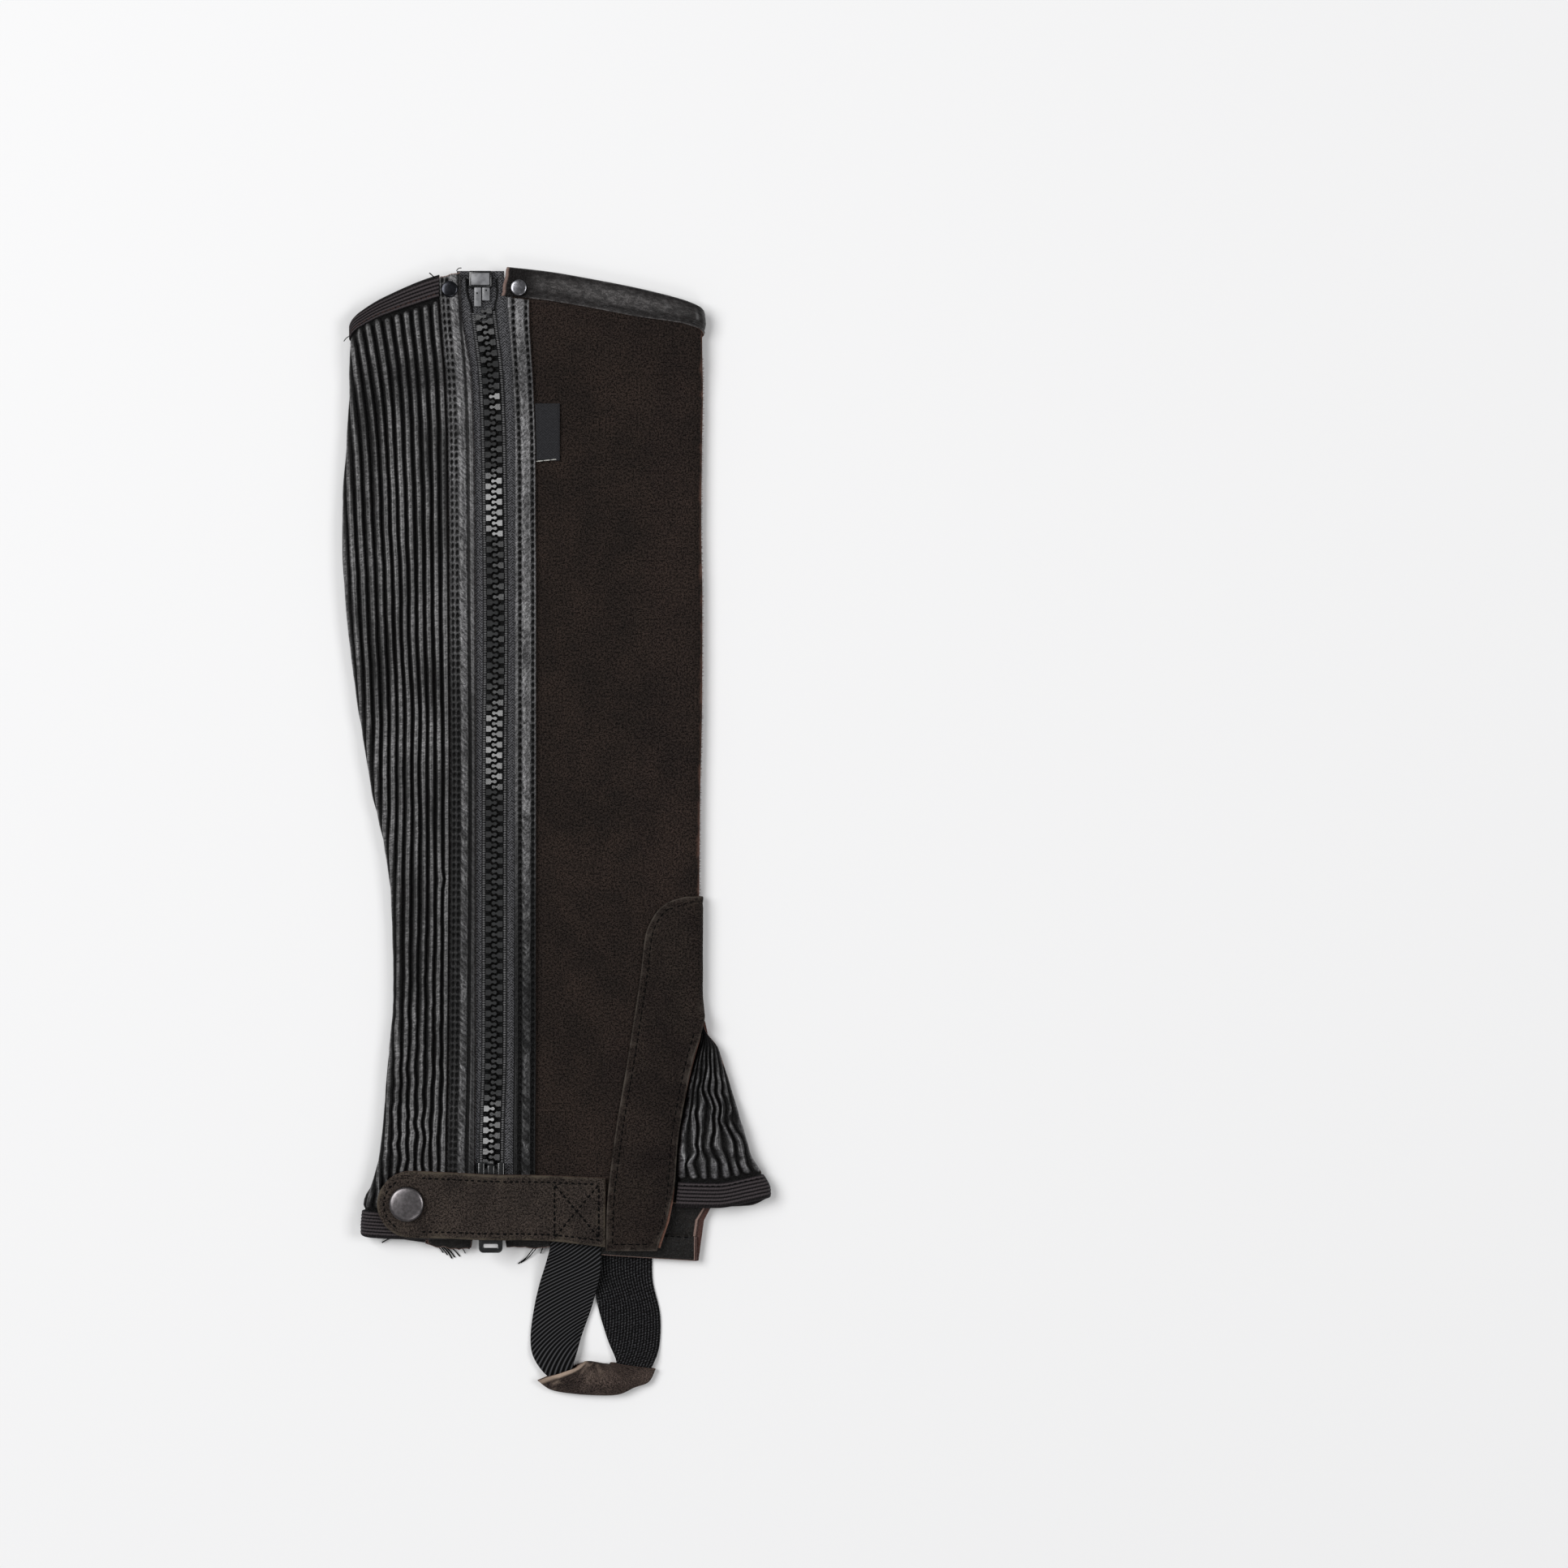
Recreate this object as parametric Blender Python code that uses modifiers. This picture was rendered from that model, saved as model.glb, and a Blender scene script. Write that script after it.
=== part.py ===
"""A half chap for the left leg, laid flat with its zip side up.

The leg tube is pressed flat: every cloth piece follows one ring, the tube's outer face at a
height. A place on a ring is a distance along the cloth: on the upper side it is x itself, and it
runs on round the front fold (larger) or the back fold (smaller) and along the underside.
Sizes are in millimetres until a point is stored, which is in metres.
"""

import bisect
import math
from collections import namedtuple

import bmesh
import bpy

MM = 0.001

# Cloth thicknesses and the gap left at seams
SUEDE = 2.0
RIBBED = 2.2
GUSSET, GUSSET_TUCKED = 1.6, 1.0
FACING = 1.3
OVERLAY = 1.5
STRAP = 2.4
ELASTIC = 1.5
TAPE = 1.0
LABEL = 0.8
TURNED_HEM = 1.2
BINDING_OUT = 1.0
BINDING_IN = 0.7
GAP = 0.3
TUCK_GAP = 0.6

# Ribs of the stretch leather
RIB_COUNT = 14
RIB_RISE = 1.1
RIB_PROFILE = (0.0, 0.71, 1.0, 0.71)
GUSSET_RIBS = 8
GUSSET_TURNS = 8
SINK_RUN = 3.4
GUSSET_RIB_RISE = 1.2

# How far each binding reaches down from the edge it wraps
RIB_TOP_WIDTH = 8.4
SUEDE_TOP_WIDTH = 11.8
RIB_HEM_WIDTH = 10.0
GUSSET_HEM_WIDTH = 9.5
TURNED_HEM_WIDTH = 10.5
EDGE_TURN = 1.4

# Layout of the zip and its hardware
CHAIN_WIDTH = 8.4
CHAIN_TOP = 225.2
CHAIN_FOOT = -154.0
CHAIN_LOW, CHAIN_HIGH = -2.0, 1.0
FACING_LIP = 2.5
SLIDER_TOP, SLIDER_FOOT = -142.4, -160.0
SLIDER_WIDTH = 12.0
SLIDER_LOW, SLIDER_HIGH = -3.5, 2.6
TAB_WIDTH, TAB_THICK = 10.2, 1.8
TAB_TOP, TAB_FOOT = -147.5, -181.0
RETAINER_TOP, RETAINER_FOOT = 241.2, 234.0
RETAINER_LEFT, RETAINER_RIGHT = -37.8, -27.6

# The underside's seam between the suede and the ribbed leather
BACK_SEAM = -57.0
NOTCH_TOP = -77.0

# The flattened tube, a row for each height: how far back and forward its folds reach, their
# radii, how wide the front swelling is, how far the underside lifts off the floor over what
# lies below it, and how thick the whole is away from the folds.
Section = namedtuple(
    "Section", "height back front back_radius front_radius front_swell lift middle")
SECTIONS = [
    Section(-188, -83.2, 91.0, 4.1, 3.1, 45, 1.9, 7.8),
    Section(-170, -83.2, 91.0, 4.1, 3.1, 45, 1.9, 7.8),
    Section(-159, -81.8, 91.0, 4.1, 3.1, 45, 1.9, 7.8),
    Section(-154, -79.6, 90.8, 4.1, 3.1, 45, 1.9, 7.8),
    Section(-149, -77.6, 88.4, 4.1, 3.1, 45, 1.9, 7.8),
    Section(-140, -75.5, 83.0, 4.1, 3.2, 45, 1.9, 7.8),
    Section(-128, -74.0, 79.2, 4.1, 3.3, 42, 1.0, 7.8),
    Section(-112, -72.8, 74.2, 4.1, 3.5, 30, 0.0, 6.4),
    Section(-97, -71.7, 69.8, 4.1, 3.7, 20, 0.0, 5.2),
    Section(-84, -70.2, 65.4, 4.1, 3.9, 16, 0.0, 5.0),
    Section(-77, -69.6, 62.0, 4.1, 3.9, 16, 0.0, 5.0),
    Section(-70, -69.4, 61.2, 4.1, 3.9, 16, 0.0, 5.0),
    Section(-41, -70.0, 61.2, 4.1, 3.9, 16, 0.0, 5.0),
    Section(-27, -70.7, 61.4, 4.1, 3.9, 16, 0.0, 5.0),
    Section(-5, -73.7, 61.6, 4.1, 3.9, 16, 0.0, 5.0),
    Section(15, -78.4, 61.8, 4.1, 3.9, 16, 0.0, 5.0),
    Section(36, -81.9, 62.3, 4.1, 3.9, 16, 0.0, 5.0),
    Section(58, -85.4, 62.7, 4.1, 3.9, 16, 0.0, 5.0),
    Section(100, -90.4, 62.8, 4.1, 3.9, 16, 0.0, 5.0),
    Section(130, -91.7, 62.3, 4.1, 3.9, 16, 0.0, 5.0),
    Section(165, -90.0, 62.6, 4.1, 3.9, 16, 0.0, 5.0),
    Section(188, -88.6, 63.0, 4.1, 3.9, 16, 0.0, 5.6),
    Section(205, -88.2, 62.8, 4.1, 3.9, 16, 1.4, 7.0),
    Section(246, -88.2, 62.2, 4.1, 3.9, 16, 1.4, 7.2),
]
BACK_SWELL = 16.0

# Lines beside the zip, by height: the facings' outer seams and inner edges, and the chain
ZipLine = namedtuple("ZipLine", "height left_seam left_edge chain right_edge right_seam")
ZIP_LINES = [
    ZipLine(-180, -46.9, -35.0, -28.0, -18.6, -8.8),
    ZipLine(-132, -46.6, -35.0, -27.8, -18.6, -8.8),
    ZipLine(-97, -46.2, -35.0, -27.1, -18.5, -8.8),
    ZipLine(24, -45.5, -35.0, -26.9, -18.2, -8.8),
    ZipLine(86, -46.0, -35.2, -26.4, -18.1, -8.8),
    ZipLine(162, -46.6, -35.7, -27.2, -18.0, -9.1),
    ZipLine(197, -47.6, -36.9, -28.4, -18.9, -10.2),
    ZipLine(225, -49.7, -41.0, -31.5, -21.0, -11.6),
    ZipLine(242, -50.5, -41.5, -32.5, -22.2, -11.6),
]

# Distance between ribs, by height
RibLine = namedtuple("RibLine", "height pitch")
RIB_LINES = [
    RibLine(-180, 3.5),
    RibLine(-100, 3.4),
    RibLine(43, 3.3),
    RibLine(100, 3.5),
    RibLine(165, 3.75),
    RibLine(225, 4.25),
]

# The slit at the instep: its two edges as cloth distances from the chap's middle line
Slit = namedtuple("Slit", "height upper lower")
SLIT = [
    Slit(-186, 43.5, 61.0),
    Slit(-180, 44.6, 61.8),
    Slit(-167, 48.8, 63.7),
    Slit(-161, 50.0, 67.6),
    Slit(-151, 51.1, 68.0),
    Slit(-135, 52.2, 67.5),
    Slit(-112, 56.0, 66.5),
    Slit(-97, 59.5, 66.0),
    Slit(-87, 62.4, 65.3),
    Slit(-77, 63.7, 64.3),
]

# Top edge of the cloth, by cloth distance, and bottom edges of the two layers, by x
Edge = namedtuple("Edge", "place height")
RIB_TOP = [
    Edge(-125, 218.5),
    Edge(-98, 215.0),
    Edge(-91, 217.2),
    Edge(-84, 223.0),
    Edge(-74, 229.0),
    Edge(-51, 238.2),
    Edge(-36, 241.6),
]
SUEDE_TOP = [
    Edge(-22, 241.8),
    Edge(-4, 239.8),
    Edge(17, 236.2),
    Edge(38, 232.0),
    Edge(54, 228.0),
    Edge(61, 225.4),
    Edge(66, 222.8),
    Edge(72, 221.4),
    Edge(110, 220.6),
    Edge(150, 219.6),
    Edge(188, 218.5),
]
UPPER_HEM = [
    Edge(-90, -173.0),
    Edge(-64, -174.4),
    Edge(-18, -174.4),
    Edge(20, -177.0),
    Edge(45, -179.6),
]
LOWER_HEM = [
    Edge(-90, -173.0),
    Edge(-57, -178.0),
    Edge(-44, -180.4),
    Edge(-2, -180.8),
    Edge(21, -183.0),
    Edge(62, -185.6),
]
GUSSET_HEM_UPPER = [Edge(49, -160.4), Edge(69, -161.0), Edge(83, -158.6), Edge(93, -156.2)]
GUSSET_HEM_LOWER = [Edge(66, -161.2), Edge(83, -160.4), Edge(93, -156.2)]

# The overlay's front-facing edge, from its foot up to its rounded top
OverlayLine = namedtuple("OverlayLine", "height edge")
OVERLAY_EDGE = [
    OverlayLine(-180.6, 21.3),
    OverlayLine(-164, 21.7),
    OverlayLine(-134, 24.9),
    OverlayLine(-97, 30.8),
    OverlayLine(-60, 36.4),
    OverlayLine(-45, 38.2),
    OverlayLine(-37, 41.6),
    OverlayLine(-30.5, 48.5),
    OverlayLine(-28, 56.5),
]

# The ankle strap: its two long edges by x, and how high it rides over what it crosses
StrapLine = namedtuple("StrapLine", "place foot top ride")
STRAP_RIDE = 1.8
STRAP_LINES = [
    StrapLine(-77, -174.3, -146.2, STRAP_RIDE),
    StrapLine(-64, -174.7, -146.0, STRAP_RIDE),
    StrapLine(-47, -175.0, -146.6, 2.0),
    StrapLine(-38, -175.2, -146.9, 3.8),
    StrapLine(-30, -175.3, -147.2, 5.2),
    StrapLine(-24, -175.4, -147.4, 5.2),
    StrapLine(-17, -175.5, -147.6, 3.6),
    StrapLine(-8, -175.8, -147.8, 2.1),
    StrapLine(0, -176.4, -148.2, 0.7),
    StrapLine(10, -177.6, -148.7, 0.3),
    StrapLine(21.2, -178.9, -149.1, 0.3),
]
STRAP_TIP = -76.8
STRAP_TIP_RADIUS = 14.2
# Studs: where each stands, how far its seat is above the cloth's face, and its shape
Stud = namedtuple("Stud", "name x y seat radius tall dome")
STUDS = [
    Stud("snap_cap", -63.9, -160.0, STRAP_RIDE + STRAP + GAP, 7.35, 1.6, 0.7),
    Stud("rivet_left", -45.8, 233.1, GAP + FACING + 0.6, 3.45, 0.8, 0.5),
    Stud("rivet_right", -16.1, 233.8, GAP + BINDING_OUT, 3.45, 0.8, 0.5),
]

# The stirrup's elastic, from inside the upper hem, through the sleeve, to under the lower hem:
# both edges of its middle plane
Ribbon = namedtuple("Ribbon", "left_x left_y left_z right_x right_y right_z")
STIRRUP = [
    Ribbon(-0.5, -163.0, 6.5, 21.0, -163.0, 6.5),
    Ribbon(-2.8, -178.9, 6.5, 19.3, -178.9, 6.5),
    Ribbon(-4.6, -186.0, 6.3, 18.9, -189.7, 5.6),
    Ribbon(-7.7, -196.0, 3.6, 16.8, -199.2, 3.4),
    Ribbon(-10.2, -207.0, 1.4, 14.0, -208.5, 1.6),
    Ribbon(-11.6, -219.0, 1.2, 10.9, -217.0, 2.6),
    Ribbon(-10.2, -227.5, 2.4, 9.0, -223.8, 4.4),
    Ribbon(-4.2, -235.4, 3.0, 7.2, -232.5, 4.6),
    Ribbon(4.0, -238.9, 3.1, 14.4, -233.0, 5.0),
    Ribbon(17.2, -240.6, 3.1, 17.6, -233.2, 5.0),
    Ribbon(29.6, -238.6, 3.1, 21.2, -233.4, 4.8),
    Ribbon(38.2, -234.6, 2.9, 25.0, -233.0, 3.8),
    Ribbon(41.9, -229.6, 2.6, 25.4, -228.6, 2.8),
    Ribbon(44.2, -222.0, 0.9, 21.4, -219.0, 1.0),
    Ribbon(44.4, -209.0, 0.75, 17.0, -203.0, 0.75),
    Ribbon(41.3, -195.0, 0.75, 17.0, -191.0, 0.75),
    Ribbon(41.0, -184.5, 0.75, 18.0, -182.4, 0.75),
    Ribbon(41.0, -173.6, 0.75, 18.0, -173.6, 0.75),
]

# The sleeve, from its left mouth to its right one: the two sides of each section, and its height
SleeveLine = namedtuple("SleeveLine", "inner_x inner_y outer_x outer_y tall")
SLEEVE = [
    SleeveLine(11.2, -229.6, -8.4, -237.3, 7.4),
    SleeveLine(12.6, -228.9, -2.8, -241.2, 8.2),
    SleeveLine(14.7, -228.9, 6.7, -242.9, 8.6),
    SleeveLine(17.2, -229.3, 17.2, -243.6, 8.6),
    SleeveLine(19.6, -229.8, 26.6, -243.3, 8.4),
    SleeveLine(21.4, -230.2, 34.7, -240.6, 7.8),
    SleeveLine(22.4, -230.4, 41.0, -236.4, 6.8),
    SleeveLine(22.4, -229.4, 44.6, -232.2, 6.2),
]
SLEEVE_WALL = 1.4
SLEEVE_FLAT = 0.35

# Rows of a main panel: at a height, or a distance in from its top or bottom edge. Pieces that
# lie on each other share their heights, so their faces run parallel.
Row = namedtuple("Row", "anchor value")
HEIGHTS = [-150, -140, -128, -112, -94, NOTCH_TOP, -45, -15, 15, 45, 80, 115, 150, 172, 190,
           205]
SLIT_HEIGHT = -83
TOP_ZONE = 13.4
RIB_ROWS = (
    [Row("bottom", 0), Row("bottom", 10.4), Row("bottom", 12.6)]
    + [Row("height", h) for h in HEIGHTS]
    + [Row("top", 11.2), Row("top", 9.2), Row("top", 0)]
)
SUEDE_ROWS = (
    [Row("bottom", 0), Row("height", -167), Row("height", -160)]
    + [Row("height", h) for h in sorted(HEIGHTS + [SLIT_HEIGHT])]
    + [Row("top", 12.2), Row("top", 0)]
)

OUTER, INNER = 0, 1
# Spacing of the columns that turn a fold
FOLD_STEP = 1.6
FOLD_COLUMNS = 5

COLLECTION = "half_chap"
CUTTERS = "cutters"


def ease(t):
    """0 below 0, 1 above 1 and a smooth step between."""
    t = min(max(t, 0.0), 1.0)
    return t * t * (3 - 2 * t)


def blend(low, high, t):
    return low + (high - low) * t


def read(table, column, key):
    """A column's value between two rows of a table, on a curve that never overshoots them."""
    keys = [row[0] for row in table]
    values = [getattr(row, column) for row in table]
    if key <= keys[0]:
        return values[0]
    if key >= keys[-1]:
        return values[-1]
    here = bisect.bisect_right(keys, key) - 1

    def secant(k):
        return (values[k + 1] - values[k]) / (keys[k + 1] - keys[k])

    def slope(k):
        if k == 0:
            return secant(0)
        if k == len(keys) - 1:
            return secant(k - 1)
        before, after = secant(k - 1), secant(k)
        if before * after <= 0:
            return 0.0
        return 2 * before * after / (before + after)

    span = keys[here + 1] - keys[here]
    t = (key - keys[here]) / span
    return ((2 * t**3 - 3 * t**2 + 1) * values[here]
            + (t**3 - 2 * t**2 + t) * span * slope(here)
            + (3 * t**2 - 2 * t**3) * values[here + 1]
            + (t**3 - t**2) * span * slope(here + 1))


class Ring:
    """The flattened tube's outer face at one height."""

    def __init__(self, height):
        for column in Section._fields[1:]:
            setattr(self, column, read(SECTIONS, column, height))
        self.back_turn = self.back + self.back_radius
        self.front_turn = self.front - self.front_radius
        self.back_arc = math.pi * self.back_radius
        self.front_arc = math.pi * self.front_radius

    def thick(self, x):
        """Distance between the upper and lower outer faces."""
        near_back = 1 - ease((x - self.back_turn) / BACK_SWELL)
        near_front = 1 - ease((self.front_turn - x) / self.front_swell)
        return (self.middle + (2 * self.back_radius - self.middle) * near_back
                + (2 * self.front_radius - self.middle) * near_front)

    def spot(self, place, out):
        """x and z at a cloth distance, moved out from the face by a distance."""
        if place > self.front_turn:
            return self.fold(place - self.front_turn, self.front_turn, self.front_radius, 1, out)
        if place < self.back_turn:
            return self.fold(self.back_turn - place, self.back_turn, self.back_radius, -1, out)
        step = 0.2
        tilt = (self.thick(place + step) - self.thick(place - step)) / (2 * step)
        length = math.hypot(1, tilt)
        return (place - out * tilt / length, self.lift + self.thick(place) + out / length)

    def fold(self, past, turn, radius, side, out):
        """A point past a fold's start: on its half circle, or on the underside beyond."""
        if past > math.pi * radius:
            return (turn - side * (past - math.pi * radius), self.lift - out)
        angle = past / radius
        reach = radius + out
        return (turn + side * reach * math.sin(angle), self.lift + radius + reach * math.cos(angle))

    def underneath(self, x, side):
        """Cloth distance of a place on the underside, reached round the front (1) or back (-1)."""
        if side > 0:
            return self.front_turn + self.front_arc + self.front_turn - x
        return self.back_turn - self.back_arc - (x - self.back_turn)

    def nose(self):
        """Cloth distance of the front fold's outermost line."""
        return self.front_turn + self.front_arc / 2

    def x_of(self, place):
        return self.spot(place, 0.0)[0]


def at(place, height, out):
    x, z = Ring(height).spot(place, out)
    return (x * MM, height * MM, z * MM)


def surface(x, height, out=0.0):
    """Height above the floor of the upper side, in mm."""
    return Ring(height).spot(x, out)[1]


def material(name, colour, rough, metal=0.0):
    shader = bpy.data.materials.new(name)
    shader.use_nodes = True
    node = shader.node_tree.nodes["Principled BSDF"]
    node.inputs["Base Color"].default_value = (*colour, 1.0)
    node.inputs["Roughness"].default_value = rough
    node.inputs["Metallic"].default_value = metal
    return shader


def suede(name):
    return material(name, (0.018, 0.013, 0.010), 0.95)


def grained(name):
    return material(name, (0.022, 0.021, 0.022), 0.5)


def webbing(name):
    return material(name, (0.016, 0.013, 0.017), 0.85)


def plastic(name):
    return material(name, (0.02, 0.022, 0.023), 0.35)


def gunmetal(name):
    return material(name, (0.09, 0.085, 0.09), 0.3, 0.9)


def adopt(obj, shader, collection=COLLECTION):
    """Give an object its material and its collection."""
    obj.data.materials.clear()
    obj.data.materials.append(shader)
    for owner in list(obj.users_collection):
        owner.objects.unlink(obj)
    bpy.data.collections[collection].objects.link(obj)
    return obj


def wall(name, columns, rows, place, shader, cut=None):
    """A sheet of cloth as a closed solid. place(column, row, face) gives a point of a face."""
    bm = bmesh.new()
    bmesh.ops.create_grid(bm, x_segments=len(columns) - 1, y_segments=len(rows) - 1, size=0.5)
    column_of = bm.verts.layers.int.new("column")
    row_of = bm.verts.layers.int.new("row")
    for vert in bm.verts:
        vert[column_of] = round((vert.co.x + 0.5) * (len(columns) - 1))
        vert[row_of] = round((vert.co.y + 0.5) * (len(rows) - 1))
    if cut:
        gone = [face for face in bm.faces
                if cut(min(v[column_of] for v in face.verts), min(v[row_of] for v in face.verts))]
        bmesh.ops.delete(bm, geom=gone, context="FACES")
    for vert in bm.verts:
        vert.co = place(columns[vert[column_of]], rows[vert[row_of]], OUTER)
    bmesh.ops.remove_doubles(bm, verts=bm.verts[:], dist=1e-7)
    bmesh.ops.triangulate(bm, faces=bm.faces[:], quad_method="FIXED")
    sheet = bm.faces[:] + bm.edges[:] + bm.verts[:]
    copy = bmesh.ops.extrude_face_region(bm, geom=sheet, use_keep_orig=True)
    for item in copy["geom"]:
        if isinstance(item, bmesh.types.BMVert):
            item.co = place(columns[item[column_of]], rows[item[row_of]], INNER)
    bmesh.ops.triangulate(bm, faces=bm.faces[:], quad_method="FIXED")
    bmesh.ops.recalc_face_normals(bm, faces=bm.faces[:])
    mesh = bpy.data.meshes.new(name)
    bm.to_mesh(mesh)
    bm.free()
    mesh.shade_smooth()
    mesh.set_sharp_from_angle(angle=math.radians(50))
    obj = bpy.data.objects.new(name, mesh)
    bpy.context.scene.collection.objects.link(obj)
    return adopt(obj, shader)


def block(name, low, high, bevel, shader, collection=COLLECTION):
    """A box between two corners in mm, with its edges rounded."""
    bm = bmesh.new()
    bmesh.ops.create_cube(bm, size=1.0)
    for vert in bm.verts:
        vert.co = [blend(a, b, part + 0.5) * MM for a, b, part in zip(low, high, vert.co)]
    mesh = bpy.data.meshes.new(name)
    bm.to_mesh(mesh)
    bm.free()
    obj = bpy.data.objects.new(name, mesh)
    bpy.context.scene.collection.objects.link(obj)
    if bevel:
        rounding = obj.modifiers.new("rounding", "BEVEL")
        rounding.width = bevel * MM
        rounding.segments = 2
    return adopt(obj, shader, collection)


def combine(target, others, operation):
    """Join boxes to a solid, or cut them out of it."""
    for other in others:
        other.hide_render = True
        other.display_type = "WIRE"
        change = target.modifiers.new(other.name, "BOOLEAN")
        change.operation = operation
        change.object = other
    return target


def row_height(row, bottom, top):
    """Height of a panel's row between its two edges."""
    if row.anchor == "bottom":
        return bottom + row.value
    if row.anchor == "top":
        return top - row.value
    return min(row.value, top - TOP_ZONE)


# The ribbed panel


def rib_panel_start(height):
    return read(ZIP_LINES, "left_edge", height) - FACING_LIP


def rib_start(height):
    return read(ZIP_LINES, "left_seam", height) - GAP


def rib_place(column, height):
    """Cloth distance of a column: under the facing, on the ribs, or on the plain underside."""
    kind, value = column
    ring = Ring(height)
    start = rib_start(height)
    if kind == "facing":
        return blend(rib_panel_start(height), start, value)
    seam = ring.underneath(BACK_SEAM - GAP / 2, -1)
    pitch = read(RIB_LINES, "pitch", height)
    ribs_end = max(start - RIB_COUNT * pitch, seam + 1.5)
    if kind == "plain":
        return blend(ribs_end, seam, value)
    free = pitch * value / 4
    evenly = start - ring.back_turn + 0.85 * ring.back_arc
    if free <= evenly:
        return start - free
    return blend(start - evenly, ribs_end, (free - evenly) / (RIB_COUNT * pitch - evenly))


def rib_edges(place):
    """Bottom and top of the ribbed panel at a cloth distance."""
    x = max(place, -90.0)
    past = ease((-84.0 - place) / 10.0)
    under_x = -84.0 + max(0.0, -97.0 - place)
    bottom = blend(read(UPPER_HEM, "height", x), read(LOWER_HEM, "height", under_x), past)
    return bottom, read(RIB_TOP, "height", place)


def rib_relief(column, place, height, bottom, top):
    """How far a rib stands up: nothing under the bindings or on the flat underside."""
    kind, value = column
    if kind != "rib":
        return 0.0
    ring = Ring(height)
    turned = (ring.back_turn - place) / ring.back_arc
    below = 1 - ease((turned - 0.62) / 0.22)
    clear_top = ease((top - height - RIB_TOP_WIDTH - GAP) / 2.0)
    clear_hem = ease((height - bottom - RIB_HEM_WIDTH - GAP) / 2.0)
    return RIB_RISE * RIB_PROFILE[value % 4] * below * clear_top * clear_hem


def make_rib_panel():
    columns = ([("facing", 0.0), ("facing", 0.5)]
               + [("rib", k) for k in range(4 * RIB_COUNT + 1)]
               + [("plain", t) for t in (0.5, 1.0)])

    def place(column, row, face):
        height = row.value if row.anchor == "height" else 0.0
        guess = -170.0 if row.anchor == "bottom" else 225.0
        for _ in range(3):
            if row.anchor != "height":
                height = guess
            cloth = rib_place(column, height)
            bottom, top = rib_edges(cloth)
            guess = row_height(row, bottom, top)
        height = guess
        if face == INNER:
            return at(cloth, height, -RIBBED)
        return at(cloth, height, rib_relief(column, cloth, height, bottom, top))

    wall("rib_panel", columns, RIB_ROWS, place, grained("ribbed_leather"))


# The suede panel


def slit_edge(height, side):
    """Cloth distance of the slit's upper (1) or lower (-1) edge, or the fold's line above it."""
    ring = Ring(height)
    half_gap = GAP / 2
    if height >= NOTCH_TOP:
        return ring.nose() - side * half_gap
    depth = ring.nose() - ring.front_turn
    if side > 0:
        cloth = read(SLIT, "upper", height)
        return min(cloth, ring.nose() - half_gap)
    reach = read(SLIT, "lower", height)
    cloth = ring.nose() + (ring.front_turn + depth - reach)
    return max(cloth, ring.nose() + half_gap)


def suede_place(column, height):
    kind, value = column
    ring = Ring(height)
    if kind == "upper":
        start = read(ZIP_LINES, "right_edge", height) + FACING_LIP
        return blend(start, slit_edge(height, 1) - FOLD_COLUMNS * FOLD_STEP, value)
    if kind == "upper_fold":
        return slit_edge(height, 1) - (FOLD_COLUMNS - value) * FOLD_STEP
    if kind == "lower_fold":
        return slit_edge(height, -1) + value * FOLD_STEP
    seam = ring.underneath(BACK_SEAM + GAP / 2, 1)
    return blend(slit_edge(height, -1) + FOLD_COLUMNS * FOLD_STEP, seam, value)


def suede_edges(column, place, height):
    """Bottom and top of the suede at a cloth distance, on the leg that the column is in."""
    x = Ring(height).x_of(place)
    top = read(SUEDE_TOP, "height", place)
    if column[0].startswith("upper"):
        return read(UPPER_HEM, "height", x), top
    return read(LOWER_HEM, "height", x), top


def make_suede_panel():
    upper = [("upper", t) for t in (0.0, 0.12, 0.33, 0.52, 0.64, 0.73, 0.81, 0.88, 0.94)]
    upper += [("upper_fold", k) for k in range(FOLD_COLUMNS + 1)]
    lower = [("lower_fold", k) for k in range(FOLD_COLUMNS + 1)]
    lower += [("lower", t) for t in (0.1, 0.3, 0.55, 0.8, 1.0)]
    notch = SUEDE_ROWS.index(Row("height", NOTCH_TOP))

    def place(column, row, face):
        guess = -178.0 if row.anchor == "bottom" else 230.0
        height = row.value if row.anchor == "height" else guess
        for _ in range(3):
            cloth = suede_place(column, height)
            bottom, top = suede_edges(column, cloth, height)
            height = row_height(row, bottom, top)
        return at(cloth, height, -SUEDE if face == INNER else 0.0)

    def cut(column, row):
        return column == len(upper) - 1 and row < notch

    wall("suede_panel", upper + lower, SUEDE_ROWS, place, suede("suede_leather"), cut)


# The overlay on the lower front


def make_front_overlay():
    heights = [-180.6, -167, -160, SLIT_HEIGHT, -37, -32.5, -29.5, -28.2]
    heights = sorted(heights + [h for h in HEIGHTS if h < -40])
    columns = [("flat", t) for t in (0.0, 0.25, 0.5, 0.75)]
    columns += [("fold", k) for k in range(FOLD_COLUMNS + 1)]
    columns += [("wrap", 1.2), ("wrap", 2.4)]

    def place(column, height, face):
        start = read(OVERLAY_EDGE, "edge", height)
        end = slit_edge(height, 1)
        step = min(FOLD_STEP, (end - start) / (2 * FOLD_COLUMNS))
        kind, value = column
        if kind == "flat":
            cloth = blend(start, end - FOLD_COLUMNS * step, value)
        elif kind == "fold":
            cloth = end - (FOLD_COLUMNS - value) * step
        else:
            cloth = end + value * ease((height - NOTCH_TOP) / 12.0)
        return at(cloth, height, GAP + (OVERLAY if face == OUTER else 0.0))

    wall("front_overlay", columns, heights, place, suede("suede_overlay"))


# The gusset


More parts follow.
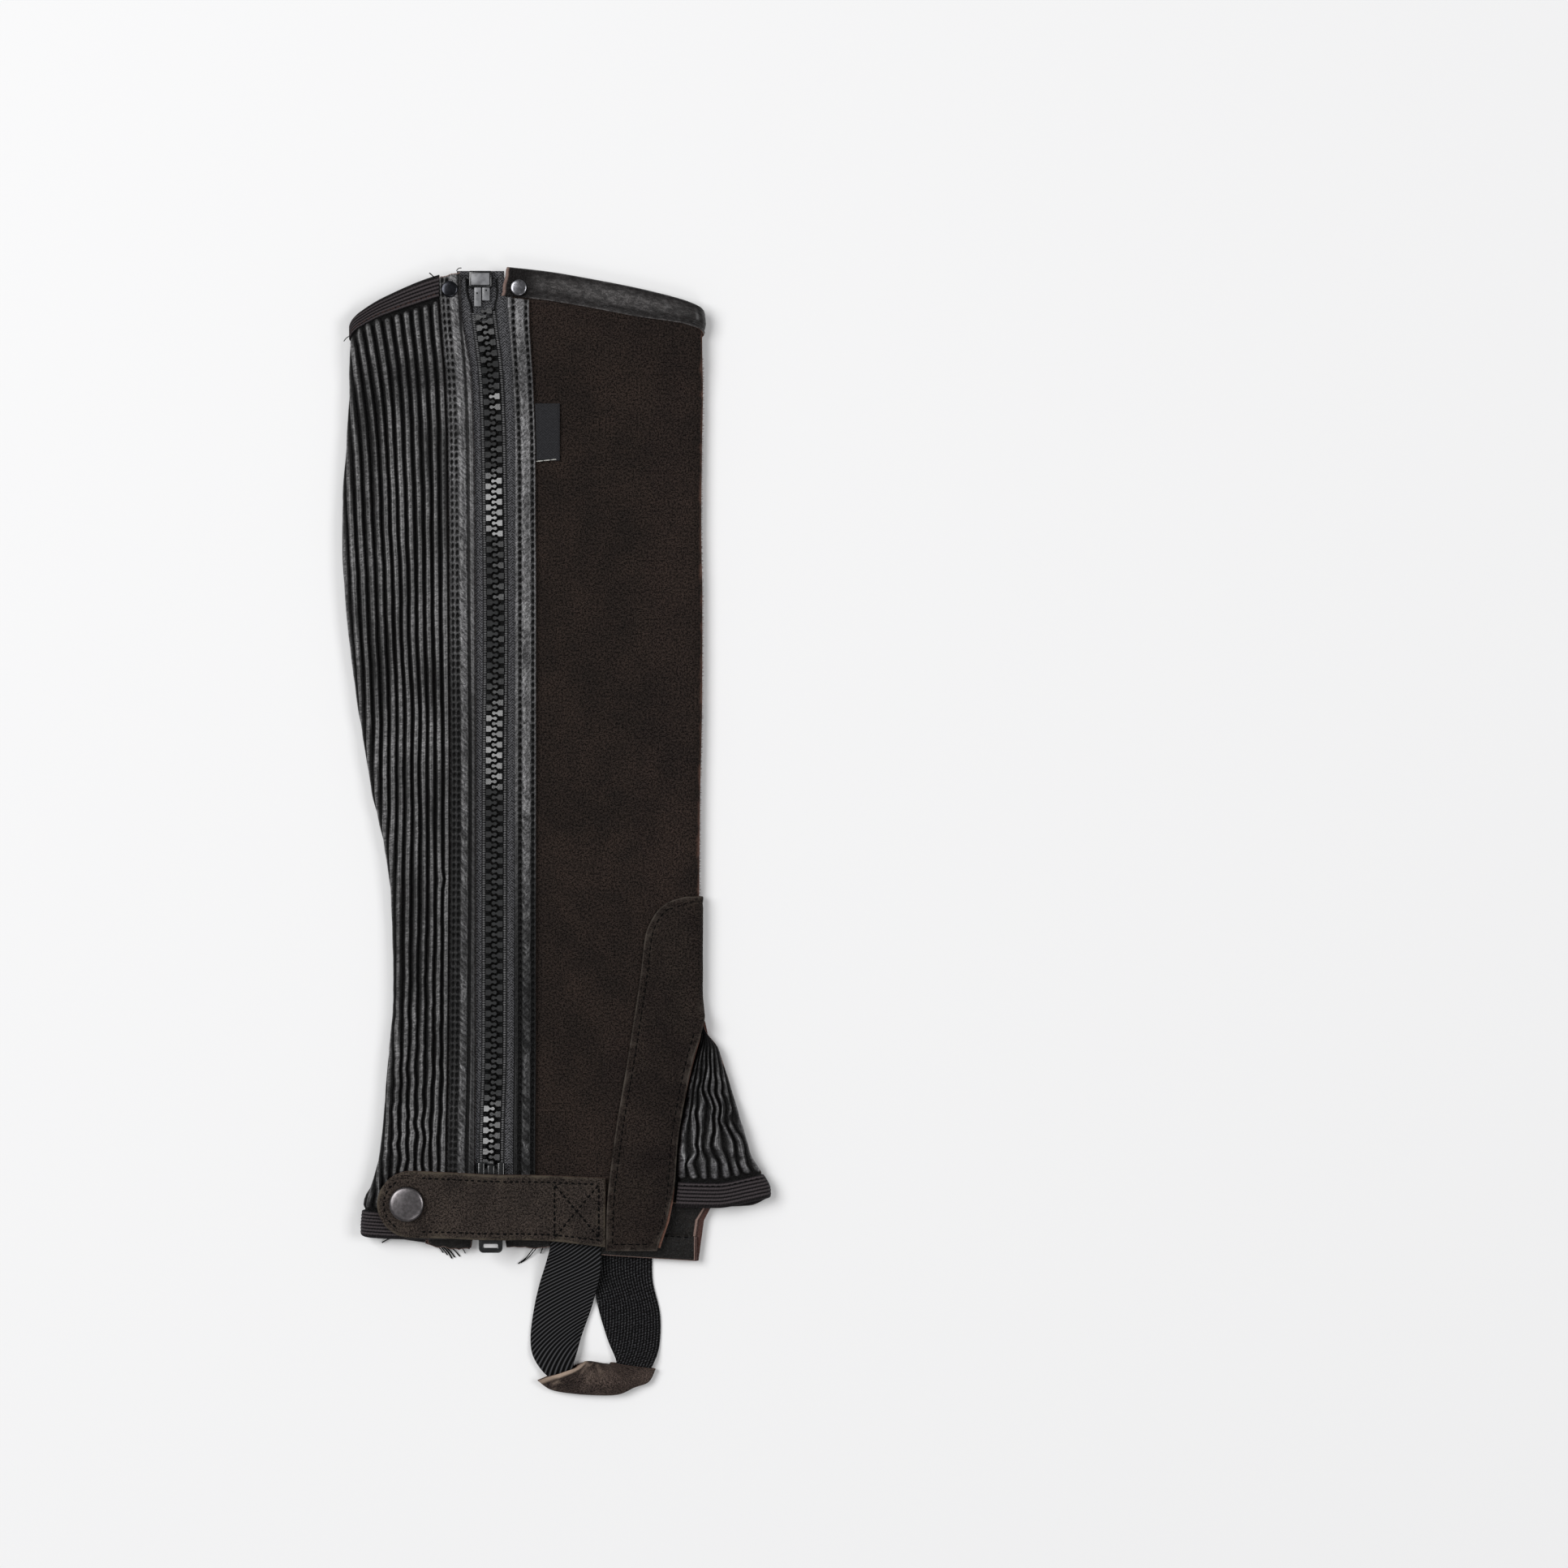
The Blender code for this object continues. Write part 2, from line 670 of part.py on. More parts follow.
def gusset_place(column, height):
    """Cloth distance of a gusset column, from the tuck under one slit edge to the other."""
    ring = Ring(height)
    open_part = ease((NOTCH_TOP + 3 - height) / 24.0)
    tuck = blend(1.8, 3.0, open_part)
    first = slit_edge(height, 1) - tuck if height < NOTCH_TOP else ring.nose() - tuck
    last = slit_edge(height, -1) + tuck
    kind, value = column
    ribs_end = blend(ring.nose(), ring.nose() + 0.9, open_part)
    if kind == "tuck":
        return first
    if kind == "rib":
        edge = slit_edge(height, 1) if height < NOTCH_TOP else ring.nose() - 0.9 * tuck
        return blend(edge, ribs_end, value / (4 * GUSSET_RIBS))
    evenly = blend(ribs_end, last, value / GUSSET_TURNS)
    sinks = slit_edge(height, -1) - GAP - SINK_RUN
    if value <= GUSSET_TURNS - 4:
        in_place = ribs_end + value * min(1.3, (sinks - ribs_end) / 5)
    elif value < GUSSET_TURNS:
        in_place = sinks + (value - GUSSET_TURNS + 3) * SINK_RUN / 2
    else:
        in_place = last
    return blend(evenly, in_place, ease((sinks - ribs_end - 1.5) / 3.0))


def gusset_sink(place, height):
    """How far the gusset lies below the suede's face: under it at the slit, level beyond."""
    depth = SUEDE + TUCK_GAP
    if height >= NOTCH_TOP:
        return depth
    past_upper = (place - slit_edge(height, 1) - GAP) / SINK_RUN
    past_lower = (slit_edge(height, -1) - GAP - place) / SINK_RUN
    level = min(ease(past_upper), ease(past_lower)) * ease((SLIT_HEIGHT - 3 - height) / 8.0)
    return depth * (1 - level)


def gusset_hem(place, height):
    """Bottom edge of the gusset's wall at a cloth distance."""
    ring = Ring(height)
    x = ring.x_of(place)
    table = GUSSET_HEM_UPPER if place < ring.nose() else GUSSET_HEM_LOWER
    return read(table, "height", x)


def gusset_point(column, row, out):
    """A point on the gusset, out from its own outer face, for a height or the hem."""
    height = row.value if row.anchor == "height" else -160.0
    for _ in range(4):
        cloth = gusset_place(column, height)
        if row.anchor == "bottom":
            height = gusset_hem(cloth, height) + row.value
    return at(cloth, height, out - gusset_sink(cloth, height)), cloth, height


def make_gusset():
    columns = ([("tuck", 0)] + [("rib", k) for k in range(4 * GUSSET_RIBS + 1)]
               + [("turn", k) for k in range(1, GUSSET_TURNS + 1)])
    rows = [Row("bottom", 0), Row("bottom", GUSSET_HEM_WIDTH / 2),
            Row("bottom", GUSSET_HEM_WIDTH), Row("bottom", GUSSET_HEM_WIDTH + 2.6)]
    rows += [Row("height", h) for h in (-140, -128, -112, -94, SLIT_HEIGHT, NOTCH_TOP, -73)]

    def place(column, row, face):
        point, cloth, height = gusset_point(column, row, 0.0)
        if face == INNER:
            sunk = gusset_sink(cloth, height) / (SUEDE + TUCK_GAP)
            slim = blend(GUSSET, GUSSET_TUCKED, sunk)
            return gusset_point(column, row, -slim)[0]
        if column[0] != "rib":
            return point
        ring = Ring(height)
        pitch = (ring.nose() - slit_edge(height, 1)) / GUSSET_RIBS
        turned = (cloth - ring.front_turn) / ring.front_arc
        below = 1 - ease((turned - 0.5) / 0.2)
        clear = ease((height - gusset_hem(cloth, height) - GUSSET_HEM_WIDTH - 1.0) / 1.5)
        rise = min(GUSSET_RIB_RISE, 0.45 * max(pitch, 0.0)) * below * clear
        return gusset_point(column, row, rise * RIB_PROFILE[column[1] % 4])[0]

    wall("gusset", columns, rows, place, grained("gusset_leather"))


# Bindings


def binding_profile(width, cloth, inner_width, inner=BINDING_IN):
    """Rows across a binding: each has the distance in from the wrapped edge and the distance
    out of the cloth's face, for the binding's outer and inner faces."""
    far = cloth + GAP + inner
    middle = (BINDING_OUT + GAP - far) / 2
    rows = [((width, BINDING_OUT + GAP), (width, GAP)),
            ((width / 2, BINDING_OUT + GAP), (width / 2, GAP))]
    for angle in (0, 50, 90, 130, 180):
        turn = math.radians(angle)
        outside = (-EDGE_TURN * math.sin(turn),
                   middle + (BINDING_OUT + GAP - middle) * math.cos(turn))
        inside = (-GAP * math.sin(turn), -cloth / 2 + (GAP + cloth / 2) * math.cos(turn))
        rows.append((outside, inside))
    rows.append(((inner_width, -far), (inner_width, -cloth - GAP)))
    return rows


def make_rib_top_binding():
    rows = binding_profile(RIB_TOP_WIDTH, RIBBED, RIB_TOP_WIDTH - 1.2)
    start = read(ZIP_LINES, "left_seam", 236.0) - GAP
    end = Ring(216.0).underneath(BACK_SEAM - GAP / 2, -1)
    cloths = [start, -56, -62, -68, -74, -79] + [-83 - 1.5 * k for k in range(11)]
    cloths += [-103, -110, -117, end]

    def place(cloth, row, face):
        inward, out = row[face]
        return at(cloth, read(RIB_TOP, "height", cloth) - inward, out)

    wall("rib_top_binding", cloths, rows, place, webbing("rib_top_elastic"))


def make_suede_top_binding():
    rows = binding_profile(SUEDE_TOP_WIDTH, SUEDE, SUEDE_TOP_WIDTH - 2.0)
    cloths = [-22.4, -12, 0, 12, 24, 36, 46, 54]
    cloths += [57 + 1.6 * k for k in range(10)] + [76, 90, 110, 130, 150, 170, 188]
    last = Ring(219.0).underneath(BACK_SEAM + GAP / 2, 1)

    def place(cloth, row, face):
        cloth = min(cloth, last)
        inward, out = row[face]
        return at(cloth, read(SUEDE_TOP, "height", cloth) - inward, out)

    wall("suede_top_binding", cloths, rows, place, grained("top_binding_leather"))


def make_rib_hem_binding():
    rows = binding_profile(RIB_HEM_WIDTH, RIBBED, RIB_HEM_WIDTH - 2.0)

    def place(share, row, face):
        start = read(ZIP_LINES, "left_seam", -170.0) - GAP
        end = Ring(-176.0).underneath(BACK_SEAM - GAP / 2, -1)
        cloth = blend(start, end, share)
        inward, out = row[face]
        return at(cloth, rib_edges(cloth)[0] + inward, out)

    wall("rib_hem_binding", [k / 24 for k in range(25)], rows, place, webbing("hem_elastic"))


def make_gusset_binding():
    rows = binding_profile(GUSSET_HEM_WIDTH, GUSSET, GUSSET_HEM_WIDTH / 2, 0.6)
    ribs = [1, 2, 3, 4, 8, 12, 16, 20, 23, 25, 27, 28, 29, 30, 31, 32]
    columns = [("rib", k) for k in ribs] + [("turn", k) for k in range(1, GUSSET_TURNS)]

    def place(column, row, face):
        inward, out = row[face]
        return gusset_point(column, Row("bottom", inward), out)[0]

    wall("gusset_binding", columns, rows, place, webbing("gusset_elastic"))


def make_lower_hem_facing():
    places = [-56, -40, -20, 0, 20, 40, 52, 60.5]

    def place(x, inward, face):
        height = read(LOWER_HEM, "height", x) + inward
        out = -SUEDE - GAP - (TURNED_HEM if face == OUTER else 0.0)
        return at(Ring(height).underneath(x, 1), height, out)

    wall("lower_hem_facing", places, [0.0, TURNED_HEM_WIDTH], place, grained("hem_leather"))


# The zip


def make_facing(side):
    """A padded strip from its outer seam to its edge over the zip's tape."""
    heights = [-174.0] + HEIGHTS + [224] + ([241.6] if side == "left" else [229.6])
    crown = [0.0, 0.35, 0.6, 0.35, 0.0]

    def place(column, height, face):
        seam = read(ZIP_LINES, side + "_seam", height)
        edge = read(ZIP_LINES, side + "_edge", height)
        cloth = blend(seam, edge, column / 4)
        if side == "right" and height > 225:
            height = read(SUEDE_TOP, "height", cloth) - SUEDE_TOP_WIDTH - GAP
        if side == "left" and height > 240:
            height = read(RIB_TOP, "height", cloth)
        return at(cloth, height, GAP + (FACING + crown[column] if face == OUTER else 0.0))

    wall("facing_" + side, range(5), heights, place, grained("facing_leather_" + side))


def make_zip_tape(side):
    heights = [-174.0] + HEIGHTS + [228.8, 230.8, 238]
    sign = -1 if side == "left" else 1

    def place(column, height, face):
        wall_edge = read(ZIP_LINES, side + "_edge", height) + sign * (FACING_LIP - GAP)
        flare = 1.6 * ease((height - 225.0) / 7.0)
        inner = read(ZIP_LINES, "chain", height) + sign * (CHAIN_WIDTH / 2 + GAP + flare)
        cloth = blend(wall_edge, inner, column)
        return at(cloth, height, -GAP - (TAPE if face == INNER else 0.0))

    wall("zip_tape_" + side, [0.0, 1.0], heights, place, webbing("tape_" + side))


def make_zip_chain():
    heights = [CHAIN_FOOT] + HEIGHTS + [CHAIN_TOP]

    def place(column, height, face):
        cloth = read(ZIP_LINES, "chain", height) + column * CHAIN_WIDTH / 2
        return at(cloth, height, CHAIN_HIGH if face == OUTER else CHAIN_LOW)

    wall("zip_chain", [-1.0, 1.0], heights, place, plastic("teeth_plastic"))


def make_zip_slider():
    middle = read(ZIP_LINES, "chain", SLIDER_FOOT)
    level = surface(middle, -151.0)
    half = SLIDER_WIDTH / 2
    shader = plastic("slider_plastic")
    body = block("zip_slider", (middle - half, SLIDER_FOOT, level + SLIDER_LOW),
                 (middle + half, SLIDER_TOP, level + SLIDER_HIGH), 0.6, shader)
    beyond = 2.0
    post = CHAIN_WIDTH / 2
    cutters = []
    for sign in (-1, 1):
        near, far = sorted((middle + sign * post, middle + sign * (half + beyond)))
        cutters.append(block(
            "tape_slot_left" if sign < 0 else "tape_slot_right",
            (near, SLIDER_FOOT - beyond, level - GAP - TAPE - GAP),
            (far, SLIDER_TOP + beyond, level), 0.0, shader, CUTTERS))
    cutters.append(block(
        "chain_slot", (middle - post - GAP, CHAIN_FOOT - GAP, level + CHAIN_LOW - GAP),
        (middle + post + GAP, SLIDER_TOP + beyond, level + CHAIN_HIGH + GAP), 0.0, shader,
        CUTTERS))
    combine(body, cutters, "DIFFERENCE")
    crown = block("slider_crown", (middle - 1.4, -154.2, level + SLIDER_HIGH - 0.6),
                  (middle + 1.4, -150.4, level + SLIDER_HIGH + GAP + TAB_THICK + GAP), 0.0,
                  shader, CUTTERS)
    combine(body, [crown], "UNION")


def rounded_loop(spline, low, high, radius, turned):
    """A rounded rectangle as a closed poly spline, in mm."""
    corners = [(high[0] - radius, high[1] - radius, 0), (low[0] + radius, high[1] - radius, 90),
               (low[0] + radius, low[1] + radius, 180), (high[0] - radius, low[1] + radius, 270)]
    points = []
    for x, y, start in corners:
        for step in (0, 45, 90):
            turn = math.radians(start + step)
            points.append((x + radius * math.cos(turn), y + radius * math.sin(turn)))
    if turned:
        points.reverse()
    spline.points.add(len(points) - 1)
    for point, (x, y) in zip(spline.points, points):
        point.co = (x * MM, y * MM, 0.0, 1.0)
    spline.use_cyclic_u = True


def make_zip_pull_tab():
    middle = read(ZIP_LINES, "chain", SLIDER_FOOT)
    level = surface(middle, -151.0) + SLIDER_HIGH + GAP + TAB_THICK / 2
    outline = bpy.data.curves.new("zip_pull_tab", "CURVE")
    outline.dimensions = "2D"
    outline.fill_mode = "BOTH"
    outline.extrude = TAB_THICK / 2 * MM
    half = TAB_WIDTH / 2
    rounded_loop(outline.splines.new("POLY"), (-half, TAB_FOOT), (half, TAB_TOP), 2.0, False)
    rounded_loop(outline.splines.new("POLY"), (-3.1, -178.8), (3.1, -177.3), 0.5, True)
    rounded_loop(outline.splines.new("POLY"), (-2.6, -155.4), (2.6, -149.4), 0.8, True)
    obj = bpy.data.objects.new("zip_pull_tab", outline)
    obj.location = (middle * MM, 0.0, level * MM)
    bpy.context.scene.collection.objects.link(obj)
    adopt(obj, plastic("tab_plastic"))


def make_zip_retainer():
    middle = (RETAINER_LEFT + RETAINER_RIGHT) / 2
    level = surface(middle, RETAINER_FOOT)
    shader = plastic("retainer_plastic")
    box = block("zip_retainer", (RETAINER_LEFT, RETAINER_FOOT, level - 2.2),
                (RETAINER_RIGHT, RETAINER_TOP, level + 1.8), 0.7, shader)
    pins = [
        block("box_pin", (-35.4, 225.9, level - 1.2), (-32.4, RETAINER_FOOT + 2, level + 0.9),
              0.0, shader, CUTTERS),
        block("slip_pin", (-32.0, 228.4, level - 1.2), (-28.7, RETAINER_FOOT + 2, level + 0.9),
              0.0, shader, CUTTERS),
    ]
    combine(box, pins, "UNION")


def make_label():
    heights = [159.8, 172.0, 184.4]

    def place(column, height, face):
        cloth = blend(read(ZIP_LINES, "right_seam", height) + GAP, 1.3, column)
        return at(cloth, height, GAP + (LABEL if face == OUTER else 0.0))

    wall("label", [0.0, 0.5, 1.0], heights, place, webbing("label_weave"))


# The ankle strap and the studs


def make_ankle_strap():
    tip_turns = [0, 18, 36, 54, 72, 90]
    columns = [STRAP_TIP + STRAP_TIP_RADIUS * (1 - math.cos(math.radians(a))) for a in tip_turns]
    columns += [-55, -47, -42, -38, -34, -30, -27, -24, -20.5, -17, -12.5, -8, -4, 0, 5, 13, 21.2]

    def place(x, share, face):
        foot = read(STRAP_LINES, "foot", x)
        top = read(STRAP_LINES, "top", x)
        from_tip = min(1.0, (x - STRAP_TIP) / STRAP_TIP_RADIUS)
        width = max(0.3, math.sqrt(1 - (1 - from_tip) ** 2))
        middle = (foot + top) / 2
        height = middle + (share - 0.5) * (top - foot) * width
        ride = read(STRAP_LINES, "ride", x)
        return at(x, height, ride + (STRAP if face == OUTER else 0.0))

    wall("ankle_strap", columns, [0.0, 0.25, 0.5, 0.75, 1.0], place, suede("strap_suede"))


def make_stud(stud):
    """A round cap, turned from its profile: a short rim, a rounded shoulder and a low dome."""
    radius, tall, dome = stud.radius, stud.tall, stud.dome
    profile = [(0.0, tall + dome), (0.55 * radius, tall + 0.75 * dome), (0.86 * radius, tall),
               (radius, 0.6 * tall), (radius, 0.0), (0.0, 0.0)]
    mesh = bpy.data.meshes.new(stud.name)
    bm = bmesh.new()
    verts = [bm.verts.new((r * MM, 0.0, z_up * MM)) for r, z_up in profile]
    for first, second in zip(verts, verts[1:]):
        bm.edges.new((first, second))
    bm.to_mesh(mesh)
    bm.free()
    obj = bpy.data.objects.new(stud.name, mesh)
    level = surface(stud.x, stud.y) + stud.seat + GAP
    obj.location = (stud.x * MM, stud.y * MM, level * MM)
    bpy.context.scene.collection.objects.link(obj)
    turn = obj.modifiers.new("turn", "SCREW")
    turn.steps = turn.render_steps = 20
    turn.use_merge_vertices = True
    turn.merge_threshold = 1e-5
    adopt(obj, gunmetal(stud.name + "_metal"))


# The stirrup


def along(table, column, position):
    """A table's column at a fractional row number, on a smooth curve through the rows."""
    last = len(table) - 1
    here = min(int(position), last - 1)
    t = position - here
    values = [getattr(table[min(max(k, 0), last)], column) for k in range(here - 1, here + 3)]
    a, b, c, d = values
    return 0.5 * (2 * b + (c - a) * t + (2 * a - 5 * b + 4 * c - d) * t**2
                  + (3 * b - a - 3 * c + d) * t**3)


def stirrup_frame(position):
    """The ribbon's two edges at a row number, and its normal there."""
    edges = [[along(STIRRUP, side + axis, position) for axis in ("_x", "_y", "_z")]
             for side in ("left", "right")]
    step = 0.05
    ahead = [[along(STIRRUP, side + axis, min(position + step, len(STIRRUP) - 1))
              for axis in ("_x", "_y", "_z")] for side in ("left", "right")]
    behind = [[along(STIRRUP, side + axis, max(position - step, 0))
               for axis in ("_x", "_y", "_z")] for side in ("left", "right")]
    run = [sum(ahead[s][k] - behind[s][k] for s in (0, 1)) for k in range(3)]
    across = [edges[1][k] - edges[0][k] for k in range(3)]
    normal = [across[1] * run[2] - across[2] * run[1], across[2] * run[0] - across[0] * run[2],
              across[0] * run[1] - across[1] * run[0]]
    length = math.sqrt(sum(n * n for n in normal))
    return edges, [n / length for n in normal]


def make_stirrup_elastic():
    steps = 3 * (len(STIRRUP) - 1)
    positions = [k / 3 for k in range(steps + 1)]

    def place(share, position, face):
        (left, right), normal = stirrup_frame(position)
        out = ELASTIC / 2 * (1 if face == OUTER else -1)
        point = [blend(a, b, share) + out * n for a, b, n in zip(left, right, normal)]
        point[2] = max(point[2], 0.0)
        return [p * MM for p in point]

    wall("stirrup_elastic", [0.0, 0.5, 1.0], positions, place, webbing("stirrup_weave"))


def make_stirrup_sleeve():
    sides = 14
    positions = [k / 2 for k in range(2 * (len(SLEEVE) - 1) + 1)]

    def place(turn, position, face):
        inner = [along(SLEEVE, "inner" + axis, position) for axis in ("_x", "_y")]
        outer = [along(SLEEVE, "outer" + axis, position) for axis in ("_x", "_y")]
        tall = along(SLEEVE, "tall", position)
        angle = 2 * math.pi * turn / sides
        inset = SLEEVE_WALL if face == INNER else 0.0
        half_width = math.dist(inner, outer) / 2 - inset
        half_tall = tall / 2 - inset
        reach = [math.copysign(abs(f) ** 0.8, f) for f in (math.cos(angle), math.sin(angle))]
        share = 0.5 + reach[0] * half_width / math.dist(inner, outer)
        x, y = (blend(a, b, share) for a, b in zip(inner, outer))
        z = tall / 2 - SLEEVE_FLAT + reach[1] * half_tall
        return (x * MM, y * MM, max(z, 0.0) * MM)

    wall("stirrup_sleeve", [k % sides for k in range(sides + 1)], positions, place,
         suede("sleeve_suede"))


def clear_scene():
    for obj in list(bpy.data.objects):
        bpy.data.objects.remove(obj, do_unlink=True)
    for name in (COLLECTION, CUTTERS):
        collection = bpy.data.collections.new(name)
        bpy.context.scene.collection.children.link(collection)


def build():
    clear_scene()
    make_suede_panel()
    make_rib_panel()
    make_front_overlay()
    make_gusset()
    make_gusset_binding()
    make_rib_top_binding()
    make_rib_hem_binding()
    make_suede_top_binding()
    make_lower_hem_facing()
    for side in ("left", "right"):
        make_facing(side)
        make_zip_tape(side)
    make_zip_chain()
    make_zip_retainer()
    make_zip_slider()
    make_zip_pull_tab()
    make_label()
    make_ankle_strap()
    for stud in STUDS:
        make_stud(stud)
    make_stirrup_elastic()
    make_stirrup_sleeve()


build()
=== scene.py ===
"""Looks of a half chap for the left leg, laid flat with its zip side up.

Its cloth lies on the same ring as the solids: a place on the cloth is a distance along the ring
and a height. On the upper side the distance is x itself, and it runs on round the front fold
(larger) or the back fold (smaller) and along the underside. Sizes are in millimetres until a
point is stored, which is in metres.
"""

import bisect
import functools
import math
from collections import namedtuple

import bmesh
import bpy
from mathutils import Matrix, Vector, noise


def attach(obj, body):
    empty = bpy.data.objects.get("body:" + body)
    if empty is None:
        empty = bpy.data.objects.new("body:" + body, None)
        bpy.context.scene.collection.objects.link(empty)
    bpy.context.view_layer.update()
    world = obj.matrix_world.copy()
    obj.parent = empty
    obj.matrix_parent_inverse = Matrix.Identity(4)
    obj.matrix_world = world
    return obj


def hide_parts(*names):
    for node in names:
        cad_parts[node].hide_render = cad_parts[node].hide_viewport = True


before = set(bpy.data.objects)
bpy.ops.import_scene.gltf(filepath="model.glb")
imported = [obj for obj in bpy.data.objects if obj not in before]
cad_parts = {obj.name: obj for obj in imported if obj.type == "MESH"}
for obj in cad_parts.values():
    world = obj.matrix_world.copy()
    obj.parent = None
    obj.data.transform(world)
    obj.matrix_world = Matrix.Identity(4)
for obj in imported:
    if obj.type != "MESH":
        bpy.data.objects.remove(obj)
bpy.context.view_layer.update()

MM = 0.001

# Cloth thicknesses and the gap left at seams
SUEDE = 2.0
RIBBED = 2.2
GUSSET, GUSSET_TUCKED = 1.6, 1.0
FACING = 1.3
OVERLAY = 1.5
STRAP = 2.4
ELASTIC = 1.5
TAPE = 1.0
LABEL = 0.8
TURNED_HEM = 1.2
BINDING_OUT = 1.0
BINDING_IN = 0.7
GAP = 0.3
TUCK_GAP = 0.6

# Ribs of the stretch leather
RIB_COUNT = 14
RIB_RISE = 1.1
GUSSET_RIBS = 8
GUSSET_RIB_RISE = 1.2
# How far from a slit's edge the gusset takes to rise out from under it
SINK_RUN = 3.4

# How far each binding reaches down from the edge it wraps
RIB_TOP_WIDTH = 8.4
SUEDE_TOP_WIDTH = 11.8
RIB_HEM_WIDTH = 10.0
GUSSET_HEM_WIDTH = 9.5
TURNED_HEM_WIDTH = 10.5
EDGE_TURN = 1.4

# Layout of the zip and its hardware
CHAIN_WIDTH = 8.4
CHAIN_TOP = 225.2
CHAIN_FOOT = -154.0
FACING_LIP = 2.5
SLIDER_TOP, SLIDER_FOOT = -142.4, -160.0
SLIDER_WIDTH = 12.0
SLIDER_LOW, SLIDER_HIGH = -3.5, 2.6
TAB_WIDTH, TAB_THICK = 10.2, 1.8
TAB_TOP, TAB_FOOT = -147.5, -181.0
RETAINER_TOP, RETAINER_FOOT = 241.2, 234.0
RETAINER_LEFT, RETAINER_RIGHT = -37.8, -27.6

# The underside's seam between the suede and the ribbed leather
BACK_SEAM = -57.0
NOTCH_TOP = -77.0

# The flattened tube, a row for each height: how far back and forward its folds reach, their
# radii, how wide the front swelling is, how far the underside lifts off the floor over what
# lies below it, and how thick the whole is away from the folds.
Section = namedtuple(
    "Section", "height back front back_radius front_radius front_swell lift middle")
SECTIONS = [
    Section(-188, -83.2, 91.0, 4.1, 3.1, 45, 1.9, 7.8),
    Section(-170, -83.2, 91.0, 4.1, 3.1, 45, 1.9, 7.8),
    Section(-159, -81.8, 91.0, 4.1, 3.1, 45, 1.9, 7.8),
    Section(-154, -79.6, 90.8, 4.1, 3.1, 45, 1.9, 7.8),
    Section(-149, -77.6, 88.4, 4.1, 3.1, 45, 1.9, 7.8),
    Section(-140, -75.5, 83.0, 4.1, 3.2, 45, 1.9, 7.8),
    Section(-128, -74.0, 79.2, 4.1, 3.3, 42, 1.0, 7.8),
    Section(-112, -72.8, 74.2, 4.1, 3.5, 30, 0.0, 6.4),
    Section(-97, -71.7, 69.8, 4.1, 3.7, 20, 0.0, 5.2),
    Section(-84, -70.2, 65.4, 4.1, 3.9, 16, 0.0, 5.0),
    Section(-77, -69.6, 62.0, 4.1, 3.9, 16, 0.0, 5.0),
    Section(-70, -69.4, 61.2, 4.1, 3.9, 16, 0.0, 5.0),
    Section(-41, -70.0, 61.2, 4.1, 3.9, 16, 0.0, 5.0),
    Section(-27, -70.7, 61.4, 4.1, 3.9, 16, 0.0, 5.0),
    Section(-5, -73.7, 61.6, 4.1, 3.9, 16, 0.0, 5.0),
    Section(15, -78.4, 61.8, 4.1, 3.9, 16, 0.0, 5.0),
    Section(36, -81.9, 62.3, 4.1, 3.9, 16, 0.0, 5.0),
    Section(58, -85.4, 62.7, 4.1, 3.9, 16, 0.0, 5.0),
    Section(100, -90.4, 62.8, 4.1, 3.9, 16, 0.0, 5.0),
    Section(130, -91.7, 62.3, 4.1, 3.9, 16, 0.0, 5.0),
    Section(165, -90.0, 62.6, 4.1, 3.9, 16, 0.0, 5.0),
    Section(188, -88.6, 63.0, 4.1, 3.9, 16, 0.0, 5.6),
    Section(205, -88.2, 62.8, 4.1, 3.9, 16, 1.4, 7.0),
    Section(246, -88.2, 62.2, 4.1, 3.9, 16, 1.4, 7.2),
]
BACK_SWELL = 16.0

# Lines beside the zip, by height: the facings' outer seams and inner edges, and the chain
ZipLine = namedtuple("ZipLine", "height left_seam left_edge chain right_edge right_seam")
ZIP_LINES = [
    ZipLine(-180, -46.9, -35.0, -28.0, -18.6, -8.8),
    ZipLine(-132, -46.6, -35.0, -27.8, -18.6, -8.8),
    ZipLine(-97, -46.2, -35.0, -27.1, -18.5, -8.8),
    ZipLine(24, -45.5, -35.0, -26.9, -18.2, -8.8),
    ZipLine(86, -46.0, -35.2, -26.4, -18.1, -8.8),
    ZipLine(162, -46.6, -35.7, -27.2, -18.0, -9.1),
    ZipLine(197, -47.6, -36.9, -28.4, -18.9, -10.2),
    ZipLine(225, -49.7, -41.0, -31.5, -21.0, -11.6),
    ZipLine(242, -50.5, -41.5, -32.5, -22.2, -11.6),
]

# Distance between ribs, by height
RibLine = namedtuple("RibLine", "height pitch")
RIB_LINES = [
    RibLine(-180, 3.5),
    RibLine(-100, 3.4),
    RibLine(43, 3.3),
    RibLine(100, 3.5),
    RibLine(165, 3.75),
    RibLine(225, 4.25),
]

# The slit at the instep: its two edges as cloth distances from the chap's middle line
Slit = namedtuple("Slit", "height upper lower")
SLIT = [
    Slit(-186, 43.5, 61.0),
    Slit(-180, 44.6, 61.8),
    Slit(-167, 48.8, 63.7),
    Slit(-161, 50.0, 67.6),
    Slit(-151, 51.1, 68.0),
    Slit(-135, 52.2, 67.5),
    Slit(-112, 56.0, 66.5),
    Slit(-97, 59.5, 66.0),
    Slit(-87, 62.4, 65.3),
    Slit(-77, 63.7, 64.3),
]

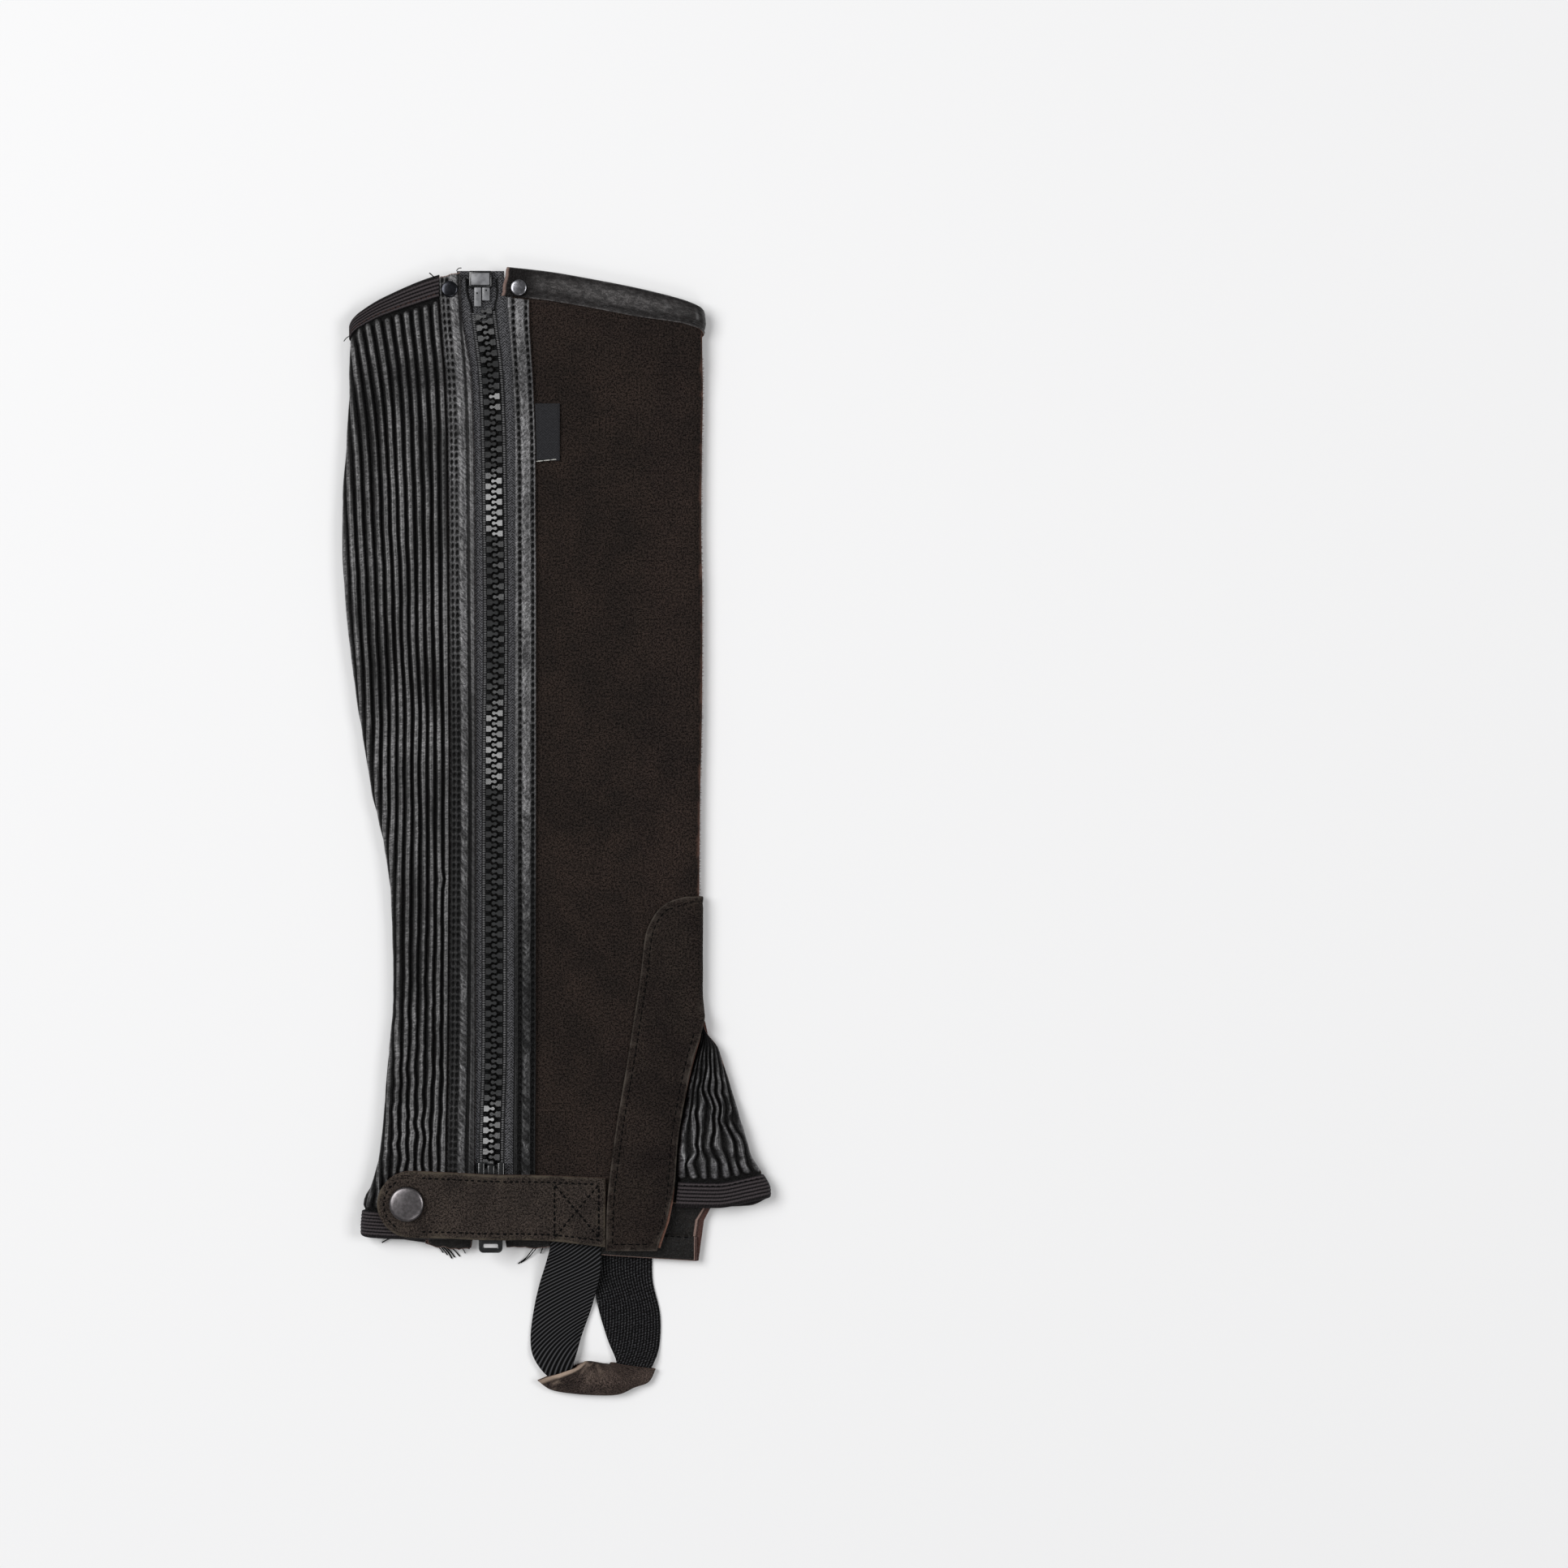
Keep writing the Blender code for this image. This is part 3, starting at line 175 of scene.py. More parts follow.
# Top edge of the cloth, by cloth distance, and bottom edges of the two layers, by x
Edge = namedtuple("Edge", "place height")
RIB_TOP = [
    Edge(-125, 218.5),
    Edge(-98, 215.0),
    Edge(-91, 217.2),
    Edge(-84, 223.0),
    Edge(-74, 229.0),
    Edge(-51, 238.2),
    Edge(-36, 241.6),
]
SUEDE_TOP = [
    Edge(-22, 241.8),
    Edge(-4, 239.8),
    Edge(17, 236.2),
    Edge(38, 232.0),
    Edge(54, 228.0),
    Edge(61, 225.4),
    Edge(66, 222.8),
    Edge(72, 221.4),
    Edge(110, 220.6),
    Edge(150, 219.6),
    Edge(188, 218.5),
]
UPPER_HEM = [
    Edge(-90, -173.0),
    Edge(-64, -174.4),
    Edge(-18, -174.4),
    Edge(20, -177.0),
    Edge(45, -179.6),
]
LOWER_HEM = [
    Edge(-90, -173.0),
    Edge(-57, -178.0),
    Edge(-44, -180.4),
    Edge(-2, -180.8),
    Edge(21, -183.0),
    Edge(62, -185.6),
]
GUSSET_HEM_UPPER = [Edge(49, -160.4), Edge(69, -161.0), Edge(83, -158.6), Edge(93, -156.2)]
GUSSET_HEM_LOWER = [Edge(66, -161.2), Edge(83, -160.4), Edge(93, -156.2)]

# The overlay's front-facing edge, from its foot up to its rounded top
OverlayLine = namedtuple("OverlayLine", "height edge")
OVERLAY_EDGE = [
    OverlayLine(-180.6, 21.3),
    OverlayLine(-164, 21.7),
    OverlayLine(-134, 24.9),
    OverlayLine(-97, 30.8),
    OverlayLine(-60, 36.4),
    OverlayLine(-45, 38.2),
    OverlayLine(-37, 41.6),
    OverlayLine(-30.5, 48.5),
    OverlayLine(-28, 56.5),
]

# The ankle strap: its two long edges by x, and how high it rides over what it crosses
StrapLine = namedtuple("StrapLine", "place foot top ride")
STRAP_RIDE = 1.8
STRAP_LINES = [
    StrapLine(-77, -174.3, -146.2, STRAP_RIDE),
    StrapLine(-64, -174.7, -146.0, STRAP_RIDE),
    StrapLine(-47, -175.0, -146.6, 2.0),
    StrapLine(-38, -175.2, -146.9, 3.8),
    StrapLine(-30, -175.3, -147.2, 5.2),
    StrapLine(-24, -175.4, -147.4, 5.2),
    StrapLine(-17, -175.5, -147.6, 3.6),
    StrapLine(-8, -175.8, -147.8, 2.1),
    StrapLine(0, -176.4, -148.2, 0.7),
    StrapLine(10, -177.6, -148.7, 0.3),
    StrapLine(21.2, -178.9, -149.1, 0.3),
]
STRAP_TIP = -76.8
STRAP_TIP_RADIUS = 14.2
# Studs: where each stands, how far its seat is above the cloth's face, and its shape
Stud = namedtuple("Stud", "name x y seat radius tall dome")
STUDS = [
    Stud("snap_cap", -63.9, -160.0, STRAP_RIDE + STRAP + GAP, 7.35, 1.6, 0.7),
    Stud("rivet_left", -45.8, 233.1, GAP + FACING + 0.6, 3.45, 0.8, 0.5),
    Stud("rivet_right", -16.1, 233.8, GAP + BINDING_OUT, 3.45, 0.8, 0.5),
]

# The stirrup's elastic, from inside the upper hem, through the sleeve, to under the lower hem:
# both edges of its middle plane
Ribbon = namedtuple("Ribbon", "left_x left_y left_z right_x right_y right_z")
STIRRUP = [
    Ribbon(-0.5, -163.0, 6.5, 21.0, -163.0, 6.5),
    Ribbon(-2.8, -178.9, 6.5, 19.3, -178.9, 6.5),
    Ribbon(-4.6, -186.0, 6.3, 18.9, -189.7, 5.6),
    Ribbon(-7.7, -196.0, 3.6, 16.8, -199.2, 3.4),
    Ribbon(-10.2, -207.0, 1.4, 14.0, -208.5, 1.6),
    Ribbon(-11.6, -219.0, 1.2, 10.9, -217.0, 2.6),
    Ribbon(-10.2, -227.5, 2.4, 9.0, -223.8, 4.4),
    Ribbon(-4.2, -235.4, 3.0, 7.2, -232.5, 4.6),
    Ribbon(4.0, -238.9, 3.1, 14.4, -233.0, 5.0),
    Ribbon(17.2, -240.6, 3.1, 17.6, -233.2, 5.0),
    Ribbon(29.6, -238.6, 3.1, 21.2, -233.4, 4.8),
    Ribbon(38.2, -234.6, 2.9, 25.0, -233.0, 3.8),
    Ribbon(41.9, -229.6, 2.6, 25.4, -228.6, 2.8),
    Ribbon(44.2, -222.0, 0.9, 21.4, -219.0, 1.0),
    Ribbon(44.4, -209.0, 0.75, 17.0, -203.0, 0.75),
    Ribbon(41.3, -195.0, 0.75, 17.0, -191.0, 0.75),
    Ribbon(41.0, -184.5, 0.75, 18.0, -182.4, 0.75),
    Ribbon(41.0, -173.6, 0.75, 18.0, -173.6, 0.75),
]

# The sleeve, from its left mouth to its right one: the two sides of each section, and its height
SleeveLine = namedtuple("SleeveLine", "inner_x inner_y outer_x outer_y tall")
SLEEVE = [
    SleeveLine(11.2, -229.6, -8.4, -237.3, 7.4),
    SleeveLine(12.6, -228.9, -2.8, -241.2, 8.2),
    SleeveLine(14.7, -228.9, 6.7, -242.9, 8.6),
    SleeveLine(17.2, -229.3, 17.2, -243.6, 8.6),
    SleeveLine(19.6, -229.8, 26.6, -243.3, 8.4),
    SleeveLine(21.4, -230.0, 33.6, -240.3, 7.8),
    SleeveLine(22.4, -230.2, 39.6, -238.0, 6.8),
    SleeveLine(22.9, -229.6, 42.6, -232.4, 6.2),
]
SLEEVE_WALL = 1.4
SLEEVE_FLAT = 0.35


def ease(t):
    """0 below 0, 1 above 1 and a smooth step between."""
    t = min(max(t, 0.0), 1.0)
    return t * t * (3 - 2 * t)


def blend(low, high, t):
    return low + (high - low) * t


def read(table, column, key):
    """A column's value between two rows of a table, on a curve that never overshoots them."""
    keys = [row[0] for row in table]
    values = [getattr(row, column) for row in table]
    if key <= keys[0]:
        return values[0]
    if key >= keys[-1]:
        return values[-1]
    here = bisect.bisect_right(keys, key) - 1

    def secant(k):
        return (values[k + 1] - values[k]) / (keys[k + 1] - keys[k])

    def slope(k):
        if k == 0:
            return secant(0)
        if k == len(keys) - 1:
            return secant(k - 1)
        before, after = secant(k - 1), secant(k)
        if before * after <= 0:
            return 0.0
        return 2 * before * after / (before + after)

    span = keys[here + 1] - keys[here]
    t = (key - keys[here]) / span
    return ((2 * t**3 - 3 * t**2 + 1) * values[here]
            + (t**3 - 2 * t**2 + t) * span * slope(here)
            + (3 * t**2 - 2 * t**3) * values[here + 1]
            + (t**3 - t**2) * span * slope(here + 1))


class Ring:
    """The flattened tube's outer face at one height."""

    def __init__(self, height):
        for column in Section._fields[1:]:
            setattr(self, column, read(SECTIONS, column, height))
        self.back_turn = self.back + self.back_radius
        self.front_turn = self.front - self.front_radius
        self.back_arc = math.pi * self.back_radius
        self.front_arc = math.pi * self.front_radius

    def thick(self, x):
        """Distance between the upper and lower outer faces."""
        near_back = 1 - ease((x - self.back_turn) / BACK_SWELL)
        near_front = 1 - ease((self.front_turn - x) / self.front_swell)
        return (self.middle + (2 * self.back_radius - self.middle) * near_back
                + (2 * self.front_radius - self.middle) * near_front)

    def spot(self, place, out):
        """x and z at a cloth distance, moved out from the face by a distance."""
        if place > self.front_turn:
            return self.fold(place - self.front_turn, self.front_turn, self.front_radius, 1, out)
        if place < self.back_turn:
            return self.fold(self.back_turn - place, self.back_turn, self.back_radius, -1, out)
        step = 0.2
        tilt = (self.thick(place + step) - self.thick(place - step)) / (2 * step)
        length = math.hypot(1, tilt)
        return (place - out * tilt / length, self.lift + self.thick(place) + out / length)

    def fold(self, past, turn, radius, side, out):
        """A point past a fold's start: on its half circle, or on the underside beyond."""
        if past > math.pi * radius:
            return (turn - side * (past - math.pi * radius), self.lift - out)
        angle = past / radius
        reach = radius + out
        return (turn + side * reach * math.sin(angle), self.lift + radius + reach * math.cos(angle))

    def underneath(self, x, side):
        """Cloth distance of a place on the underside, reached round the front (1) or back (-1)."""
        if side > 0:
            return self.front_turn + self.front_arc + self.front_turn - x
        return self.back_turn - self.back_arc - (x - self.back_turn)

    def nose(self):
        """Cloth distance of the front fold's outermost line."""
        return self.front_turn + self.front_arc / 2

    def x_of(self, place):
        return self.spot(place, 0.0)[0]


# Step of the heights that the ring is worked out for
RING_STEP = 0.04
# The faces of a cloth
OUTER, INNER = 0, 1
# The inset of a point that is far from every cut edge
INLAND = 50.0
# Distance from the overlay's edge to its stitches
OVERLAY_STITCH = 2.9
# Above this height the gusset stays sunk under the suede
SLIT_TIP = -86.0
# How much fuller the padded ribs are than the solids' plain ones
RIB_FULLNESS = 1.15
# The stirrup webbing's slanted ridges: their pitch, and how they lean
TWILL_PITCH = 1.9
TWILL_SLANT = 0.8
# What each stud is in this scene
STUD_PIECES = {"snap_cap": "snap_stud", "rivet_left": "rivet_cap_left",
               "rivet_right": "rivet_cap_right"}


@functools.lru_cache(maxsize=None)
def ring_at(step):
    return Ring(step * RING_STEP)


def ring(height):
    """The ring at a height, worked out once for each small step of height."""
    return ring_at(round(height / RING_STEP))


def on_ring(cloth, height, out):
    """A point in mm, out from the ring's face at a cloth distance and a height."""
    x, z = ring(height).spot(cloth, out)
    return Vector((x, height, max(z, 0.0)))


def ring_axes(cloth, height, out):
    """A point on the ring, and its directions across the cloth, up it and out of it."""
    here = on_ring(cloth, height, out)
    across = (on_ring(cloth + 0.4, height, out) - on_ring(cloth - 0.4, height, out)).normalized()
    along = (on_ring(cloth, height + 0.8, out) - on_ring(cloth, height - 0.8, out)).normalized()
    normal = across.cross(along).normalized()
    return here, across, normal.cross(across), normal


def wander(a, b=0.0, seed=0.0):
    """Smooth noise from -1 to 1, the same on every run."""
    return noise.noise(Vector((a + 17.3, b + 5.1, seed + 0.37)))


def bell(distance, width):
    """1 at 0, falling smoothly to 0 at a width."""
    return 1 - ease(abs(distance) / width)


def rounding(distance, radius):
    """How far a face drops near its rim, where a quarter circle of a radius turns it over."""
    if distance >= radius:
        return 0.0
    return radius - math.sqrt(max(radius**2 - (radius - max(distance, 0.0)) ** 2, 0.0))


def spread(low, high, count):
    return [blend(low, high, k / count) for k in range(count + 1)]


def shares(near_first, near_last, length, step):
    """Distances over a length, closer together near its ends."""
    middle = length - near_first[-1] - near_last[-1]
    count = max(1, round(middle / step))
    inside = [near_first[-1] + middle * k / count for k in range(1, count)]
    return list(near_first) + inside + [length - d for d in reversed(near_last)]


class Patch:
    """A point of a cloth face in mm, with its place in the material's pattern: how far along and
    up the cloth it lies, how far in from the nearest cut edge, and how much highlight is painted
    on its crown, from 0 in a valley, where shade is painted, to 1."""

    __slots__ = ("point", "pattern", "crown")

    def __init__(self, point, u, v, inset=INLAND, crown=0.8):
        self.point = point
        self.pattern = Vector((u, v, inset))
        self.crown = crown


def finish_mesh(name, bm, finishes, sharp=40):
    mesh = bpy.data.meshes.new(name)
    bm.to_mesh(mesh)
    bm.free()
    mesh.shade_smooth()
    mesh.set_sharp_from_angle(angle=math.radians(sharp))
    obj = bpy.data.objects.new(name, mesh)
    bpy.context.scene.collection.objects.link(obj)
    for finish in finishes:
        mesh.materials.append(finish)
    return obj


def turn_outwards(bm):
    """Turns the faces of closed shells over where they all point inwards."""
    if bm.calc_volume(signed=True) < 0:
        bmesh.ops.reverse_faces(bm, faces=bm.faces[:])


def wall(name, columns, rows, place, finishes, cut=None, sharp=50):
    """Cloth as a thin closed shell. place(column, row, face) gives the Patch of a face. The
    outer face takes the first finish, the inner one the second and the rim the third."""
    bm = bmesh.new()
    bmesh.ops.create_grid(bm, x_segments=len(columns) - 1, y_segments=len(rows) - 1, size=0.5)
    column_of = bm.verts.layers.int.new("column")
    row_of = bm.verts.layers.int.new("row")
    pattern_of = bm.verts.layers.float_vector.new("pattern")
    crown_of = bm.verts.layers.float.new("crown")
    for vert in bm.verts:
        vert[column_of] = round((vert.co.x + 0.5) * (len(columns) - 1))
        vert[row_of] = round((vert.co.y + 0.5) * (len(rows) - 1))
    if cut:
        gone = [face for face in bm.faces
                if cut(min(v[column_of] for v in face.verts), min(v[row_of] for v in face.verts))]
        bmesh.ops.delete(bm, geom=gone, context="FACES")

    def settle(vert, face):
        patch = place(columns[vert[column_of]], rows[vert[row_of]], face)
        vert.co = patch.point * MM
        vert[pattern_of] = patch.pattern
        vert[crown_of] = patch.crown

    for vert in bm.verts:
        settle(vert, OUTER)
    bmesh.ops.remove_doubles(bm, verts=bm.verts[:], dist=1e-7)
    outer = set(bm.faces)
    sheet = bm.faces[:] + bm.edges[:] + bm.verts[:]
    copy = bmesh.ops.extrude_face_region(bm, geom=sheet, use_keep_orig=True)
    fresh = {item for item in copy["geom"] if isinstance(item, bmesh.types.BMVert)}
    for vert in fresh:
        settle(vert, INNER)
    for face in bm.faces:
        if face not in outer:
            face.material_index = 1 if all(vert in fresh for vert in face.verts) else 2
    bmesh.ops.recalc_face_normals(bm, faces=bm.faces[:])
    turn_outwards(bm)
    while len(finishes) < 3:
        finishes = finishes + finishes[-1:]
    return finish_mesh(name, bm, finishes, sharp)


def stitch_template(length, width, tall):
    """One stitch along Y: a flattened bead whose ends dip into the cloth."""
    bm = bmesh.new()
    bmesh.ops.create_uvsphere(bm, u_segments=6, v_segments=5, radius=0.5)
    for vert in bm.verts:
        end = abs(2 * vert.co.z)
        vert.co = Vector((vert.co.x * width, vert.co.z * length,
                          vert.co.y * tall - 0.35 * tall * end * end)) * MM
    bmesh.ops.recalc_face_normals(bm, faces=bm.faces[:])
    return bm


def scatter(name, template, frames, finishes, sharp=40):
    """Copies of a template joined in one mesh, each placed by a matrix."""
    mold = bpy.data.meshes.new(name + "_mold")
    template.to_mesh(mold)
    template.free()
    bm = bmesh.new()
    for matrix in frames:
        first = len(bm.verts)
        bm.from_mesh(mold)
        bm.verts.ensure_lookup_table()
        bmesh.ops.transform(bm, matrix=matrix, verts=bm.verts[first:])
    bpy.data.meshes.remove(mold)
    turn_outwards(bm)
    return finish_mesh(name, bm, finishes, sharp)


def stand(here, across, along, normal):
    """A matrix that stands a template at a point in mm, its Y along a direction."""
    turned = Matrix((across, along, normal)).transposed().to_4x4()
    return Matrix.Translation(here * MM) @ turned


def stitch_frames(path, reach, pitch, jitter=0.06):
    """Places for stitches along a path, which ends a reach short. path(t) gives a cloth distance,
    a height and how far out, for t from 0 to 1."""
    steps = 400
    look = 0.004
    points = [on_ring(*path(k / steps)) for k in range(steps + 1)]
    run = [0.0]
    for before, after in zip(points, points[1:]):
        run.append(run[-1] + (after - before).length)
    frames = []
    count = int((run[-1] - reach) / pitch)
    for k in range(count + 1):
        mark = (k + 0.5) * pitch + jitter * pitch * wander(k * 0.9, run[-1])
        near = min(bisect.bisect_right(run, mark) - 1, steps - 1)
        t = (near + (mark - run[near]) / max(run[near + 1] - run[near], 1e-6)) / steps
        here, _, _, normal = ring_axes(*path(t))
        ahead = on_ring(*path(min(t + look, 1.0))) - on_ring(*path(max(t - look, 0.0)))
        along = (ahead - normal * ahead.dot(normal)).normalized()
        frames.append(stand(here, along.cross(normal), along, normal))
    return frames


def dress(piece, slot, *nodes):
    """The piece stands for nodes, whose solids it hides, and stays with the chap. Its slot is not
    used.
    """
    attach(piece, "root")
    if nodes:
        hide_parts(*nodes)


def sew(name, slot, thread, stitch, paths, reach, pitch, jitter=0.06):
    """Rows of stitches of a length, width and height along paths, a pitch apart."""
    frames = []
    for path in paths:
        frames += stitch_frames(path, reach, pitch, jitter)
    dress(scatter(name, stitch_template(*stitch), frames, [thread]), slot)


class Wire:
    """A socket of a shader. Arithmetic on it adds Math nodes."""

    def __init__(self, finish, socket):
        self.finish = finish
        self.socket = socket

    def math(self, operation, *others):
        return self.finish.node("ShaderNodeMath", {"operation": operation},
                                dict(enumerate((self, *others))))

    def __add__(self, other):
        return self.math("ADD", other)

    def __sub__(self, other):
        return self.math("SUBTRACT", other)

    def __mul__(self, other):
        return self.math("MULTIPLY", other)

    def __rsub__(self, other):
        return (self * -1) + other

    __radd__ = __add__
    __rmul__ = __mul__

    def smooth(self, low, high):
        """0 below low and 1 above high, or the other way round where low is the higher."""
        start, stop = (low, high) if low < high else (high, low)
        step = self.finish.node("ShaderNodeMapRange", {"interpolation_type": "SMOOTHSTEP"},
                                {"Value": self, "From Min": start, "From Max": stop}, "Result")
        return step if low < high else 1 - step

    def wave(self, period):
        """A cosine from 0 to 1 with crests a period apart."""
        return (self * (2 * math.pi / period)).math("COSINE") * 0.5 + 0.5

    def saw(self, period):
        """0 to 1 and back to 0 over a period."""
        return self.math("PINGPONG", period / 2) * (2 / period)


class Finish:
    """A material in the making: its nodes, and the pattern place of the cloth that wears it."""

    def __init__(self, name):
        self.material = bpy.data.materials.new(name)
        self.material.use_nodes = True
        self.tree = self.material.node_tree
        self.shader = self.tree.nodes["Principled BSDF"]

    def put(self, socket, value):
        """Links a socket to a wire, or sets it to a number or a colour."""
        if isinstance(value, Wire):
            self.tree.links.new(value.socket, socket)
        else:
            socket.default_value = (*value, 1.0) if isinstance(value, tuple) else value

    def node(self, kind, settings=None, values=None, output=0):
        """A node with its settings set first, then its sockets' values or links."""
        node = self.tree.nodes.new(kind)
        for key, value in (settings or {}).items():
            setattr(node, key, value)
        for key, value in (values or {}).items():
            self.put(node.inputs[key], value)
        return Wire(self, node.outputs[output])

    def pattern(self):
        """The cloth's own pattern place in mm: along, up and in from the cut edge."""
        place = self.node("ShaderNodeAttribute", {"attribute_name": "pattern"}, output="Vector")
        split = self.node("ShaderNodeSeparateXYZ", None, {0: place}).socket.node
        return [Wire(self, split.outputs[k]) for k in range(3)]

    def crown(self):
        """How much highlight is painted on the cloth there, from 0 in a valley, where shade is
        painted, to 1.
        """
        return self.node("ShaderNodeAttribute", {"attribute_name": "crown"}, output="Fac")

    def place(self, x, y, z=0.0):
        return self.node("ShaderNodeCombineXYZ", None, {"X": x, "Y": y, "Z": z})

    def body(self):
        """Object coordinates, in mm."""
        where = self.node("ShaderNodeTexCoord", None, None, "Object")
        return self.node("ShaderNodeVectorMath", {"operation": "SCALE"},
                         {0: where, "Scale": 1 / MM})

    def noise(self, where, size, detail=2.0, rough=0.5, distortion=0.0):
        """Noise from 0 to 1 whose lumps are about a size in mm."""
        return self.node("ShaderNodeTexNoise", {"noise_dimensions": "3D"},
                         {"Vector": where, "Scale": 1 / size, "Detail": detail,
                          "Roughness": rough, "Distortion": distortion}, "Fac")

    def cells(self, where, size):
        """Distance from the walls of cells about a size in mm, in cell sizes."""
        return self.node("ShaderNodeTexVoronoi", {"feature": "DISTANCE_TO_EDGE"},
                         {"Vector": where, "Scale": 1 / size}, "Distance")

    def mix(self, share, first, second, blend_type="MIX"):
        """One colour mixed into another by a share. A Mix node's colours are its sockets 6 and 7,
        and their mix is its output 2."""
        return self.node("ShaderNodeMix", {"data_type": "RGBA", "blend_type": blend_type},
                         {0: share, 6: first, 7: second}, 2)

    def bump(self, height, depth, strength):
        """A normal from a height of 0 to 1 that stands for a depth in mm."""
        return self.node("ShaderNodeBump", None, {"Height": height, "Strength": strength,
                                                  "Distance": depth * MM}, "Normal")

    def wear(self, colour, rough, normal=None, coat=None, metal=None):
        """What may vary over the surface."""
        parts = {"Base Color": colour, "Roughness": rough, "Normal": normal, "Coat Weight": coat,
                 "Metallic": metal}
        for key, value in parts.items():
            if value is not None:
                self.put(self.shader.inputs[key], value)
        return self.material

    def gloss(self, level, sheen=0.0, sheen_rough=0.5, sheen_tint=(1.0, 1.0, 1.0), coat_rough=0.1):
        """What is the same all over the surface."""
        parts = {"Specular IOR Level": level, "Sheen Weight": sheen,
                 "Sheen Roughness": sheen_rough, "Sheen Tint": sheen_tint,
                 "Coat Roughness": coat_rough}
        for key, value in parts.items():
            self.put(self.shader.inputs[key], value)

    def shades(self, share, colour, darkest, brightest):
        """A colour that varies by a share between two brightnesses of it."""
        return self.mix(share, tuple(part * darkest for part in colour),
                        tuple(part * brightest for part in colour))


def suede_finish(name, deep, lifted, worn, edge_width=0.9, brushed=0.0, even=0.0):
    """Nap of split leather: cloudy where it was stroked, speckled close up, paler at cut edges."""
    finish = Finish(name)
    along, up, inset = finish.pattern()
    where = finish.place(along, up)
    cloud = finish.noise(where, 34.0, 3.0, 0.55)
    patch = finish.noise(where, 9.0, 3.0, 0.6, 0.4)
    speck = finish.noise(where, 0.9, 3.0, 0.75)
    nap = finish.noise(where, 0.45, 2.0, 0.6)
    lift = (cloud.smooth(0.38, 0.66) * 0.62 + patch.smooth(0.35, 0.7) * 0.38)
    colour = finish.mix(lift, deep, lifted)
    grain = speck.smooth(0.38, 0.62) * 0.65 + nap.smooth(0.36, 0.64) * 0.35
    colour = finish.mix(1.0, colour, finish.mix(grain, (0.08, 0.08, 0.085), (2.15, 2.07, 1.98)),
                        "MULTIPLY")
    torn = patch.smooth(0.3, 0.65) * 0.75 + speck.smooth(0.35, 0.6) * 0.25
    rub = inset.smooth(edge_width, 0.1 + 0.6 * even * edge_width) * (torn * (1 - even) + even)
    scuff = inset.smooth(edge_width * 5, 0.5) * patch.smooth(0.45, 0.75) * brushed
    colour = finish.mix((rub + scuff).math("MINIMUM", 1.0), colour, worn)
    normal = finish.bump(speck * 0.6 + nap * 0.4, 0.34, 0.8)
    finish.gloss(0.06, 0.03, 0.5, (0.9, 0.82, 0.74))
    return finish.wear(colour, 0.95, normal)


def grained_finish(name, deep, crest, painted_glint, rough=(0.34, 0.6), crease=0.5, gloss=0.45, lean=0.55,
                   raw=(0.27, 0.185, 0.16), lip=None):
    """Grain leather: small pebbles parted by fine slanting creases, with highlights painted on its
    crowns and shade painted in its valleys.
    """
    finish = Finish(name)
    along, up, inset = finish.pattern()
    crown = finish.crown()
    where = finish.place(along, up)
    slant = finish.place((along + up * lean) * 0.5, up * 1.3 - along * (2.2 * lean))
    pebbles = finish.cells(where, 0.95).smooth(0.0, 0.28)
    fine = finish.noise(where, 0.7, 3.0, 0.65)
    folds = finish.noise(slant, 1.5, 3.0, 0.65, 0.8)
    cloud = finish.noise(where, 24.0, 2.0).smooth(0.32, 0.66) * 0.6 + 0.4
    # The crown attribute sets where light is painted: the crest colour on the crowns, and the deep
    # colour in the valleys, which is painted shade as well as the leather's own black
    raised = crown.smooth(0.3, 1.0)
    creased = folds.smooth(0.42, 0.6)
    colour = finish.mix(raised * (creased * 0.7 + pebbles * 0.3), deep, crest)
    broken = (creased * 0.7 + 0.3) * (fine.smooth(0.38, 0.6) * 0.7 + 0.3)
    # A broken glint painted on the highest crowns
    colour = finish.mix(crown.smooth(0.5, 1.0) * cloud * broken, colour, painted_glint)
    colour = finish.mix(inset.smooth(0.55, 0.2) * (0.45 + 0.55 * fine), colour, raw)
    if lip:
        line = inset.smooth(0.64, 0.56) - inset.smooth(0.5, 0.4)
        colour = finish.mix(line * (fine * 0.6 + 0.4), colour, lip)
    normal = finish.bump(pebbles * 0.35 + fine * 0.35 + folds * crease, 0.4, 1.0)
    dull = 1 - raised * (creased * 0.6 + 0.4)
    finish.gloss(0.14, coat_rough=0.28)
    return finish.wear(colour, dull * (rough[1] - rough[0]) + rough[0], normal,
                       coat=raised * gloss)


def webbing_finish(name, deep, raised):
    """Elastic webbing: its ridges, crossed by the small picks of the weave, with highlights painted
    on the ridges and shade painted between them.
    """
    finish = Finish(name)
    along, up, _ = finish.pattern()
    picks = (along + up * 0.35).wave(1.1)
    fuzz = finish.noise(finish.place(along, up), 0.55, 3.0, 0.7)
    # The ridge height from the crown paints the ridges lighter and the grooves darker, over the
    # weave's picks and fuzz
    height = finish.crown() * 0.62 + picks * 0.1 + fuzz.smooth(0.3, 0.7) * 0.28
    colour = finish.mix(height.smooth(0.25, 1.0), deep, raised)
    normal = finish.bump(height, 0.4, 0.9)
    finish.gloss(0.1, 0.03, 0.5, (0.85, 0.8, 0.9))
    return finish.wear(colour, 0.8, normal)


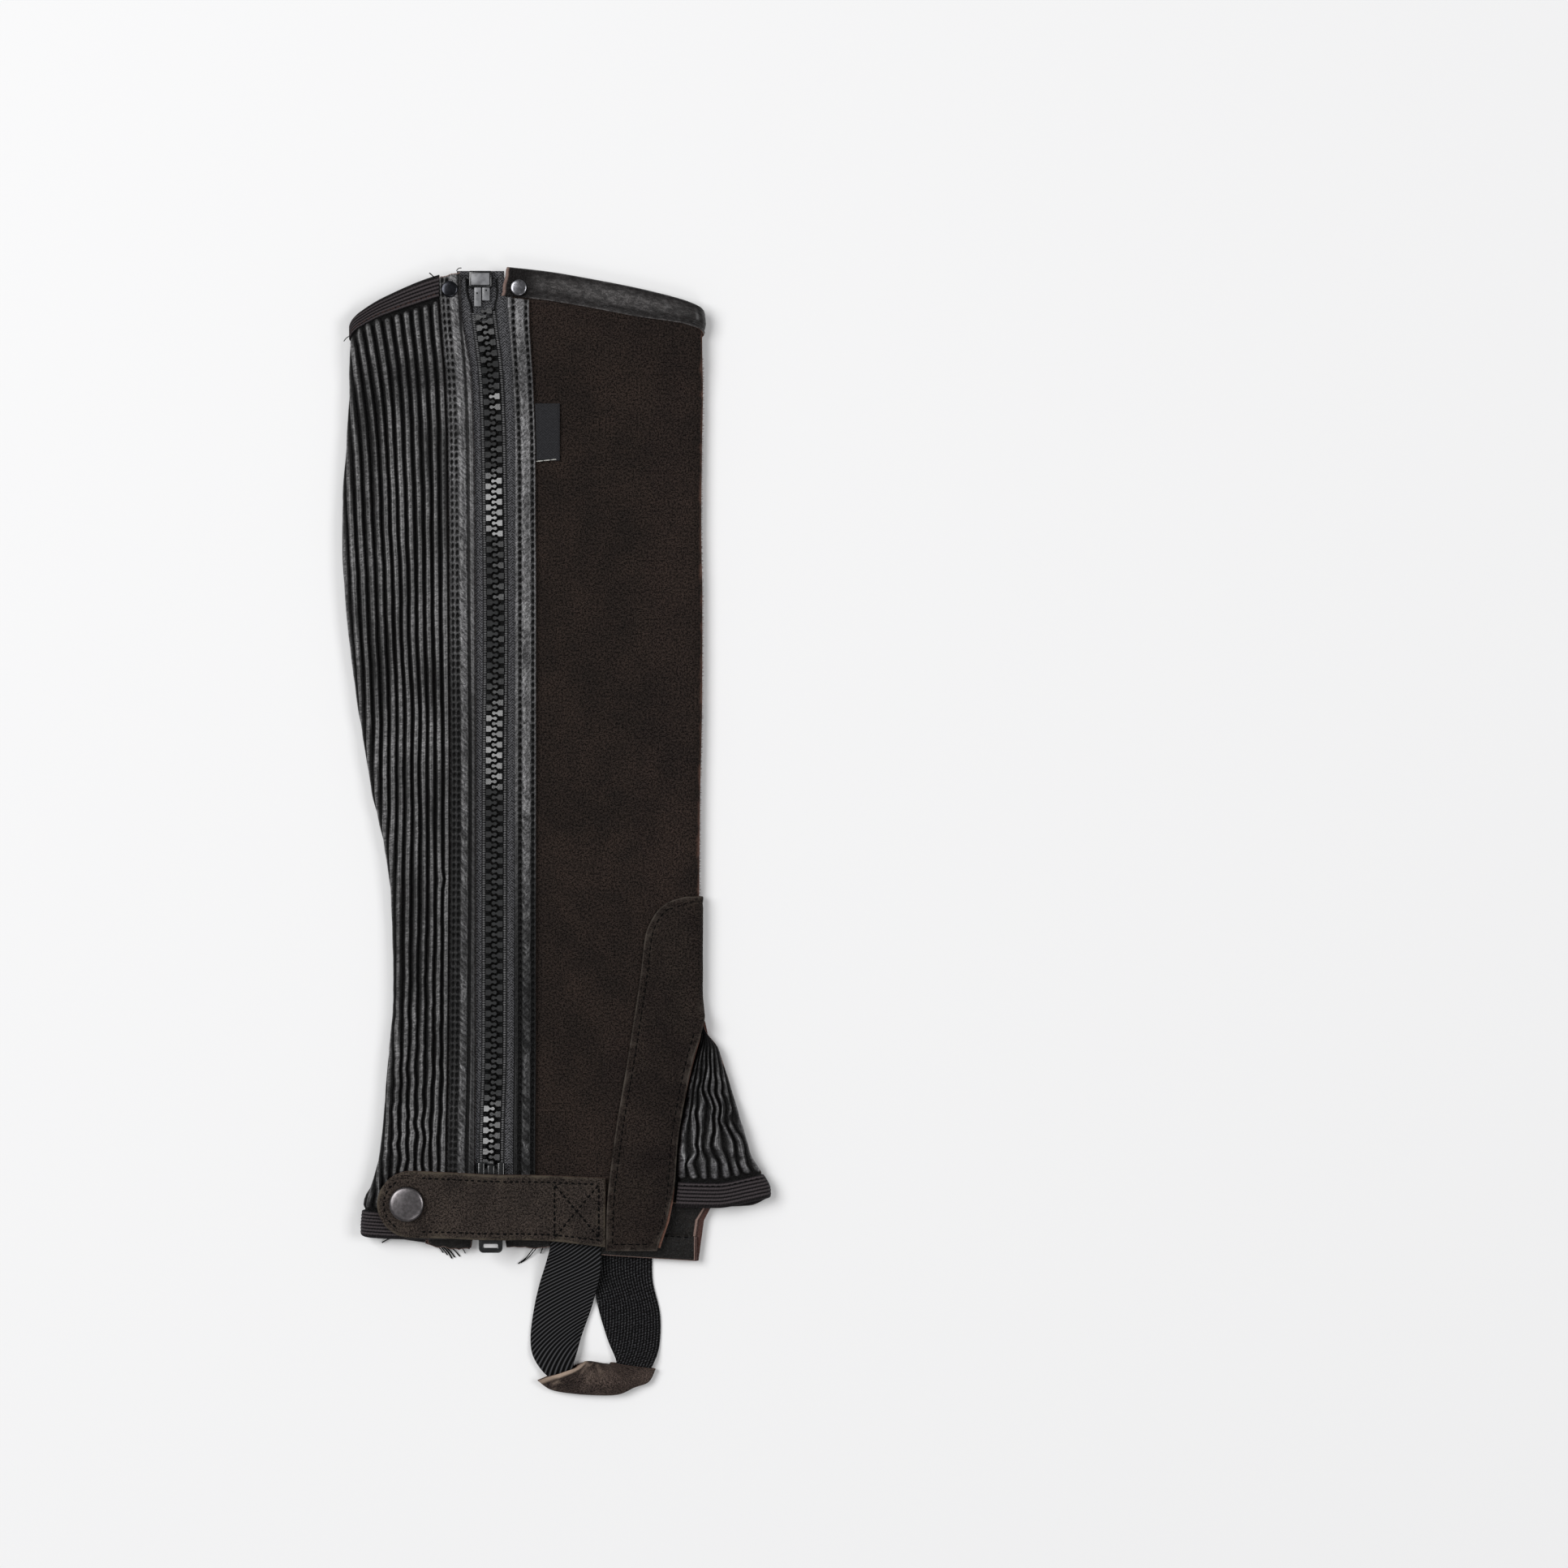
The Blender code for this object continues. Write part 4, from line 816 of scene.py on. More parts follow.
def stirrup_finish(name, deep, raised):
    """The stirrup's elastic: bold slanting twill on one face, fine lines along the other. The
    inset mark tells the faces apart: over 10 on the twill face."""
    finish = Finish(name)
    across, run, mark = finish.pattern()
    twill = (run + across * TWILL_SLANT).wave(TWILL_PITCH)
    twist = (run * 0.6 - across * 1.5).wave(0.9)
    fuzz = finish.noise(finish.place(across, run), 0.6, 3.0, 0.7)
    bold = twill * 0.8 + twist * 0.15 + fuzz * 0.12
    ticks = (run + across * 0.5).wave(1.3)
    fine_rows = across.wave(1.3) * 0.4 + ticks * 0.25 + fuzz.smooth(0.4, 0.64) * 0.42
    face = mark.smooth(9.0, 10.0)
    height = bold * face + fine_rows * (1 - face)
    colour = finish.mix(height.smooth(0.42, 0.98), deep, raised)
    normal = finish.bump(height, 0.5, 0.9)
    finish.gloss(0.08)
    return finish.wear(colour, 0.72, normal)


def herringbone_finish(name, deep, raised):
    """Zip tape: narrow columns whose twill leans one way and then the other."""
    finish = Finish(name)
    along, up, _ = finish.pattern()
    lean = along.saw(3.0)
    twill = (up + lean * 1.5).wave(1.15)
    knots = finish.noise(finish.place(along * 1.3, up), 1.1, 2.0, 0.6).smooth(0.36, 0.66)
    fuzz = finish.noise(finish.place(along, up), 0.45, 3.0, 0.75).smooth(0.3, 0.7)
    height = twill * 0.45 + fuzz * 0.2 + knots * 0.35
    colour = finish.mix(height.smooth(0.1, 1.0) * finish.crown().smooth(0.0, 0.75), deep, raised)
    normal = finish.bump(height, 0.22, 0.9)
    finish.gloss(0.14)
    return finish.wear(colour, 0.68, normal)


def moulded_finish(name, colour, rough=0.24, gloss=0.5, scuff=0.12):
    """Moulded plastic: smooth and dark, with faint flow lines and rubbed spots."""
    finish = Finish(name)
    where = finish.body()
    flow = finish.noise(where, 2.6, 2.0)
    rubbed = finish.noise(where, 0.7, 3.0, 0.7).smooth(0.5, 0.8)
    shade = finish.shades(flow.smooth(0.3, 0.7), colour, 0.75, 1.35)
    normal = finish.bump(flow * 0.6 + rubbed * 0.4, 0.05, 0.5)
    finish.gloss(gloss)
    return finish.wear(shade, rubbed * scuff + rough, normal)


def gunmetal_finish(name, colour, rough):
    """Dark plated metal: fine brushing and small pits."""
    finish = Finish(name)
    where = finish.body()
    haze = finish.noise(where, 1.6, 3.0, 0.6)
    pits = finish.noise(where, 0.28, 2.0, 0.7)
    shade = finish.shades(haze.smooth(0.3, 0.7), colour, 0.8, 1.2)
    normal = finish.bump(pits, 0.02, 0.5)
    finish.gloss(0.5)
    return finish.wear(shade, haze * 0.14 + rough, normal, metal=1.0)


def thread_finish(name, colour, shine=0.3):
    """Sewing thread: mottled by its plies, faintly shiny."""
    finish = Finish(name)
    plies = finish.noise(finish.body(), 0.35, 2.0, 0.6)
    shade = finish.shades(plies.smooth(0.3, 0.7), colour, 0.6, 1.3)
    finish.gloss(shine)
    return finish.wear(shade, 0.62, finish.bump(plies, 0.08, 0.6))


def raw_edge_finish(name, colour, dark):
    """Cut leather: pale fibres in layers."""
    finish = Finish(name)
    where = finish.body()
    fibres = finish.noise(where, 0.5, 4.0, 0.75)
    patchy = finish.noise(where, 3.5, 2.0)
    shade = finish.mix(fibres.smooth(0.3, 0.7) * 0.6 + patchy.smooth(0.35, 0.65) * 0.4, dark,
                       colour)
    finish.gloss(0.1)
    return finish.wear(shade, 0.95, finish.bump(fibres, 0.25, 0.9))


def backdrop_finish(name, colour):
    """The pale paper that it lies on."""
    finish = Finish(name)
    fibre = finish.noise(finish.body(), 6.0, 3.0)
    finish.gloss(0.1)
    return finish.wear(colour, 0.9, finish.bump(fibre, 0.02, 0.2))


SUEDE_BODY = suede_finish("body_suede", (0.0122, 0.0096, 0.0088), (0.0199, 0.0145, 0.0126),
                          (0.24, 0.125, 0.094), 0.8)
SUEDE_OVERLAY = suede_finish("overlay_suede", (0.0102, 0.0081, 0.0076),
                             (0.0186, 0.0144, 0.0125), (0.062, 0.052, 0.044), 1.0, 0.6)
SUEDE_STRAP = suede_finish("strap_suede", (0.0192, 0.0158, 0.0145), (0.0375, 0.0302, 0.0264),
                           (0.075, 0.062, 0.047), 1.4, 0.4)
SUEDE_SLEEVE = suede_finish("sleeve_suede", (0.02, 0.0152, 0.014), (0.06, 0.0455, 0.0405),
                            (0.34, 0.26, 0.205), 3.4, 0.5, 0.75)
# Each grain leather: its colour in the valleys, which is painted shade as well as its own black,
# then its crest colour and its glint, which are highlights painted on its crowns
RIB_LEATHER = grained_finish("ribbed_leather", (0.0014, 0.0013, 0.0014), (0.03, 0.0292, 0.03),
                             (0.25, 0.245, 0.25), (0.34, 0.62), 0.5, 0.5, 0.12)
GUSSET_LEATHER = grained_finish("gusset_leather", (0.0016, 0.0014, 0.0014), (0.05, 0.048, 0.051),
                                (0.125, 0.121, 0.128), (0.3, 0.6), 0.3, 0.75, 0.1)
# The facings' padded leather, whose creases lean towards the zip
PADDED = {side: grained_finish(name, (0.002, 0.0019, 0.002), (0.05, 0.0492, 0.051),
                               (0.27, 0.266, 0.274), (0.3, 0.56), 1.4, 0.5, lean)
          for side, name, lean in (("left", "padded_leather", -0.55),
                                   ("right", "padded_leather_right", 0.55))}
BOUND = grained_finish("binding_leather", (0.0034, 0.0025, 0.0024), (0.03, 0.0265, 0.026),
                       (0.125, 0.118, 0.117), (0.26, 0.5), 0.9, 0.7, 0.05)
LINING = grained_finish("hem_leather", (0.0014, 0.0012, 0.0011), (0.006, 0.0048, 0.0042),
                        (0.02, 0.017, 0.015), (0.24, 0.4), 0.2, 0.2,
                        raw=(0.075, 0.032, 0.025), lip=(0.3, 0.2, 0.17))
FLESH = suede_finish("flesh_side", (0.012, 0.008, 0.006), (0.03, 0.02, 0.015),
                     (0.09, 0.06, 0.045))
ELASTIC_FINISH = webbing_finish("binding_elastic", (0.0025, 0.002, 0.0022),
                                (0.064, 0.0544, 0.0576))
STIRRUP_FINISH = stirrup_finish("stirrup_weave", (0.0015, 0.0015, 0.0016), (0.064, 0.064, 0.068))
TAPE_FINISH = herringbone_finish("tape_weave", (0.002, 0.002, 0.0023), (0.125, 0.125, 0.134))
LABEL_FINISH = herringbone_finish("label_weave", (0.011, 0.011, 0.0125), (0.024, 0.024, 0.027))
TEETH_FINISH = moulded_finish("teeth_plastic", (0.011, 0.0115, 0.0122), 0.25, 0.68, 0.1)
LUG_FINISH = moulded_finish("cord_plastic", (0.2, 0.2, 0.205), 0.3, 0.5)
HARDWARE = moulded_finish("slider_plastic", (0.007, 0.0075, 0.008), 0.16, 0.6)
# Pale grey: a reflection painted on the retainer's top and on its pins
RETAINER_REFLECTION = moulded_finish("retainer_plastic", (0.15, 0.152, 0.16), 0.3, 0.6)
STUD_METALS = {
    "snap_cap": gunmetal_finish("snap_metal", (0.14, 0.13, 0.134), 0.26),
    "rivet_left": gunmetal_finish("dark_rivet_metal", (0.03, 0.031, 0.036), 0.14),
    "rivet_right": gunmetal_finish("rivet_metal", (0.19, 0.19, 0.205), 0.16),
}
BLACK_THREAD = thread_finish("black_thread", (0.0012, 0.0011, 0.0012), shine=0.05)
GREY_THREAD = thread_finish("grey_thread", (0.03, 0.029, 0.03))
RUST_THREAD = thread_finish("rust_thread", (0.03, 0.012, 0.009))
PALE_THREAD = thread_finish("pale_thread", (0.45, 0.45, 0.42))
RAW_EDGE = raw_edge_finish("raw_edge", (0.19, 0.12, 0.095), (0.07, 0.042, 0.034))
DARK_EDGE = raw_edge_finish("dark_edge", (0.05, 0.038, 0.03), (0.02, 0.014, 0.011))
ROLLED_EDGE = raw_edge_finish("rolled_edge", (0.085, 0.038, 0.03), (0.028, 0.012, 0.01))
NAP_FIBRE = thread_finish("nap_fibre", (0.1, 0.05, 0.037), shine=0.05)


# Ribbed panel


def rib_shape(t):
    """Height of a rib from 0 to 1 across its width."""
    return (1 - abs(2 * t - 1) ** 1.9) ** 0.72


def rib_highlight(value, fall):
    """How much highlight is painted on a rib's crest: 1 along its middle, less by a fall at its
    sides.
    """
    return 1 - fall * abs(2 * (value % 1.0) - 1) ** 1.2


# The part of the back fold that the ribs cross at their own pitch
EVEN_PART = 0.85
# Cloth distances between which the ribbed panel turns over the back fold
BACK_FOLD_NEAR, BACK_FOLD_FAR = -84.0, -97.0
# Where the ribs bunch below, and the height of the kink beside the facing
BUNCH_TOP, BUNCH_RUN = -30.0, 110.0
KINK_HEIGHT = -21.0
# How far a rib takes to rise to its full height beyond a binding
RIB_RISE_RUN = 2.2
# A first guess of each kind of row's height, which a few rounds make exact
RIB_GUESS = {"hem": -165.0, "between": 20.0, "top": 225.0}


def rib_place(column, height):
    """Cloth distance of a column: under the facing, on the ribs, or on the plain underside."""
    kind, value = column
    level = ring(height)
    start = read(ZIP_LINES, "left_seam", height) - GAP
    if kind == "facing":
        return blend(read(ZIP_LINES, "left_edge", height) - FACING_LIP, start, value)
    seam = level.underneath(BACK_SEAM - GAP / 2, -1)
    pitch = read(RIB_LINES, "pitch", height)
    ribs_end = max(start - RIB_COUNT * pitch, seam + 1.5)
    if kind == "plain":
        return blend(ribs_end, seam, value)
    free = pitch * value
    evenly = start - level.back_turn + EVEN_PART * level.back_arc
    if free <= evenly:
        return start - free
    return blend(start - evenly, ribs_end, (free - evenly) / (RIB_COUNT * pitch - evenly))


def rib_edges(cloth):
    """Bottom and top of the ribbed panel at a cloth distance."""
    past = ease((BACK_FOLD_NEAR - cloth) / 10.0)
    under_x = BACK_FOLD_NEAR + max(0.0, BACK_FOLD_FAR - cloth)
    bottom = blend(read(UPPER_HEM, "height", cloth), read(LOWER_HEM, "height", under_x), past)
    return bottom, read(RIB_TOP, "height", cloth)


def rib_sway(value, height):
    """How far a rib wanders sideways: little at the calf, more where it bunches at the ankle."""
    bunched = ease((BUNCH_TOP - height) / BUNCH_RUN)
    short = wander(value * 0.55, height / 5.2, 3.0) * blend(0.14, 1.0, bunched)
    long = wander(value * 0.3, height / 26.0, 8.0) * 0.5
    kink = 0.9 * bell(value - 1.0, 1.6) * bell(height - KINK_HEIGHT, 5.0)
    return (short + long + kink) * ease(value) * ease(RIB_COUNT - value)


def make_rib_panel():
    per_rib = 11
    columns = [("facing", t) for t in (0.0, 0.5, 1.0)]
    columns += [("rib", k / per_rib) for k in range(1, per_rib * RIB_COUNT + 1)]
    columns += [("plain", t) for t in (0.2, 0.6, 1.0)]
    near_hem = (0.0, 4.0, 8.0, RIB_HEM_WIDTH, 10.8, 11.6, 12.6)
    near_top = (0.0, 4.0, RIB_TOP_WIDTH, 9.2, 10.2, 11.4)
    rows = ([("hem", d) for d in near_hem] + [("between", t) for t in spread(0.0, 1.0, 168)[1:-1]]
            + [("top", d) for d in reversed(near_top)])

    def place(column, row, face):
        kind, value = column
        height = RIB_GUESS[row[0]]
        for _ in range(3):
            cloth = rib_place(column, height)
            bottom, top = rib_edges(cloth)
            if row[0] == "hem":
                height = bottom + row[1]
            elif row[0] == "top":
                height = top - row[1]
            else:
                height = blend(bottom + near_hem[-1], top - near_top[-1], row[1])
        level = ring(height)
        if kind == "rib":
            cloth += rib_sway(value, height)
        inset = min(height - bottom, top - height)
        if face == INNER or kind != "rib":
            out = -RIBBED if face == INNER else 0.0
            return Patch(on_ring(cloth, height, out), cloth, height, inset)
        turned = (level.back_turn - cloth) / level.back_arc
        below = 1 - ease((turned - 0.62) / 0.22)
        clear = (ease((top - height - rib_top_width(cloth) - GAP) / RIB_RISE_RUN)
                 * ease((height - bottom - RIB_HEM_WIDTH - GAP) / RIB_RISE_RUN))
        lumps = 1 + 0.16 * wander(value * 0.9, height / 7.0, 5.0) + 0.05 * wander(0, height / 2.4)
        rise = RIB_FULLNESS * RIB_RISE * rib_shape(value % 1.0) * below * clear * lumps
        # Highlight painted along each rib's crest, patchy along its length, and shade painted in
        # the valleys
        crown = rise / RIB_RISE * rib_highlight(value, 0.68)
        crown *= 0.85 + 0.3 * wander(value * 0.37, height / 34.0, 6.0)
        return Patch(on_ring(cloth, height, rise), cloth, height, inset, crown)

    dress(wall("ribbed_calf_panel", columns, rows, place, [RIB_LEATHER, FLESH, DARK_EDGE],
               sharp=75), "ribbed_leather", "rib_panel")


# Suede panel

# Heights between which the suede has pillows
SWELL_TOP, SWELL_FOOT = 216.0, -140.0
# Height at which the slit's foot begins, and how far it takes
FOOT_TOP, FOOT_RUN = -150.0, 14.0
# Where the lower layer stops short below the zip, and between which places its hem is ragged
SHORT_LEFT, SHORT_RIGHT = -37.4, -21.6
RAGGED_LEFT, RAGGED_RIGHT = -58.0, 1.0
# A first guess of a row's height where it follows the hem or the top edge
SUEDE_GUESS = {"hem": -178.0, "top": 225.0}
# How far below its top edge the suede's rows at a height end
SUEDE_TOP_ZONE = 13.0


def toward_foot(height):
    """0 above the slit's foot and 1 at it."""
    return ease((FOOT_TOP - height) / FOOT_RUN)


def slit_edge(height, side):
    """Cloth distance of the slit's upper (1) or lower (-1) edge, or the fold's line above it."""
    level = ring(height)
    half_gap = GAP / 2
    if height >= NOTCH_TOP:
        return level.nose() - side * half_gap
    if side > 0:
        return min(read(SLIT, "upper", height), level.nose() - half_gap)
    depth = level.nose() - level.front_turn
    reach = read(SLIT, "lower", height)
    return max(level.nose() + level.front_turn + depth - reach, level.nose() + half_gap)


def suede_swell(cloth, height):
    """Faint pillows in the suede, none where another piece lies on it or along the fold."""
    clear = (ease((cloth + 4.0) / 10.0) * ease((ring(height).front_turn - cloth) / 8.0)
             * ease((SWELL_TOP - height) / 12.0) * ease((height - SWELL_FOOT) / 12.0))
    over = ease((overlay_edge(height) - 2.0 - cloth) / 6.0) if height < -20 else 1.0
    slack = (0.5 * wander(cloth / 26.0, height / 44.0, 1.0)
             + 0.28 * wander(cloth / 11.0, height / 21.0, 2.0))
    return slack * clear * over


def lower_hem(x):
    """Bottom edge of the lower layer: ragged at the back, and it stops short below the zip."""
    short = ease((x - SHORT_LEFT) / 1.6) * ease((SHORT_RIGHT - x) / 1.6)
    ragged = ease((x - RAGGED_LEFT) / 4.0) * ease((RAGGED_RIGHT - x) / 4.0)
    rag = 0.8 * wander(x / 3.4, 2.0, 71.0) + 0.4 * wander(x / 1.5, 3.0, 72.0)
    rag += 0.9 * ease((x + 24.0) / 3.0)
    return read(LOWER_HEM, "height", x) + 8.5 * short + ragged * rag


def make_suede_panel():
    fold = [0.0, 0.45, 1.0, 1.7, 2.5, 3.4, 4.4, 5.4, 6.4, 7.4, 8.4]
    upper = [("upper", t) for t in spread(0.0, 1.0, 38)[:-1]]
    upper += [("upper_fold", d) for d in reversed(fold)]
    lower = [("lower_fold", d) for d in fold] + [("lower", t) for t in spread(0.0, 1.0, 84)[1:]]
    near_hem = [0.0, 0.4, 1.0, 2.0, 4.0]
    heights = ([-168, -160, -152, -144, -136, -128, -120, -112, -104, -97, -91, -86.5, -83, -80,
                -78.4, NOTCH_TOP] + spread(-73.0, 206.0, 76))
    rows = [("hem", d) for d in near_hem] + [("height", h) for h in heights]
    rows += [("top", d) for d in (12.2, 8.0, 4.0, 0.0)]
    notch = rows.index(("height", NOTCH_TOP))

    def place(column, row, face):
        kind, value = column
        leg = kind.split("_")[0]
        height = SUEDE_GUESS.get(row[0], row[1])
        for _ in range(3):
            level = ring(height)
            if kind == "upper":
                start = read(ZIP_LINES, "right_edge", height) + FACING_LIP
                cloth = blend(start, slit_edge(height, 1) - fold[-1], value)
            elif kind == "upper_fold":
                cloth = slit_edge(height, 1) - value
            elif kind == "lower_fold":
                cloth = slit_edge(height, -1) + value
            else:
                seam = level.underneath(BACK_SEAM + GAP / 2, 1)
                cloth = blend(slit_edge(height, -1) + fold[-1], seam, value)
            x = level.x_of(cloth)
            hem = read(UPPER_HEM, "height", x) if leg == "upper" else lower_hem(x)
            top = read(SUEDE_TOP, "height", cloth)
            if row[0] == "hem":
                height = hem + row[1]
            elif row[0] == "top":
                height = top - row[1]
            else:
                height = min(row[1], top - SUEDE_TOP_ZONE)
        inset = min(height - hem, INLAND)
        if height > NOTCH_TOP:
            frayed = 0.5 + 0.5 * wander(height / 2.2, height / 19.0, 9.0)
            inset = min(inset, 0.1 + 0.4 * frayed + abs(cloth - level.nose()) * 0.14)
        if height < NOTCH_TOP and kind.endswith("fold"):
            inset = min(inset, value * blend(1.0, 0.45, toward_foot(height)))
        if face == INNER:
            return Patch(on_ring(cloth, height, -SUEDE), cloth, height, inset * 0.36)
        out = -rounding(inset, 0.35) + (suede_swell(cloth, height) if leg == "upper" else 0.0)
        return Patch(on_ring(cloth, height, out), cloth, height, inset)

    def cut(column, row):
        return column == len(upper) - 1 and row < notch

    panel = wall("suede_leg_panel", upper + lower, rows, place, [SUEDE_BODY, LINING, RAW_EDGE],
                 cut)
    dress(panel, "body_suede", "suede_panel")
    roll_slit_edge(panel)


def roll_slit_edge(panel):
    """The lower layer's end beside the slit is rolled and dark."""
    rim, rolled = 2, 3
    panel.data.materials.append(ROLLED_EDGE)
    for face in panel.data.polygons:
        x, y, z = face.center / MM
        if face.material_index == rim and x > 45 and y < NOTCH_TOP and z < 6:
            face.material_index = rolled


def make_fold_fringe():
    """The rubbed nap that stands off along the front fold."""
    count = 440
    foot, top = NOTCH_TOP + 3.0, 204.0
    frames = []
    for k in range(count):
        height = blend(foot, top, (k + 0.5) / count) + wander(k * 1.7, 1.0, 73.0)
        cloth = ring(height).nose() + 3.4 * wander(k * 2.3, 2.0, 74.0)
        here, across, along, normal = ring_axes(cloth, height, 0.1)
        outward = (normal + along * 1.6 * wander(k * 3.1, 3.0, 75.0)).normalized()
        side = (across - outward * across.dot(outward)).normalized()
        frames.append(stand(here, side, outward, side.cross(outward)))
    dress(scatter("front_fold_fringe", stitch_template(1.3, 0.2, 0.2), frames, [NAP_FIBRE]),
          "body_suede")


# Overlay on the lower front

OVERLAY_FOOT, OVERLAY_CROWN = OVERLAY_EDGE[0].height, OVERLAY_EDGE[-1].height
# How much lower than its outline the overlay's crown ends
CROWN_TRIM = 0.2
# Height above the slit over which the overlay's right edge runs on round the fold
WRAP_RUN = 12.0


def overlay_edge(height):
    return read(OVERLAY_EDGE, "edge", height)


def overlay_slant(height):
    """How much longer the overlay's left edge is than its rise there."""
    return math.hypot(1.0, (overlay_edge(height + 1.0) - overlay_edge(height - 1.0)) / 2)


def make_front_overlay():
    crown = OVERLAY_CROWN - CROWN_TRIM
    heights = shares((0.0, 0.3, 0.8, 1.6, 3.0), (0.0, 0.25, 0.7, 1.5, 3.0, 5.0),
                     crown - OVERLAY_FOOT, 2.6)
    heights = [OVERLAY_FOOT + d for d in heights]

    def place(share, height, face):
        start = overlay_edge(height)
        wrap = 2.4 * ease((height - NOTCH_TOP) / WRAP_RUN)
        end = slit_edge(height, 1) + wrap - 1.1 * toward_foot(height)
        # Columns crowd at both sides, so that the cut edges can turn over
        crowd = share - 0.12 * math.sin(2 * math.pi * share)
        cloth = start + (end - start) * min(max(crowd, 0.0), 1.0)
        left = (cloth - start) / overlay_slant(height)
        right = end - cloth if height < NOTCH_TOP + WRAP_RUN else 20.0
        inset = min(left, height - OVERLAY_FOOT, crown - height + 0.05, right)
        if face == INNER:
            return Patch(on_ring(cloth, height, GAP), cloth, height, inset)
        lie = 0.18 * wander(cloth / 12.0, height / 17.0, 4.0) * ease(inset / 6.0)
        dip = 0.28 * bell(inset - OVERLAY_STITCH, 1.1)
        out = GAP + OVERLAY - rounding(inset, 0.5) - dip + lie
        return Patch(on_ring(cloth, height, out), cloth * 0.97 + 300, height, inset)

    dress(wall("blaze_overlay", spread(0.0, 1.0, 40), heights, place,
               [SUEDE_OVERLAY, FLESH, RAW_EDGE]), "overlay_suede", "front_overlay")


def overlay_stitches():
    """Rows just inside the overlay's left edge, round its crown, and along its foot and right."""
    foot, crown = OVERLAY_FOOT, OVERLAY_CROWN
    lift = GAP + OVERLAY - 0.1

    def left(t):
        height = blend(foot + OVERLAY_STITCH, crown - 5.5, t)
        return overlay_edge(height) + OVERLAY_STITCH * overlay_slant(height), height, lift

    def crest(t):
        start = left(1.0)
        return blend(start[0], 60.4, t), crown - 5.5 + 3.2 * ease(t * 1.1), lift

    def bottom(t):
        return blend(overlay_edge(foot) + 3.0, 40.8, t), foot + OVERLAY_STITCH, lift

    def right(t):
        height = blend(foot + 6.0, NOTCH_TOP - 8.0, t)
        return slit_edge(height, 1) - OVERLAY_STITCH, height, lift

    sew("overlay_stitching", "overlay_suede", BLACK_THREAD, (2.3, 0.62, 0.5),
        (left, crest, bottom, right), 2.0, 3.1)


# Gusset


def gusset_place(column, height):
    """Cloth distance of a gusset column, from the tuck under one slit edge to the other."""
    level = ring(height)
    open_part = ease((NOTCH_TOP + 3 - height) / 24.0)
    tuck = blend(1.8, 3.0, open_part)
    upper = slit_edge(height, 1) if height < NOTCH_TOP else level.nose() - 0.9 * tuck
    first = slit_edge(height, 1) - tuck if height < NOTCH_TOP else level.nose() - tuck
    ribs_end = blend(level.nose(), level.nose() + 0.9, open_part)
    kind, value = column
    if kind == "tuck":
        return blend(first, upper, value)
    if kind == "rib":
        return blend(upper, ribs_end, value / GUSSET_RIBS)
    if kind == "open":
        return blend(ribs_end, slit_edge(height, -1) - GAP, value)
    return blend(ribs_end, slit_edge(height, -1) + tuck, value)


def gusset_sink(cloth, height):
    """How far the gusset lies below the suede's face: under it at the slit, level beyond."""
    depth = SUEDE + TUCK_GAP
    if height >= NOTCH_TOP:
        return depth
    past_upper = (cloth - slit_edge(height, 1) - GAP) / SINK_RUN
    past_lower = (slit_edge(height, -1) - GAP - cloth) / SINK_RUN
    level = min(ease(past_upper), ease(past_lower)) * ease((SLIT_TIP - height) / 8.0)
    return depth * (1 - level)


def gusset_hem(cloth, height):
    level = ring(height)
    table = GUSSET_HEM_UPPER if cloth < level.nose() else GUSSET_HEM_LOWER
    return read(table, "height", level.x_of(cloth))


def gusset_at(column, row):
    """Cloth distance, height and hem's height of a row, at a height or a distance off the hem."""
    kind, value = row
    height = value if kind == "height" else -158.0
    for _ in range(4):
        cloth = gusset_place(column, height)
        hem = gusset_hem(cloth, height)
        if kind == "hem":
            height = hem + value
    return cloth, height, hem


